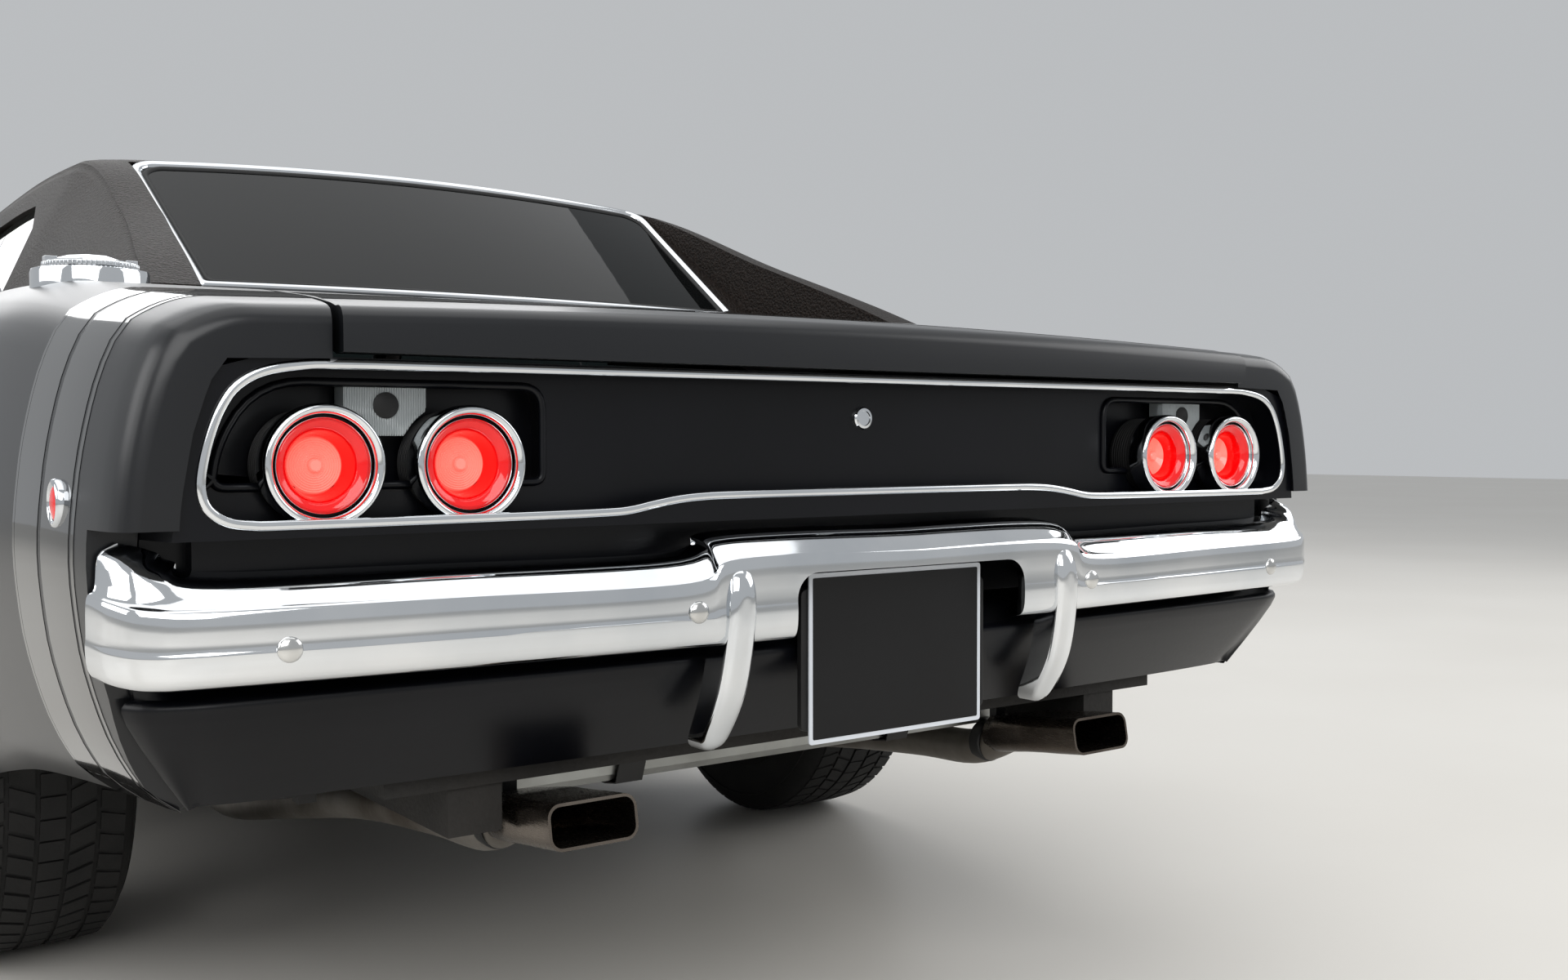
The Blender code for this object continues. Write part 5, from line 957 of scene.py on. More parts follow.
# the lamp pocket: a rounded box with its top outer corner cut back
def pocketOutline(side):
    corners = [
        # x, z, corner radius
        (0.452, 0.768, 0.016), (0.452, 0.880, 0.030), (0.772, 0.880, 0.055), (0.812, 0.800, 0.030),
        (0.812, 0.768, 0.018),
    ]
    found = []
    for i, (x, z, radius) in enumerate(corners):
        here = Vector((x, z))
        back = (Vector(corners[i - 1][:2]) - here).normalized()
        ahead = (Vector(corners[(i + 1) % len(corners)][:2]) - here).normalized()
        a, b = here + back * radius, here + ahead * radius
        for k in range(7):
            t = k / 6
            p = a * (1 - t) ** 2 + here * 2 * t * (1 - t) + b * t * t
            found.append((side * p.x, p.y))
    return found

# the panel between the quarters, with its recess, the two lamp pockets and the stepped foot
def tailPlate():
    rings = []
    for y in (2.478, tailLook["faceY"]):
        line = sorted(inset([sidePoint(y, share) for share in steps(0.0, 1.0, 0.04)],
            size["quarterWall"] + 0.0005), key=lambda point: point[1])
        half = []
        for z in steps(0.612, 0.8945, 0.0095):
            low, high = next(((a, b) for a, b in zip(line, line[1:]) if a[1] <= z <= b[1]),
                (line[-1], line[-1]))
            x = low[0] + (high[0] - low[0]) * (z - low[1]) / max(high[1] - low[1], 1e-9)
            half.append((max(x, 0.785) if z < 0.890 else 0.785, z))
        half.append((0.785, 0.8985))
        rings.append([(x, y, z) for x, z in [*half, *reversed([(-x, z) for x, z in half])]])
    plate = ringLoft(rings)
    recess = grown(bead, 0.002)
    plate = combined(plate, [prism([(x, tailLook["recessY"], z) for x, z in recess], (0, 1, 0), 0.10)])
    plate = combined(plate, [block((-1, tailLook["lowY"], 0.50), (1, 2.7, tailLook["lipZ"]))])
    plate = combined(plate, [block((side * 0.826, 2.500, 0.50), (side, 2.7, tailLook["lipZ"]))
        for side in (1, -1)])
    for side in (1, -1):
        tools = [prism([(x, tailLook["pocketY"], z) for x, z in pocketOutline(side)], (0, 1, 0), 0.10)]
        tools += [rod("Y", (side * x, tailLook["pocketY"] + 0.05, lampLook["z"]), 0.058, 0.10)
            for x in lampLook["x"]]
        plate = combined(plate, tools)
    return plate

piece("tailSkin", tailPlate(), tailPaintedShade, ["tail_panel"], bevel=0.0035, segments=3)
beadY = tailLook["faceY"] + tailLook["beadOut"] * 0.2
beadSection = oval(0.0052, 0.0036, 12)
piece("tailBead", sweep([(x, beadY, z) for x, z in bead], beadSection, looped=True, up=Vector((0, 1, 0))),
    chrome, smooth=60)

for side, mark in carSides:
    rim = grown(pocketOutline(side), 0.004 * -side)
    piece(f"pocketRim_{mark}", sweep([(x, tailLook["recessY"] + 0.001, z) for x, z in rim],
        circleOf(0.0045, 12), looped=True, up=Vector((0, 1, 0))), tailPaintedShade, smooth=60)

def lampPlace(side, x):
    return at(side * x, lampLook["faceY"], lampLook["z"], "Y")

# a ribbed black can, open at the lens
def lampHousing(place):
    profile = [(0.004, -0.072), (0.0545, -0.072)]
    for k in range(10):
        along = -0.068 + 0.0042 * k
        profile += [(0.056, along), (0.056, along + 0.0021), (0.0548, along + 0.0026), (0.0548, along + 0.0038)]
    profile += [(0.056, -0.026), (0.056, -0.014), (0.052, -0.014), (0.052, -0.050), (0.004, -0.050)]
    return turned(profile, place, looped=True)

# a rolled chrome rim with a dark groove and a thin inner ring
def lampBezel(place):
    rim = [(0.060, -0.030), (0.0612, -0.022), (0.0612, -0.008), (0.0602, -0.003), (0.0582, -0.0004),
        (0.0556, 0.0), (0.0528, -0.0022), (0.0508, -0.0062), (0.050, -0.012), (0.050, -0.022), (0.053, -0.030)]
    return turned(rim, place, 96, looped=True)

def lampInnerRing(place):
    return turned([(0.0458, -0.0124), (0.0464, -0.0096), (0.0472, -0.0086), (0.048, -0.0098), (0.048, -0.018),
        (0.0471, -0.018), (0.0471, -0.013)], place, 96, looped=True)

# the red lens: a dished ring, a deep cup, and a ribbed bull's-eye at its bottom
def lampLens(place):
    profile = [(0.0, -0.048), (0.047, -0.048), (0.047, -0.0165), (0.0462, -0.0122), (0.044, -0.011),
        (0.0405, -0.0124), (0.0368, -0.0152), (0.0345, -0.018)]
    profile += [(0.0338 - 0.0008 * k, -0.020 - 0.003 * k) for k in range(7)]
    return turned([*profile, (0.0288, -0.046), (0.0, -0.046)], place, 96)

# the bull's-eye at the bottom of the cup: pressed rings round a small nub
def lampEye(place):
    profile = [(0.0286, -0.0455), (0.0286, -0.040)]
    for k in range(9):
        r = 0.028 - 0.0024 * k
        profile += [(r, -0.0392), (r - 0.001, -0.0376)]
    profile += [(0.0068, -0.0388), (0.0066, -0.034), (0.0054, -0.0326), (0.003, -0.0324), (0.0, -0.0332)]
    return turned(profile, place, 96)

def lampGap(place):
    return turned([(0.0474, -0.019), (0.0506, -0.019), (0.0506, -0.023), (0.0474, -0.023)], place, 72,
        looped=True)

# the clear lens between a pair of lamps, waisted by their bezels
def reverseLens(side):
    near, far = lampLook["x"]
    radius, z0 = 0.0655, lampLook["z"]
    left, rightEdge = [], []
    for z in steps(0.8235, 0.876, 0.004):
        reach = sqrt(max(radius**2 - (z - z0) ** 2, 0.0))
        left.append((max(near + reach, 0.590), z))
        rightEdge.append((min(far - reach, 0.678), z))
    outline = [*left, *reversed(rightEdge)]
    lens = prism([(side * x, 2.500, z) for x, z in outline], (0, 1, 0), 0.025)
    ribs = merged([rod("Z", (side * x, 2.525, 0.850), 0.0011, 0.070, 10) for x in steps(0.592, 0.676, 0.0026)])
    full = prism([(side * x, 2.510, z) for x, z in grown(outline, 0.0012)], (0, 1, 0), 0.030)
    return merged([lens, combined(ribs, [full], "INTERSECT")])

for side, mark in carSides:
    places = [lampPlace(side, x) for x in lampLook["x"]]
    housings = [shape(place) for place in places for shape in (lampHousing, lampGap)]
    piece(f"lampHousings_{mark}", merged(housings), blackTrim, [f"tail_lamps_{mark}"])
    bezels = [shape(place) for place in places for shape in (lampBezel, lampInnerRing)]
    piece(f"lampBezels_{mark}", merged(bezels), chrome, smooth=50)
    piece(f"lampLenses_{mark}", merged([lampLens(place) for place in places]), lampRed, smooth=24)
    piece(f"lampEyes_{mark}", merged([lampEye(place) for place in places]), lampRedPaintedGlow, smooth=24)
    piece(f"reverseLens_{mark}", reverseLens(side), lampClear, bevel=0.001)
    bulb = turned([(0.0, 0.002), (0.008, 0.0015), (0.0135, 0.0), (0.0135, -0.006), (0.0, -0.006)],
        at(side * 0.634, 2.5275, 0.8535, "Y"), 40)
    piece(f"reverseBulb_{mark}", bulb, blackTrim)

lockPlace = at(0.0, tailLook["recessY"], 0.845, "Y")
piece("lidLock", turned([(0.0145, 0.0), (0.0145, 0.003), (0.0128, 0.0048), (0.0098, 0.0052), (0.0092, 0.0036),
    (0.0, 0.0036)], lockPlace, 48), chrome)
print("tail made")

# Bumpers, guards, plate

rearBumperRows = [
    # x, face y, bottom z, face top z, crown z, depth from the face to the crown's edge
    (0.000, 2.636, 0.585, 0.688, 0.712, 0.070), (0.262, 2.632, 0.585, 0.688, 0.712, 0.070),
    (0.327, 2.628, 0.585, 0.664, 0.690, 0.070), (0.600, 2.612, 0.585, 0.664, 0.690, 0.070),
    (0.820, 2.592, 0.585, 0.664, 0.692, 0.070), (0.880, 2.576, 0.585, 0.667, 0.706, 0.062),
    (0.908, 2.548, 0.588, 0.674, 0.716, 0.046), (0.919, 2.508, 0.592, 0.680, 0.722, 0.030),
]
frontBumperRows = [
    (0.000, -2.6415, 0.400, 0.505, 0.522, 0.070), (0.500, -2.636, 0.400, 0.505, 0.522, 0.070),
    (0.780, -2.615, 0.402, 0.505, 0.522, 0.070), (0.870, -2.585, 0.410, 0.508, 0.524, 0.070),
    (0.908, -2.530, 0.425, 0.512, 0.526, 0.060), (0.922, -2.450, 0.440, 0.515, 0.528, 0.060),
]
bumperWall = 0.012

def planNormals(path):
    outward = 1 if path[0][1] > 0 else -1
    found = [(0.0, outward)]
    for i in range(1, len(path)):
        ax, ay = path[i - 1]
        bx, by = path[min(i + 1, len(path) - 1)]
        length = hypot(bx - ax, by - ay)
        found.append((-outward * (by - ay) / length, outward * (bx - ax) / length))
    return [*found[:-1], (1.0, 0.0)]

def bothSides(half):
    return [*[[(-x, y, z) for x, y, z in ring] for ring in reversed(half[1:])], *half]

# an open-backed bow: a smooth outer line over the face and crown, a plain inner one
def bumperBow(rows, parts=10):
    fine = catmull(rows, parts)
    half = []
    for (nx, ny), (x, y, low, faceTop, crown, depth) in zip(planNormals([row[:2] for row in fine]), fine):
        outer = catmull([(0.030, low), (0.010, low + 0.004), (0.002, low + 0.014), (0.000, low + 0.034),
            (0.0008, (low + faceTop) / 2), (0.001, faceTop - 0.016), (0.003, faceTop - 0.005),
            (0.009, faceTop + 0.001), (depth * 0.40, faceTop + (crown - faceTop) * 0.72),
            (depth * 0.8, crown - (crown - faceTop) * 0.06), (depth, crown)], 3)
        inner = [(depth, crown - bumperWall), (0.022, faceTop - bumperWall), (bumperWall, faceTop - 0.024),
            (bumperWall, low + 0.026), (0.032, low + 0.012)]
        half.append([(x - nx * d, y - ny * d, z) for d, z in [*outer, *inner]])
    return ringLoft(bothSides(half))

# a bumper's face at a distance from the middle
def faceY(rows, x):
    fine = catmull(rows, 8)
    return next(a[1] + (b[1] - a[1]) * (abs(x) - a[0]) / (b[0] - a[0])
        for a, b in zip(fine, fine[1:]) if a[0] <= abs(x) <= b[0])

# a slim upright over-rider that sweeps forward at its foot
def guard(side):
    rows = [
        # z, front face y, half width, depth
        (0.462, 2.580, 0.008, 0.030), (0.475, 2.594, 0.017, 0.038), (0.530, 2.625, 0.019, 0.044),
        (0.600, 2.6405, 0.019, 0.044), (0.645, 2.6415, 0.018, 0.040), (0.668, 2.634, 0.014, 0.032),
        (0.676, 2.622, 0.007, 0.014),
    ]
    rings = []
    for z, face, half, depth in catmull(rows, 6):
        x = side * (0.262 + (0.676 - z) * 0.035)
        bow = [(half * cos(a), face - 0.012 * (1 - sin(a) ** 0.7)) for a in (pi * k / 14 for k in range(15))]
        section = [(half, face - depth), *bow, (-half, face - depth)]
        rings.append([(x + dx, min(y, 2.6414), z) for dx, y in section])
    return ringLoft(rings)

rearBow = bumperBow(rearBumperRows)
notch = roundedOutline((-0.185, 0.560), (0.185, 0.664), 0.030)
rearBow = combined(rearBow, [prism([(x, 2.496, z) for x, z in notch], (0, 1, 0), 0.30)])
piece("rearBumperBow", rearBow, chrome, ["rear_bumper"], smooth=50, bevel=0.001)
piece("rearGuards", merged([guard(side) for side in (1, -1)]), chrome, smooth=50)
brackets = [block((side * 0.290, 2.5205, 0.625), (side * 0.330, 2.618, 0.645)) for side in (1, -1)]
piece("rearBumperBrackets", merged(brackets), underCoat, bevel=0.002)

def domedBolt(x, z, rows, radius=0.0125):
    direction = 1 if rows[0][1] > 0 else -1
    place = at(x, faceY(rows, x) - direction * 0.0012, z, "Y")
    if direction < 0:
        place = place @ Matrix.Rotation(pi, 4, "X")
    profile = [(radius, 0.0), *[(radius * cos(a), 0.001 + 0.0052 * sin(a))
        for a in (pi / 2 * k / 7 for k in range(8))]]
    return turned(profile, place, 32)

bolts = [domedBolt(side * x, z, rearBumperRows) for side in (1, -1)
    for x, z in ((0.759, 0.621), (0.318, 0.628))]
bolts += [domedBolt(side * x, 0.455, frontBumperRows) for side in (1, -1) for x in (0.300, 0.700)]
piece("bumperBolts", merged(bolts), brightTrim, smooth=50)

plateLook = {"x": 0.1405, "low": 0.4535, "high": 0.6585, "y": 2.594, "border": 0.0055}
plateOutline = roundedOutline((-plateLook["x"], plateLook["low"]), (plateLook["x"], plateLook["high"]),
    0.004, 4)
insideOutline = roundedOutline((-plateLook["x"] + plateLook["border"], plateLook["low"] + plateLook["border"]),
    (plateLook["x"] - plateLook["border"], plateLook["high"] - plateLook["border"]), 0.002, 4)
piece("plateBorder", prism([(x, plateLook["y"], z) for x, z in plateOutline], (0, 1, 0), 0.002),
    makeDull("platePaintPale", ("d2d6dc", "c4c9d0"), (0.3, 0.4), 5.0, 0.0001, 0.4))
piece("plateField", prism([(x, plateLook["y"] + 0.0012, z) for x, z in insideOutline], (0, 1, 0), 0.0012),
    plateBlack)
backing = roundedOutline((-0.150, 0.470), (0.150, 0.640), 0.008, 4)
holder = merged([prism([(x, 2.584, z) for x, z in backing], (0, 1, 0), 0.009),
    block((-0.120, 2.5205, 0.628), (0.120, 2.588, 0.634)),
    block((-0.060, 2.556, 0.480), (0.060, 2.588, 0.486))])
piece("plateHolder", holder, blackTrim, bevel=0.0015)
plateLamp = turned([(0.020, -0.004), (0.020, 0.004), (0.016, 0.008), (0.0, 0.009)],
    Matrix.Translation((0.0, 2.606, 0.672)) @ Matrix.Rotation(pi, 4, "X"), 40)
piece("plateLamp", plateLamp, lampClear, smooth=50)
print("rear bumper made")

apronRows = [
    # top x and y, lower edge x, y and z, depth of the flange behind the top edge
    (0.000, 2.575, 0.000, 2.503, 0.455, 0.074), (0.300, 2.572, 0.299, 2.500, 0.455, 0.074),
    (0.600, 2.563, 0.592, 2.492, 0.455, 0.074), (0.780, 2.553, 0.762, 2.480, 0.455, 0.074),
    (0.838, 2.545, 0.808, 2.4705, 0.455, 0.060), (0.872, 2.528, 0.818, 2.475, 0.454, 0.022),
    (0.888, 2.5075, 0.8205, 2.473, 0.453, 0.012),
]

# the panel under the bumper: a rounded top edge, a face that rakes forward, a back flange
def rearApron():
    fine = catmull(apronRows, 8)
    half = []
    for (nx, ny), (x, y, lowX, lowY, lowZ, reach) in zip(planNormals([row[:2] for row in fine]), fine):
        def behind(depth, z):
            return x - nx * depth, y - ny * depth, z

        def down(t, bow=0.0):
            return (x + (lowX - x) * t + nx * bow, y + (lowY - y) * t + ny * bow, 0.562 + (lowZ - 0.562) * t)

        top = 0.6095
        half.append([behind(0.0, 0.5665), behind(0.0, 0.562), down(0.12, 0.003), down(0.35, 0.004),
            down(0.65, 0.003), down(0.90, 0.001), (lowX, lowY, lowZ),
            (lowX - nx * 0.012, lowY - ny * 0.012, lowZ + 0.004), behind(0.012, 0.545),
            behind(0.012, 0.556), behind(reach, 0.598), behind(reach, top), behind(reach - 0.011, top),
            behind(0.010, 0.5735), behind(0.003, 0.5715)])
    return ringLoft(bothSides(half))

piece("rearApronSkin", rearApron(), tailPaintedShade, ["rear_valance"], smooth=50)

def frontApron():
    section = [(0.030, -0.0005), (0.044, -0.070), (0.110, -0.160), (0.122, -0.154), (0.058, -0.064),
        (0.044, -0.0005)]
    fine = catmull([row[:3] for row in frontBumperRows], 8)
    half = []
    for (nx, ny), (x, y, low) in zip(planNormals([row[:2] for row in fine]), fine):
        outer = catmull(section[:3], 4)
        inner = catmull(section[3:], 4)
        half.append([(x - nx * d, y - ny * d, low + z) for d, z in [*outer, *inner]])
    return ringLoft(bothSides(half))

piece("frontApronSkin", frontApron(), darkPaint, ["front_valance"], smooth=50)
frontArms = [block((side * 0.385, -2.600, 0.404), (side * 0.425, -2.3845, 0.418)) for side in (1, -1)]
piece("frontBumperBow", bumperBow(frontBumperRows), chrome, ["front_bumper"], smooth=50)
piece("frontBumperArms", merged(frontArms), underCoat, bevel=0.002)
print("aprons made")

# Wheels: tread blocks on a moulded tyre, five-spoke alloy rim, nuts

tyreShape = [
    # share of the half width, radius
    (0.80, 0.204), (0.90, 0.212), (0.97, 0.230), (1.00, 0.252), (1.00, 0.275), (0.985, 0.294), (0.95, 0.310),
    (0.90, 0.3225), (0.84, 0.3305), (0.78, 0.3345), (0.70, 0.336),
]
wheelSets = [
    # mark, hub x, hub y, tyre width
    ("front_L", 0.765, -1.665, 0.215), ("front_R", -0.765, -1.665, 0.215),
    ("rear_L", 0.782, 1.295, 0.250), ("rear_R", -0.782, 1.295, 0.250),
]
treadLook = {"radius": 0.340, "pitches": 60, "depth": 0.004, "groove": 0.007, "ribs": 5}

def tyreCase(half, place):
    profile = [(r, share * half) for share, r in tyreShape]
    return turned([*profile, *[(r, -along) for r, along in reversed(profile)]], place, 96, looped=True)

# angled road-tread blocks: ribs split by slanted grooves, shoulder lugs that wrap over the edge
def treadBlocks(half, place):
    made = bmesh.new()
    look = treadLook
    usable = half * 0.80
    ribWide = (2 * usable - look["groove"] * (look["ribs"] - 1)) / look["ribs"]
    step = tau / look["pitches"]
    for rib in range(look["ribs"]):
        low = -usable + rib * (ribWide + look["groove"])
        high = low + ribWide
        shoulder = rib in (0, look["ribs"] - 1)
        slant = (0.30, -0.42, 0.0, 0.42, -0.30)[rib] * step
        for k in range(look["pitches"]):
            start = k * step + (0.5 * step if rib % 2 else 0.0)
            span = step * (0.80 if rib != 2 else 0.90)
            corners = []
            for along, sign in ((low, -1), (high, 1)):
                shift = slant * (0.5 if along == high else -0.5)
                top = look["radius"] - (0.0035 if shoulder and (sign < 0) == (rib == 0) else 0.0)
                for angle in (start + shift, start + shift + span):
                    for radius in (look["radius"] - look["depth"] - 0.004, top):
                        spot = Vector((radius * cos(angle), radius * sin(angle), along))
                        corners.append(made.verts.new(place @ spot))
            a, b, c, d, e, f, g, h = corners
            for face in ((b, d, h, f), (a, b, f, e), (c, g, h, d), (a, c, d, b), (e, f, h, g), (a, e, g, c)):
                made.faces.new(face)
    bmesh.ops.recalc_face_normals(made, faces=made.faces)
    return made

# raised moulded rings round the sidewall, with no lettering
def sidewallRings(half, place):
    parts = []
    for sign in (1, -1):
        for radius, along in ((0.236, 0.985), (0.300, 0.985)):
            z = sign * along * half
            parts.append(turned([(radius - 0.0016, z - sign * 0.002), (radius - 0.0008, z + sign * 0.0012),
                (radius + 0.0008, z + sign * 0.0012), (radius + 0.0016, z - sign * 0.002)], place, 72,
                looped=True))
    return parts

# one tapered alloy spoke with a raised rounded back, from hub to rim
def spoke(face, outward, turn, hub):
    rows = [
        # radius, half width, lift of the middle, thickness
        (0.030, 0.021, 0.000, 0.016), (0.055, 0.0205, 0.004, 0.018), (0.075, 0.021, 0.006, 0.018),
        (0.110, 0.025, 0.003, 0.018), (0.150, 0.0315, -0.003, 0.018), (0.186, 0.0385, -0.007, 0.018),
    ]
    rings = []
    for radius, half, lift, thick in catmull(rows, 4):
        top = face + lift
        section = [(-half, top - thick), (-half, top - 0.005), (-half * 0.78, top - 0.001),
            (-half * 0.4, top + 0.0015), (0.0, top + 0.0022), (half * 0.4, top + 0.0015),
            (half * 0.78, top - 0.001), (half, top - 0.005), (half, top - thick)]
        rings.append([hub + Matrix.Rotation(turn, 3, "X") @ Vector((outward * along, across, radius))
            for across, along in section])
    return ringLoft(rings)

def makeWheel(mark, hubX, hubY, width):
    side = 1 if hubX > 0 else -1
    body = f"wheel_{mark}"
    hub = Vector((hubX, hubY, size["axleZ"]))
    place = at(*hub, "X")
    half = width / 2
    piece(f"tyre_case_{mark}", merged([tyreCase(half, place), *sidewallRings(half, place)]), tyreRubber,
        [f"tyre_{mark}"], smooth=40, body=body)
    piece(f"tread_{mark}", treadBlocks(half, place), tyreRubber, smooth=20, body=body)
    rimHalf, r = width * 0.40, 0.2035
    barrel = [(r, rimHalf), (r - 0.003, rimHalf + 0.0015), (r - 0.010, rimHalf - 0.001),
        (r - 0.016, rimHalf - 0.012), (r - 0.024, rimHalf - 0.030), (r - 0.030, rimHalf - 0.048),
        (r - 0.026, -rimHalf + 0.012), (r - 0.012, -rimHalf), (r, -rimHalf), (r - 0.008, -rimHalf + 0.020),
        (r - 0.008, rimHalf - 0.020)]
    rim = turned([(radius, side * along) for radius, along in barrel], place, 96, looped=True)
    face = rimHalf - 0.030
    spokes = [spoke(face, side, radians(72 * k), hub) for k in range(5)]
    disc = turned([(0.0, side * (face - 0.020)), (0.070, side * (face - 0.020)),
        (0.0715, side * (face - 0.004)), (0.066, side * face), (0.034, side * (face + 0.001)),
        (0.0, side * (face + 0.001))], place, 64)
    piece(f"rimBarrel_{mark}", rim, wheelAlloy, [f"rim_{mark}"], smooth=30, body=body)
    piece(f"rimSpokes_{mark}", merged([*spokes, disc]), wheelAlloy, smooth=40, bevel=0.0015, body=body)
    cap = turned([(0.0, side * (face - 0.002)), (0.030, side * (face - 0.002)), (0.030, side * (face + 0.030)),
        (0.026, side * (face + 0.035)), (0.012, side * (face + 0.0358)), (0.0, side * (face + 0.0345))], place,
        48)
    nuts = []
    for k in range(5):
        angle = radians(36 + 72 * k)
        spot = place @ Matrix.Translation((0.048 * cos(angle), 0.048 * sin(angle), 0.0))
        nuts.append(turned([(0.0098, side * face), (0.0098, side * (face + 0.014)),
            (0.007, side * (face + 0.018)), (0.0, side * (face + 0.0185))], spot, 6))
    valve = turned([(0.0032, side * (rimHalf - 0.030)), (0.0032, side * (rimHalf - 0.004)),
        (0.0, side * (rimHalf - 0.003))], place @ Matrix.Translation((0.178, 0.0, 0.0)), 16)
    piece(f"wheelCap_{mark}", merged([cap, *nuts]), chrome, smooth=35, body=body)
    piece(f"valve_{mark}", valve, blackTrim, body=body)

for mark, hubX, hubY, width in wheelSets:
    makeWheel(mark, hubX, hubY, width)
print("wheels made")

# Exhausts, tank straps, filler

exhaustLook = {"wall": 0.0035, "mouthLean": -0.18}
tipRows = [
    # y, x, z, half width, half height
    (2.350, 0.416, 0.366, 0.030, 0.028), (2.385, 0.416, 0.372, 0.040, 0.028),
    (2.440, 0.416, 0.382, 0.052, 0.0275), (2.470, 0.4155, 0.386, 0.0545, 0.0265),
    (2.562, 0.414, 0.397, 0.056, 0.0255),
]
pipeRuns = [
    # points along the pipe, radius
    ([(0.245, -1.10, 0.200), (0.245, -0.40, 0.200), (0.245, 0.200, 0.200)], 0.026),
    ([(0.300, 0.660, 0.186), (0.360, 0.820, 0.190), (0.410, 0.960, 0.205), (0.428, 1.100, 0.200),
    (0.432, 1.300, 0.180), (0.430, 1.600, 0.236), (0.424, 1.900, 0.296), (0.420, 2.160, 0.326),
    (0.417, 2.300, 0.336), (0.416, 2.380, 0.368)], 0.027),
]

# a rounded rectangular outlet, rolled over at its slanted mouth
def exhaustTip(side):
    outer, inner = [], []
    for y, x, z, half, tall in catmull(tipRows, 4):
        corner = min(half, tall) * (0.98 if y < 2.37 else 0.62)
        lean = exhaustLook["mouthLean"] if y > 2.50 else 0.0
        for rings, wall in ((outer, 0.0), (inner, exhaustLook["wall"])):
            ring = roundedOutline((x - half + wall, z - tall + wall), (x + half - wall, z + tall - wall),
                corner - wall, 6)
            rings.append([(side * px, y + (pz - z) * lean, pz) for px, pz in ring])
    return ringLoft([*outer, *reversed(inner[4:])])

for side, mark in carSides:
    pipes = [sweep([(side * x, y, z) for x, y, z in catmull(run, 6)], circleOf(radius, 24))
        for run, radius in pipeRuns]
    canOutline = roundedOutline((0.165, 0.145), (0.365, 0.225), 0.036, 8)
    can = []
    for y, shrink in ((0.150, 0.012), (0.158, 0.003), (0.170, 0.0), (0.700, 0.0), (0.712, 0.003),
            (0.720, 0.012)):
        can.append([(side * (0.265 + (x - 0.265) * (1 - shrink * 9)), y,
            0.185 + (z - 0.185) * (1 - shrink * 12)) for x, z in canOutline])
    seams = [sweep([(side * x, y, z) for x, z in canOutline], circleOf(0.0022, 8), looped=True,
        up=Vector((0, 1, 0))) for y in (0.185, 0.685)]
    piece(f"exhaustPipes_{mark}", merged([*pipes, ringLoft(can), *seams]), pipeSteel,
        [f"exhaust_{mark}"], smooth=40)
    piece(f"exhaustTip_{mark}", exhaustTip(side), tipSteel, smooth=40)
    clampRing = turned([(0.0275, -0.012), (0.0315, -0.010), (0.0315, 0.010), (0.0275, 0.012)],
        at(side * 0.4165, 2.330, 0.350, "Y"), 40, looped=True)
    hangers = [block((side * 0.250, 0.400, 0.215), (side * 0.280, 0.420, 0.2345)),
        block((side * 0.405, 2.345, 0.360), (side * 0.425, 2.360, 0.4345))]
    piece(f"exhaustHangers_{mark}", merged([clampRing, *hangers]), blackTrim, bevel=0.002)

straps = []
for x in (-0.230, 0.230):
    path = [(x, 1.752, 0.4345), (x, 1.752, 0.400), (x, 1.762, 0.3745), (x, 1.790, 0.3705), (x, 2.300, 0.3705),
        (x, 2.328, 0.3745), (x, 2.3375, 0.400), (x, 2.3375, 0.4345)]
    straps.append(sweep(path, [(-0.020, -0.001), (0.020, -0.001), (0.020, 0.001), (-0.020, 0.001)],
        up=Vector((0, 0, 1))))
piece("tankStraps", merged(straps), blackTrim, smooth=30)

fillerLook = {"x": 0.788, "y": 1.948, "z": topZ(0.732, 1.892) + 0.002}
fillerPlace = at(fillerLook["x"], fillerLook["y"], fillerLook["z"])
collar = turned([(0.070, -0.016), (0.070, 0.006), (0.0685, 0.0105), (0.064, 0.012), (0.058, 0.0115),
    (0.056, 0.009), (0.052, 0.008), (0.052, -0.016)], fillerPlace, 96, looped=True)
piece("fillerRing", collar, chrome, ["filler_collar"], smooth=40)

# the racing-style cap: a ribbed band, eight facets rising to a blunt point, two finger lugs
def fillerCrown():
    base = 0.0125
    band = turned([(0.0, base), (0.0545, base), (0.056, base + 0.0015), (0.056, base + 0.0065),
        (0.0545, base + 0.008), (0.0, base + 0.008)], fillerPlace, 96)
    ribs = [rod("Z", fillerPlace @ Vector((0.0558 * cos(a), 0.0558 * sin(a), base + 0.004)), 0.0013, 0.0062, 8)
        for a in (tau * k / 64 for k in range(64))]
    facets = []
    for radius, z in ((0.052, base + 0.0074), (0.050, base + 0.010), (0.030, base + 0.016),
            (0.010, base + 0.019)):
        facets.append([fillerPlace @ Vector((radius * cos(tau * (k + 0.5) / 8),
            radius * sin(tau * (k + 0.5) / 8), z)) for k in range(8)])
    lugs = [block(fillerPlace @ Vector((sx * 0.0475 - 0.007, -0.009, base + 0.0085)),
        fillerPlace @ Vector((sx * 0.0475 + 0.007, 0.009, base + 0.014))) for sx in (1, -1)]
    return merged([band, *ribs, ringLoft(facets), *lugs])

piece("fillerCrown", fillerCrown(), chrome, ["filler_lid"], smooth=18, bevel=0.0008,
    body="filler_lid")
print("exhausts and filler made")

# Stripes, side markers, roof trim

stripes = [
    # first y, last y
    (2.262, 2.269), (2.270, 2.350), (2.362, 2.450), (2.457, 2.465),
]

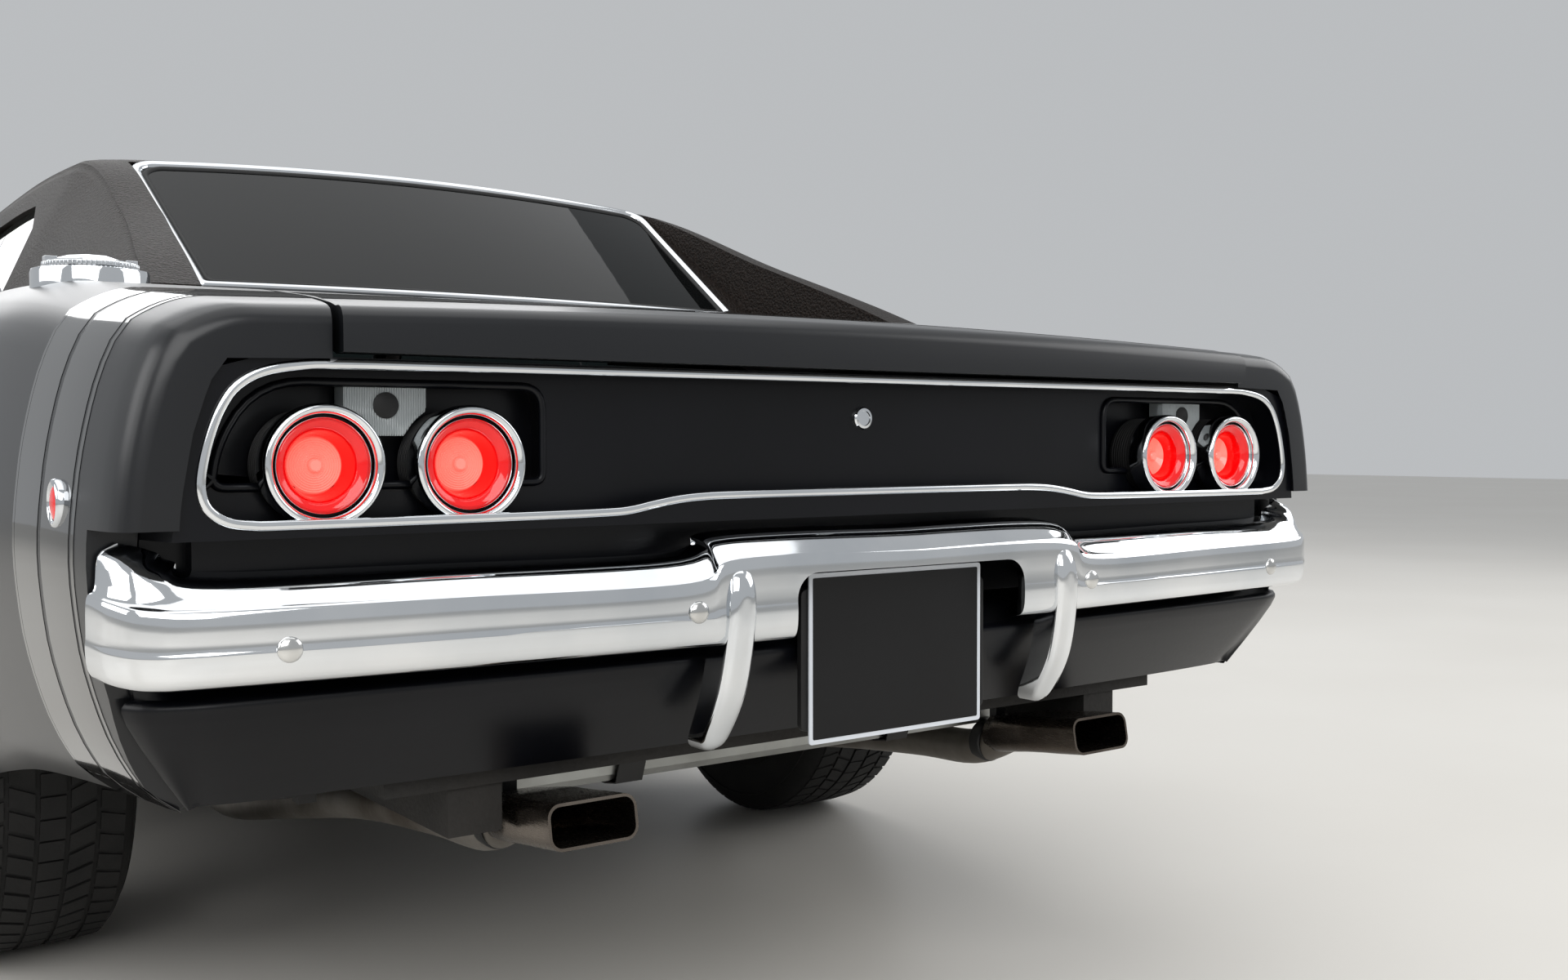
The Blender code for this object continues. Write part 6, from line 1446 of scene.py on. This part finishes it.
# a stripe laid 0.4 mm proud of the quarter, from the sill over the shoulder to the lid's edge
def stripeBand(side, lowY, highY):
    rings = [[(side * x, y, z) for x, z in panelRow(y, stripInner(y), 0.002)[0]]
        for y in steps(lowY, highY, 0.010)]
    made = bmesh.new()
    rows = []
    for ring in rings:
        row = []
        for i, p in enumerate(ring):
            ahead = Vector(ring[min(i + 1, len(ring) - 1)]) - Vector(ring[max(i - 1, 0)])
            out = Vector((ahead.z, 0.0, -ahead.x)).normalized()
            if out.x * side + out.z < 0:
                out = -out
            row.append((made.verts.new(Vector(p) + out * 0.0005), made.verts.new(Vector(p) - out * 0.0004)))
        rows.append(row)
    for a, b in zip(rows, rows[1:]):
        for i in range(len(a) - 1):
            made.faces.new((a[i][0], a[i + 1][0], b[i + 1][0], b[i][0]))
            made.faces.new((a[i][1], b[i][1], b[i + 1][1], a[i + 1][1]))
        for i in (0, len(a) - 1):
            made.faces.new((a[i][0], b[i][0], b[i][1], a[i][1]))
    for row in (rows[0], rows[-1]):
        for i in range(len(row) - 1):
            made.faces.new((row[i][0], row[i][1], row[i + 1][1], row[i + 1][0]))
    bmesh.ops.recalc_face_normals(made, faces=made.faces)
    return made

for side, mark in carSides:
    piece(f"stripes_{mark}", merged([stripeBand(side, low, high) for low, high in stripes]), bandPaint,
        smooth=50)
    for label, y, z, lens in (("rear", 2.407, 0.757, lampRed), ("front", -2.300, 0.560, lampAmber)):
        x = sideX(y, z)
        place = at(side * (x + 0.0005), y, z, "X")
        if side < 0:
            place = place @ Matrix.Rotation(pi, 4, "X")
        piece(f"{label}MarkerRim_{mark}", turned([(0.0235, -0.006), (0.0245, 0.001), (0.023, 0.004),
            (0.0205, 0.0048), (0.0185, 0.003), (0.018, -0.006)], place, 48, looped=True), chrome,
            smooth=50)
        piece(f"{label}MarkerLens_{mark}", turned([(0.0186, -0.004), (0.0184, 0.001), (0.015, 0.0034),
            (0.009, 0.0046), (0.0, 0.005)], place, 48), lens, smooth=50)

# the same stripe across the boot lid, edge to edge
def lidBand(lowY, highY):
    stations = [min(y, highY) for y in steps(lowY, highY, 0.012)]
    rings = []
    for y in stations:
        half = lidHalf(y) - 0.003
        line = [(half * k / 16, topZ(half * k / 16, y)) for k in range(-16, 17)]
        rings.append([*[(x, y, z + 0.0005) for x, z in line], *[(x, y, z - 0.0004) for x, z in reversed(line)]])
    return ringLoft(rings)

piece("lidStripes", merged([lidBand(low, high) for low, high in stripes]), bandPaint, smooth=50,
    body="trunk_lid")
print("stripes and markers made")

# Front end: nose bead, bar grille, hidden headlamps behind ribbed covers

noseLook = {"y": -2.585, "x": 0.790, "low": 0.548, "high": 0.722, "corner": 0.030}
noseOutline = roundedOutline((-noseLook["x"], noseLook["low"]), (noseLook["x"], noseLook["high"]),
    noseLook["corner"])
piece("noseBead", sweep([(x, noseLook["y"] - 0.001, z) for x, z in grown(noseOutline, -0.004)],
    circleOf(0.0045, 12), looped=True, up=Vector((0, 1, 0))), brightTrim, smooth=60)

grilleLook = {"half": 0.434, "low": 0.5485, "high": 0.7215, "front": -2.562, "back": -2.534, "frame": 0.012,
    "barPitch": 0.0135, "barWide": 0.0036}
look = grilleLook
rim = combined(block((-look["half"], look["front"], look["low"]), (look["half"], look["back"], look["high"])),
    [block((-look["half"] + look["frame"], -2.60, look["low"] + look["frame"]),
    (look["half"] - look["frame"], -2.50, look["high"] - look["frame"]))])
bars = [block((x - look["barWide"] / 2, look["front"] + 0.005, look["low"] + 0.010),
    (x + look["barWide"] / 2, look["back"] - 0.003, look["high"] - 0.010))
    for x in steps(-look["half"] + 0.020, look["half"] - 0.020, look["barPitch"])]
cross = [block((-look["half"] + 0.008, look["front"] + 0.009, z - 0.0025),
    (look["half"] - 0.008, look["back"] - 0.001, z + 0.0025)) for z in steps(0.580, 0.690, 0.0275)]
centre = block((-0.012, look["front"] + 0.001, look["low"] + 0.008),
    (0.012, look["back"], look["high"] - 0.008))
piece("grilleBars", merged([rim, *bars, *cross, centre]), blackTrim, ["grille"], smooth=20)

lampSet = {"x": (0.524, 0.680), "z": 0.630, "radius": 0.060, "front": -2.443}
carrier = [block((-0.780, -2.383, 0.560), (0.780, -2.363, 0.700))]
carrier += [block((side * 0.380, -2.383, 0.4205), (side * 0.430, -2.363, 0.600)) for side in (1, -1)]
bowls, lenses, rings = [], [], []
for side in (1, -1):
    for x in lampSet["x"]:
        place = at(side * x, lampSet["front"], lampSet["z"], "Y")
        r = lampSet["radius"]
        bowls.append(turned([(0.0, 0.070), (0.030, 0.070), (r - 0.004, 0.028), (r - 0.003, 0.008),
            (r - 0.007, 0.008), (r - 0.009, 0.026), (0.026, 0.064), (0.0, 0.064)], place, 64))
        lenses.append(turned([(r - 0.005, 0.010), (r - 0.006, 0.006), (r - 0.016, 0.0025), (r - 0.034, 0.0006),
            (0.0, 0.0), (0.0, 0.003), (r - 0.034, 0.0036), (r - 0.016, 0.0055), (r - 0.007, 0.010)], place, 64))
        rings.append(turned([(r - 0.006, 0.004), (r - 0.002, 0.002), (r, 0.006), (r, 0.016),
            (r - 0.006, 0.016)], place, 64, looped=True))
piece("headlampCarrier", merged(carrier), blackTrim, ["headlamps"], bevel=0.002)
piece("headlampBowls", merged(bowls), chrome, smooth=50)
piece("headlampLenses", merged(lenses), lampClear, smooth=50)
piece("headlampRings", merged(rings), brightTrim, smooth=50)

for side, mark in carSides:
    low, high = (0.442, 0.554), (0.755, 0.716)
    plate = block((side * low[0], -2.5375, low[1]), (side * high[0], -2.532, high[1]))
    edges = [block((side * low[0], -2.544, z), (side * high[0], -2.536, z + 0.006))
        for z in (low[1], high[1] - 0.006)]
    edges += [block((side * x, -2.544, low[1]), (side * (x + 0.006), -2.536, high[1]))
        for x in (low[0], high[0] - 0.006)]
    bars = [block((side * (x - 0.0018), -2.5435, low[1] + 0.003),
        (side * (x + 0.0018), -2.536, high[1] - 0.003))
        for x in steps(low[0] + 0.014, high[0] - 0.014, grilleLook["barPitch"])]
    arms = []
    for x in (0.448, 0.749):
        outline = [(-2.534, 0.700), (-2.440, 0.6435), (-2.4315, 0.635), (-2.440, 0.6265), (-2.534, 0.590)]
        arms.append(prism([(side * (x - 0.004), y, z) for y, z in outline], (side, 0, 0), 0.008))
    piece(f"lampCover_{mark}", merged([plate, *edges, *bars, *arms]), blackTrim,
        [f"headlamp_cover_{mark}"], smooth=20, body=f"headlamp_cover_{mark}")
print("front made")

# Cabin: carpet, dashboard, wheel, door cards

# loop carpet cut from the floor pan's own upward faces in the cabin
def panCarpet():
    pan = nodes["floor_pan"]
    made = bmesh.new()
    for face in pan.data.polygons:
        if face.normal.z < 0.6:
            continue
        corners = [pan.matrix_world @ pan.data.vertices[i].co for i in face.vertices]
        centre = sum(corners, Vector()) / len(corners)
        if abs(centre.x) < 0.72 and -0.95 < centre.y < 0.56 and centre.z < 0.40:
            made.faces.new([made.verts.new(p + Vector((0, 0, 0.0004))) for p in corners])
    bmesh.ops.remove_doubles(made, verts=made.verts, dist=1e-5)
    top = bmesh.ops.extrude_face_region(made, geom=made.faces[:])
    for found in top["geom"]:
        if isinstance(found, bmesh.types.BMVert):
            found.co.z += 0.009
    bmesh.ops.recalc_face_normals(made, faces=made.faces)
    return made

piece("cabinCarpet", panCarpet(), carpet, smooth=30)

dashOutline = [(-0.9295, 0.645), (-0.9295, 0.876), (-0.900, 0.880), (-0.780, 0.880), (-0.752, 0.874),
    (-0.700, 0.842), (-0.6905, 0.828), (-0.695, 0.760), (-0.700, 0.712), (-0.712, 0.690), (-0.800, 0.622),
    (-0.830, 0.620)]
piece("dashPad", prism([(-0.720, y, z) for y, z in dashOutline], (1, 0, 0), 1.440), seatVinyl,
    ["dashboard"], smooth=40, bevel=0.004, segments=3)
dashFace = [block((0.150, -0.696, 0.712), (0.600, -0.6885, 0.818)),
    block((-0.610, -0.6975, 0.716), (-0.180, -0.6905, 0.800))]
piece("dashFascia", merged(dashFace), blackTrim, bevel=0.003)
dials, dialRims, needles = [], [], []
for x, z, r in ((0.300, 0.770, 0.038), (0.440, 0.770, 0.038), (0.215, 0.785, 0.020), (0.215, 0.738, 0.020),
        (0.530, 0.785, 0.020), (0.530, 0.738, 0.020)):
    place = at(x, -0.6885, z, "Y")
    dials.append(turned([(0.0, 0.0), (r, 0.0), (r, 0.0015), (0.0, 0.0015)], place, 48))
    dialRims.append(turned([(r, 0.0), (r + 0.0035, 0.001), (r + 0.0035, 0.004), (r + 0.001, 0.006),
        (r - 0.001, 0.003)], place, 48, looped=True))
    ticks = [(radians(225 - 270 * k / 10), r * 0.80) for k in range(11)]
    for angle, reach in ticks:
        spot = Vector((x + reach * cos(angle), -0.6868, z + reach * sin(angle)))
        needles.append(block(spot - Vector((0.0008, 0.0004, 0.0008)), spot + Vector((0.0008, 0.0004, 0.0008))))
    needles.append(prism([(x - 0.0008, -0.6868, z), (x + 0.0008, -0.6868, z),
        (x - r * 0.5, -0.6868, z - r * 0.45)], (0, 1, 0), 0.0008))
piece("dials", merged(dials), gaugeFace)
piece("dialMarks", merged(needles), makeDull("printedWhite", ("d8d8d4", "e4e4e0"), (0.4, 0.5), 3.0, 0.0001))
piece("dialRims", merged(dialRims), brightTrim, smooth=50)
column = sweep([(0.370, -0.740, 0.745), (0.370, -0.640, 0.7705), (0.370, -0.556, 0.792)], circleOf(0.022, 32))
piece("steeringColumn", column, blackTrim, smooth=50)

wheelAxis = Vector((0.0, 0.9689, 0.24749))
wheelCentre = Vector((0.370, -0.556, 0.792)) + wheelAxis * 0.018
wheelPlace = Matrix.Translation(wheelCentre) @ wheelAxis.to_track_quat("Z", "Y").to_matrix().to_4x4()
hubShape = turned([(0.0, -0.016), (0.030, -0.016), (0.030, 0.006), (0.036, 0.014), (0.036, 0.024),
    (0.030, 0.030), (0.0, 0.032)], wheelPlace, 48)
rimShape = turned([(0.190 + r, 0.030 + z) for r, z in circleOf(0.012, 16)], wheelPlace, 96, looped=True)
arms = []
for k in range(3):
    turn = wheelPlace @ Matrix.Rotation(radians(120 * k), 4, "Z")
    rows = [(0.028, 0.018, 0.016), (0.080, 0.014, 0.020), (0.140, 0.012, 0.026), (0.186, 0.015, 0.030)]
    section = ((-1, -0.002), (1, -0.002), (0.8, 0.002), (-0.8, 0.002))
    arms.append(ringLoft([[turn @ Vector((a * w, r, z + b)) for a, b in section] for r, w, z in rows]))
piece("steeringRim", merged([rimShape, hubShape]), seatVinyl, ["steering_wheel"], smooth=40,
    body="steering_wheel")
piece("steeringSpokes", merged(arms), brightTrim, smooth=30, bevel=0.0008, body="steering_wheel")

for side, mark in carSides:
    card = roundedOutline((-0.840, 0.330), (0.350, 0.860), 0.05, 6)
    x = 0.738
    cardShape = prism([(side * (x - 0.0005), y, z) for y, z in card], (-side, 0, 0), 0.008)
    piece(f"doorCard_{mark}", cardShape, seatVinyl, bevel=0.003, body=f"door_{mark}")
    rest = roundedOutline((-0.350, 0.560), (0.150, 0.600), 0.018, 5)
    armrest = prism([(side * (x - 0.008), y, z) for y, z in rest], (-side, 0, 0), 0.045)
    piece(f"armRest_{mark}", armrest, seatVinyl, bevel=0.006, segments=3, body=f"door_{mark}")
    crank = [rod("X", (side * (x - 0.018), -0.480, 0.520), 0.013, 0.022, 32),
        sweep([(side * (x - 0.030), -0.480, 0.520), (side * (x - 0.034), -0.430, 0.500),
        (side * (x - 0.036), -0.400, 0.490)], circleOf(0.0045, 12)),
        rod("X", (side * (x - 0.042), -0.397, 0.489), 0.009, 0.018, 24)]
    pull = sweep([(side * (x - 0.010), -0.560, 0.700), (side * (x - 0.024), -0.540, 0.700),
        (side * (x - 0.024), -0.480, 0.700), (side * (x - 0.012), -0.465, 0.700)], circleOf(0.005, 12))
    piece(f"doorCrank_{mark}", merged([*crank, pull]), chrome, smooth=40, body=f"door_{mark}")
print("cabin made")

# Soft seats: crowned pads with sewn channels and piped edges, swelled by a cloth run

# pressure from inside, with the movement of each point capped, applied to the mesh
def swelled(mesh, cap):
    held = standing("pad", mesh)
    before = [v.co.copy() for v in mesh.vertices]
    cloth = held.modifiers.new("cloth", "CLOTH")
    cloth.settings.use_pressure = True
    cloth.settings.uniform_pressure_force = 4.0
    cloth.settings.effector_weights.gravity = 0.0
    cloth.point_cache.frame_start, cloth.point_cache.frame_end = 1, 20
    for frameNow in range(1, 21):
        bpy.context.scene.frame_set(frameNow)
    evaluated = held.evaluated_get(bpy.context.evaluated_depsgraph_get())
    after = [v.co.copy() for v in evaluated.to_mesh().vertices]
    evaluated.to_mesh_clear()
    bpy.context.scene.frame_set(1)
    held.modifiers.clear()
    for vertex, was, now in zip(mesh.vertices, before, after):
        step = now - was
        vertex.co = was + step * min(1.0, cap / max(step.length, 1e-6))
    bpy.data.objects.remove(held)

# remeshes a closed shape evenly, swells it and smooths it
def padMesh(name, shape, voxel, cap):
    mesh = bpy.data.meshes.new(name)
    shape.to_mesh(mesh)
    shape.free()
    held = standing(name, mesh)
    remesh = held.modifiers.new("remesh", "REMESH")
    remesh.mode, remesh.voxel_size = "VOXEL", voxel
    even = bpy.data.meshes.new_from_object(held.evaluated_get(bpy.context.evaluated_depsgraph_get()))
    bpy.data.objects.remove(held)
    bpy.data.meshes.remove(mesh)
    swelled(even, cap)
    return even

# a padded vinyl piece: remeshed, swelled, then grooved along its sewn channels
def makePad(name, shape, middle, channels, replaces=()):
    even = padMesh(name, shape, seatLook["voxel"], seatLook["cap"])
    fine = bmesh.new()
    fine.from_mesh(even)
    bpy.data.meshes.remove(even)
    bmesh.ops.smooth_vert(fine, verts=fine.verts, factor=0.5, use_axis_x=True, use_axis_y=True, use_axis_z=True)
    fine.normal_update()
    pitch, low, high, depth, normalAxis = channels
    for vertex in fine.verts:
        x = abs(vertex.co.x - middle)
        if low < x < high and abs(vertex.normal[normalAxis]) > 0.45:
            wave = abs(sin(pi * (x - low) / pitch))
            vertex.co -= vertex.normal * depth * (1.0 - wave) ** 3
    made = piece(name, fine, seatVinyl, replaces, smooth=60)
    rounding = made.modifiers.new("smoothing", "SUBSURF")
    rounding.levels = rounding.render_levels = 1
    return made

# a side outline carried across from low to high, its ends drawn in to a crown
def padShape(outline, low, high, shrink=0.006):
    centreY = sum(y for y, z in outline) / len(outline)
    centreZ = sum(z for y, z in outline) / len(outline)
    rings = []
    for t, pull in ((0.0, 0.80), (0.03, 0.90), (0.10, 0.965), (0.25, 1.0), (0.75, 1.0), (0.90, 0.965),
            (0.97, 0.90), (1.0, 0.80)):
        x = low + shrink + (high - low - 2 * shrink) * t
        rings.append([(x, centreY + (y - centreY) * pull, centreZ + (z - centreZ) * pull) for y, z in outline])
    return ringLoft(rings)

# a closed smooth loop through points
def roundLoop(points, parts=5):
    ring = catmull([points[-1], *points, points[0], points[1]], parts)
    return ring[parts:-parts - 1]

cushionSide = roundLoop([(-0.470, 0.290), (-0.476, 0.370), (-0.430, 0.428), (-0.250, 0.436), (-0.040, 0.412),
    (0.020, 0.370), (0.010, 0.290), (-0.200, 0.275)])
backSide = roundLoop([(-0.010, 0.380), (0.060, 0.400), (0.130, 0.560), (0.190, 0.760), (0.226, 0.880),
    (0.198, 0.905), (0.150, 0.885), (0.062, 0.690), (0.000, 0.520), (-0.030, 0.430)])
benchSide = roundLoop([(0.556, 0.490), (0.548, 0.640), (0.590, 0.672), (0.760, 0.664), (0.960, 0.634),
    (0.990, 0.560), (0.960, 0.500), (0.760, 0.484)])
benchBack = roundLoop([(0.960, 0.600), (0.985, 0.560), (1.060, 0.600), (1.200, 0.840), (1.238, 0.882),
    (1.165, 0.872), (1.080, 0.780), (0.990, 0.660)])
seatLook = {"x": 0.415, "low": 0.194, "high": 0.636, "voxel": 0.012, "cap": 0.010}
for side, mark in carSides:
    low, high = sorted((side * seatLook["low"], side * seatLook["high"]))
    middle = side * seatLook["x"]
    makePad(f"seatCushion_{mark}", padShape(cushionSide, low, high), middle, (0.052, 0.0, 0.156, 0.006, 2),
        [f"seat_{mark}"])
    makePad(f"seatBack_{mark}", padShape(backSide, low, high), middle, (0.052, 0.0, 0.156, 0.006, 1))
    welts = []
    for outline in (cushionSide, backSide):
        cy, cz = sum(y for y, z in outline) / len(outline), sum(z for y, z in outline) / len(outline)
        for x in (low + 0.017, high - 0.017):
            welts.append(sweep([(x, cy + (y - cy) * 0.925, cz + (z - cz) * 0.925) for y, z in outline],
                circleOf(0.0035, 8), looped=True, up=Vector((1, 0, 0))))
    piece(f"seatPiping_{mark}", merged(welts), seatVinyl, smooth=60)
    rails = [block((side * (x - 0.012), -0.430, 0.2605), (side * (x + 0.012), 0.060, 0.292))
        for x in (0.270, 0.560)]
    piece(f"seatRails_{mark}", merged(rails), blackTrim, bevel=0.003)
makePad("benchCushion", padShape(benchSide, -0.556, 0.556), 0.0, (0.060, 0.060, 0.480, 0.006, 2), ["rear_seat"])
makePad("benchBack", padShape(benchBack, -0.556, 0.556), 0.0, (0.060, 0.060, 0.480, 0.006, 1))
print("seats made")

# Outside fittings and the finishes of the CAD nodes that stay

for side, mark in carSides:
    y, z = size["doorRearY"] - 0.150, 0.795
    x = sideX(y, z)
    base = roundedOutline((y - 0.085, z - 0.014), (y + 0.085, z + 0.014), 0.013, 6)
    grip = [(side * (x + 0.002), y - 0.072, z), (side * (x + 0.013), y - 0.055, z + 0.001),
        (side * (x + 0.015), y, z + 0.001), (side * (x + 0.013), y + 0.055, z + 0.001),
        (side * (x + 0.002), y + 0.072, z)]
    shapes = [prism([(side * (x - 0.004), py, pz) for py, pz in base], (side, 0, 0), 0.0065),
        sweep(grip, oval(0.004, 0.009))]
    button = at(side * (x + 0.002), y + 0.100, z - 0.024, "X")
    shapes.append(turned([(0.011, -0.006), (0.011, 0.001 * side), (0.0, 0.0015 * side)], button, 32))
    piece(f"doorHandle_{mark}", merged(shapes), chrome, smooth=45, body=f"door_{mark}")

mirrorPlace = at(0.905, -0.700, 1.010, "Y")
mirrorHead = turned([(0.0, -0.040), (0.020, -0.038), (0.040, -0.028), (0.050, -0.012), (0.0525, 0.0),
    (0.052, 0.006), (0.048, 0.007), (0.047, 0.001), (0.0, 0.001)], mirrorPlace, 64)
mirrorStalk = sweep([(0.868, -0.720, 0.925), (0.872, -0.716, 0.950), (0.885, -0.712, 0.972),
    (0.898, -0.712, 0.985)], oval(0.008, 0.013))
mirrorFoot = turned([(0.024, 0.0), (0.022, 0.006), (0.012, 0.010), (0.0, 0.010)], at(0.866, -0.722, 0.9285), 32)
piece("sideMirror", merged([mirrorHead, mirrorStalk, mirrorFoot]), chrome, smooth=50, body="door_L")
piece("sideMirrorGlass", turned([(0.0, 0.0014), (0.0462, 0.0014), (0.0462, 0.003), (0.0, 0.003)], mirrorPlace,
    64), makeMetal("silveredGlass", ("c8ced2", "bcc2c6"), (0.01, 0.03), 60.0), body="door_L")

wiperParts = []
for x, reach in ((0.420, -0.36), (-0.080, -0.36)):
    base = Vector((x, -1.000, topZ(x, -1.000) + 0.003))
    end = Vector((x + reach * 0.75, -0.955, topZ(x + reach * 0.75, -0.955) + 0.018))
    wiperParts.append(rod("Z", base + Vector((0, 0, 0.004)), 0.011, 0.014, 24))
    wiperParts.append(sweep([base + Vector((0, 0, 0.010)), (base + end) / 2 + Vector((0, 0, 0.012)), end],
        [(-0.004, -0.002), (0.004, -0.002), (0.003, 0.002), (-0.003, 0.002)]))
    wiperParts.append(sweep([end + Vector((0.20, -0.010, -0.004)), end, end + Vector((-0.17, 0.020, -0.002))],
        [(-0.003, -0.006), (0.003, -0.006), (0.001, 0.003), (-0.001, 0.003)]))
piece("wipers", merged(wiperParts), blackTrim, smooth=30)

trims = []
for side in (1, -1):
    path = []
    for y in steps(0.560, 1.828, 0.035):
        base, edge, edgeZ = (roofAt(y, name) for name in ("base", "edge", "edgeZ"))
        lean = (topZ(base, y) - size["beltZ"]) / max(edgeZ - size["beltZ"], 0.02)
        x = base + (edge - base) * min(max(lean, 0.0), 1.0) + 0.0015
        path.append((side * x, y, topZ(x, y) + 0.0025))
    trims.append(sweep(path, oval(0.0045, 0.0035, 10)))
piece("roofTrim", merged(trims), brightTrim, smooth=60)

houseLook = {
    # axle y, inner x, outer x, radius, height where the inner wall starts
    "rear": (1.295, 0.575, 0.885, 0.393, 0.40), "front": (-1.665, 0.500, 0.885, 0.393, 0.53),
    "wall": 0.003, "liftZ": 0.352,
}

# a pressed liner over the wheel: a half drum, with a D-shaped inner wall above a height
def wheelHouse(side, axleY, innerX, outerX, radius, wallZ):
    outline, inside = [], []
    for k in range(29):
        angle = radians(12 + 156 * k / 28)
        for points, r in ((outline, radius), (inside, radius - houseLook["wall"])):
            points.append((axleY + r * cos(angle), houseLook["liftZ"] + r * sin(angle)))
    drum = prism([(side * innerX, y, z) for y, z in [*outline, *reversed(inside)]], (side, 0, 0),
        outerX - innerX)
    wall = prism([(side * innerX, y, z) for y, z in outline if z > wallZ], (-side, 0, 0), houseLook["wall"])
    return merged([drum, wall])

for side, mark in carSides:
    for end in ("rear", "front"):
        piece(f"{end}WheelHouse_{mark}", wheelHouse(side, *houseLook[end]), underCoat)

for node, material in {"floor_pan": underCoat, "nose_panel": nosePaintedShade, "front_suspension": castIron,
        "rear_axle": castIron, "fuel_tank": tankSteel, "engine": castIron, "knuckle_L": castIron,
        "knuckle_R": castIron}.items():
    for held in nodes[node].material_slots:
        held.link = "OBJECT"
        held.material = material
print("fittings made")

# Studio: pale floor, soft light all round, the photograph's viewpoint

floorLook = {"colour": "d6d2cb", "rough": 0.32, "sizeM": 60.0}

# power-floated screed with a clear sealer: pale, faintly cloudy, a soft sheen
def makeFloorFinish(look):
    made, tree, shader = finish("sealedScreed", {"Specular IOR Level": 0.4})
    coords = add(tree, "ShaderNodeTexCoord")
    broad = add(tree, "ShaderNodeTexNoise", {"Scale": 0.6, "Detail": 6.0}, {"Vector": coords.outputs["Object"]})
    tint = add(tree, "ShaderNodeValToRGB", {"stops": [(0.3, tone(look["colour"])), (0.8, tone("dedbd5"))]},
        {"Fac": broad.outputs["Fac"]})
    roughness = add(tree, "ShaderNodeMapRange", {"To Min": look["rough"], "To Max": look["rough"] + 0.12},
        {"Value": broad.outputs["Fac"]})
    tree.links.new(tint.outputs["Color"], shader.inputs["Base Color"])
    tree.links.new(roughness.outputs["Result"], shader.inputs["Roughness"])
    return made

half = floorLook["sizeM"] / 2
floorShape = bmesh.new()
floorShape.faces.new([floorShape.verts.new((x * half, y * half, 0.0))
    for x, y in ((-1, -1), (1, -1), (1, 1), (-1, 1))])
floorMesh = bpy.data.meshes.new("studioFloor")
floorShape.to_mesh(floorMesh)
floorShape.free()
floorMesh.materials.append(makeFloorFinish(floorLook))
studioFloor = standing("studioFloor", floorMesh)

lights = [
    # name, place, aim, width, height, watts
    ("keySoft", (3.0, 8.0, 5.0), (0.0, 3.0, 0.3), 7.0, 5.0, 350),
    ("sideSoft", (8.5, 0.5, 4.6), (1.2, 0.8, 0.3), 9.0, 4.5, 290),
    ("fillSoft", (-7.5, 4.0, 4.4), (-0.5, 2.0, 0.4), 7.0, 4.0, 190),
    ("frontSoft", (-1.5, -8.5, 5.0), (0.0, -2.6, 0.4), 8.0, 4.5, 240),
    ("topSoft", (0.0, 0.4, 6.4), (0.0, 0.4, 0.0), 8.0, 9.0, 220),
]
for name, place, aim, wide, tall, watts in lights:
    lamp = bpy.data.lights.new(name, "AREA")
    lamp.shape = "RECTANGLE"
    lamp.size, lamp.size_y, lamp.energy = wide, tall, watts
    held = standing(name, lamp)
    held.location = place
    held.rotation_euler = (Vector(aim) - Vector(place)).to_track_quat("-Z", "Y").to_euler()

world = bpy.data.worlds.new("studioWorld")
bpy.context.scene.world = world
world.use_nodes = True
world.node_tree.nodes["Background"].inputs["Color"].default_value = tone("eef1f4")
world.node_tree.nodes["Background"].inputs["Strength"].default_value = 0.58

view = {"place": (1.229, 4.0015, 0.817), "focalPx": 1838.2, "framePx": 1920, "yaw": 36.8, "pitch": -1.89,
    "roll": -0.085}
cameraData = bpy.data.cameras.new("viewCamera")
cameraData.sensor_width = 36.0
cameraData.lens = view["focalPx"] * cameraData.sensor_width / view["framePx"]
cameraData.clip_start = 0.05
camera = standing("viewCamera", cameraData)
yaw, pitch, roll = (radians(view[key]) for key in ("yaw", "pitch", "roll"))
forward = Vector((-sin(yaw) * cos(pitch), -cos(yaw) * cos(pitch), sin(pitch)))
level = Vector((-cos(yaw), sin(yaw), 0.0))
upright = level.cross(forward)
right = level * cos(roll) + upright * sin(roll)
upward = upright * cos(roll) - level * sin(roll)
camera.matrix_world = Matrix((right, upward, -forward)).transposed().to_4x4()
camera.location = view["place"]
bpy.context.scene.camera = camera
bpy.context.scene.view_settings.view_transform = "Standard"
print("studio made")
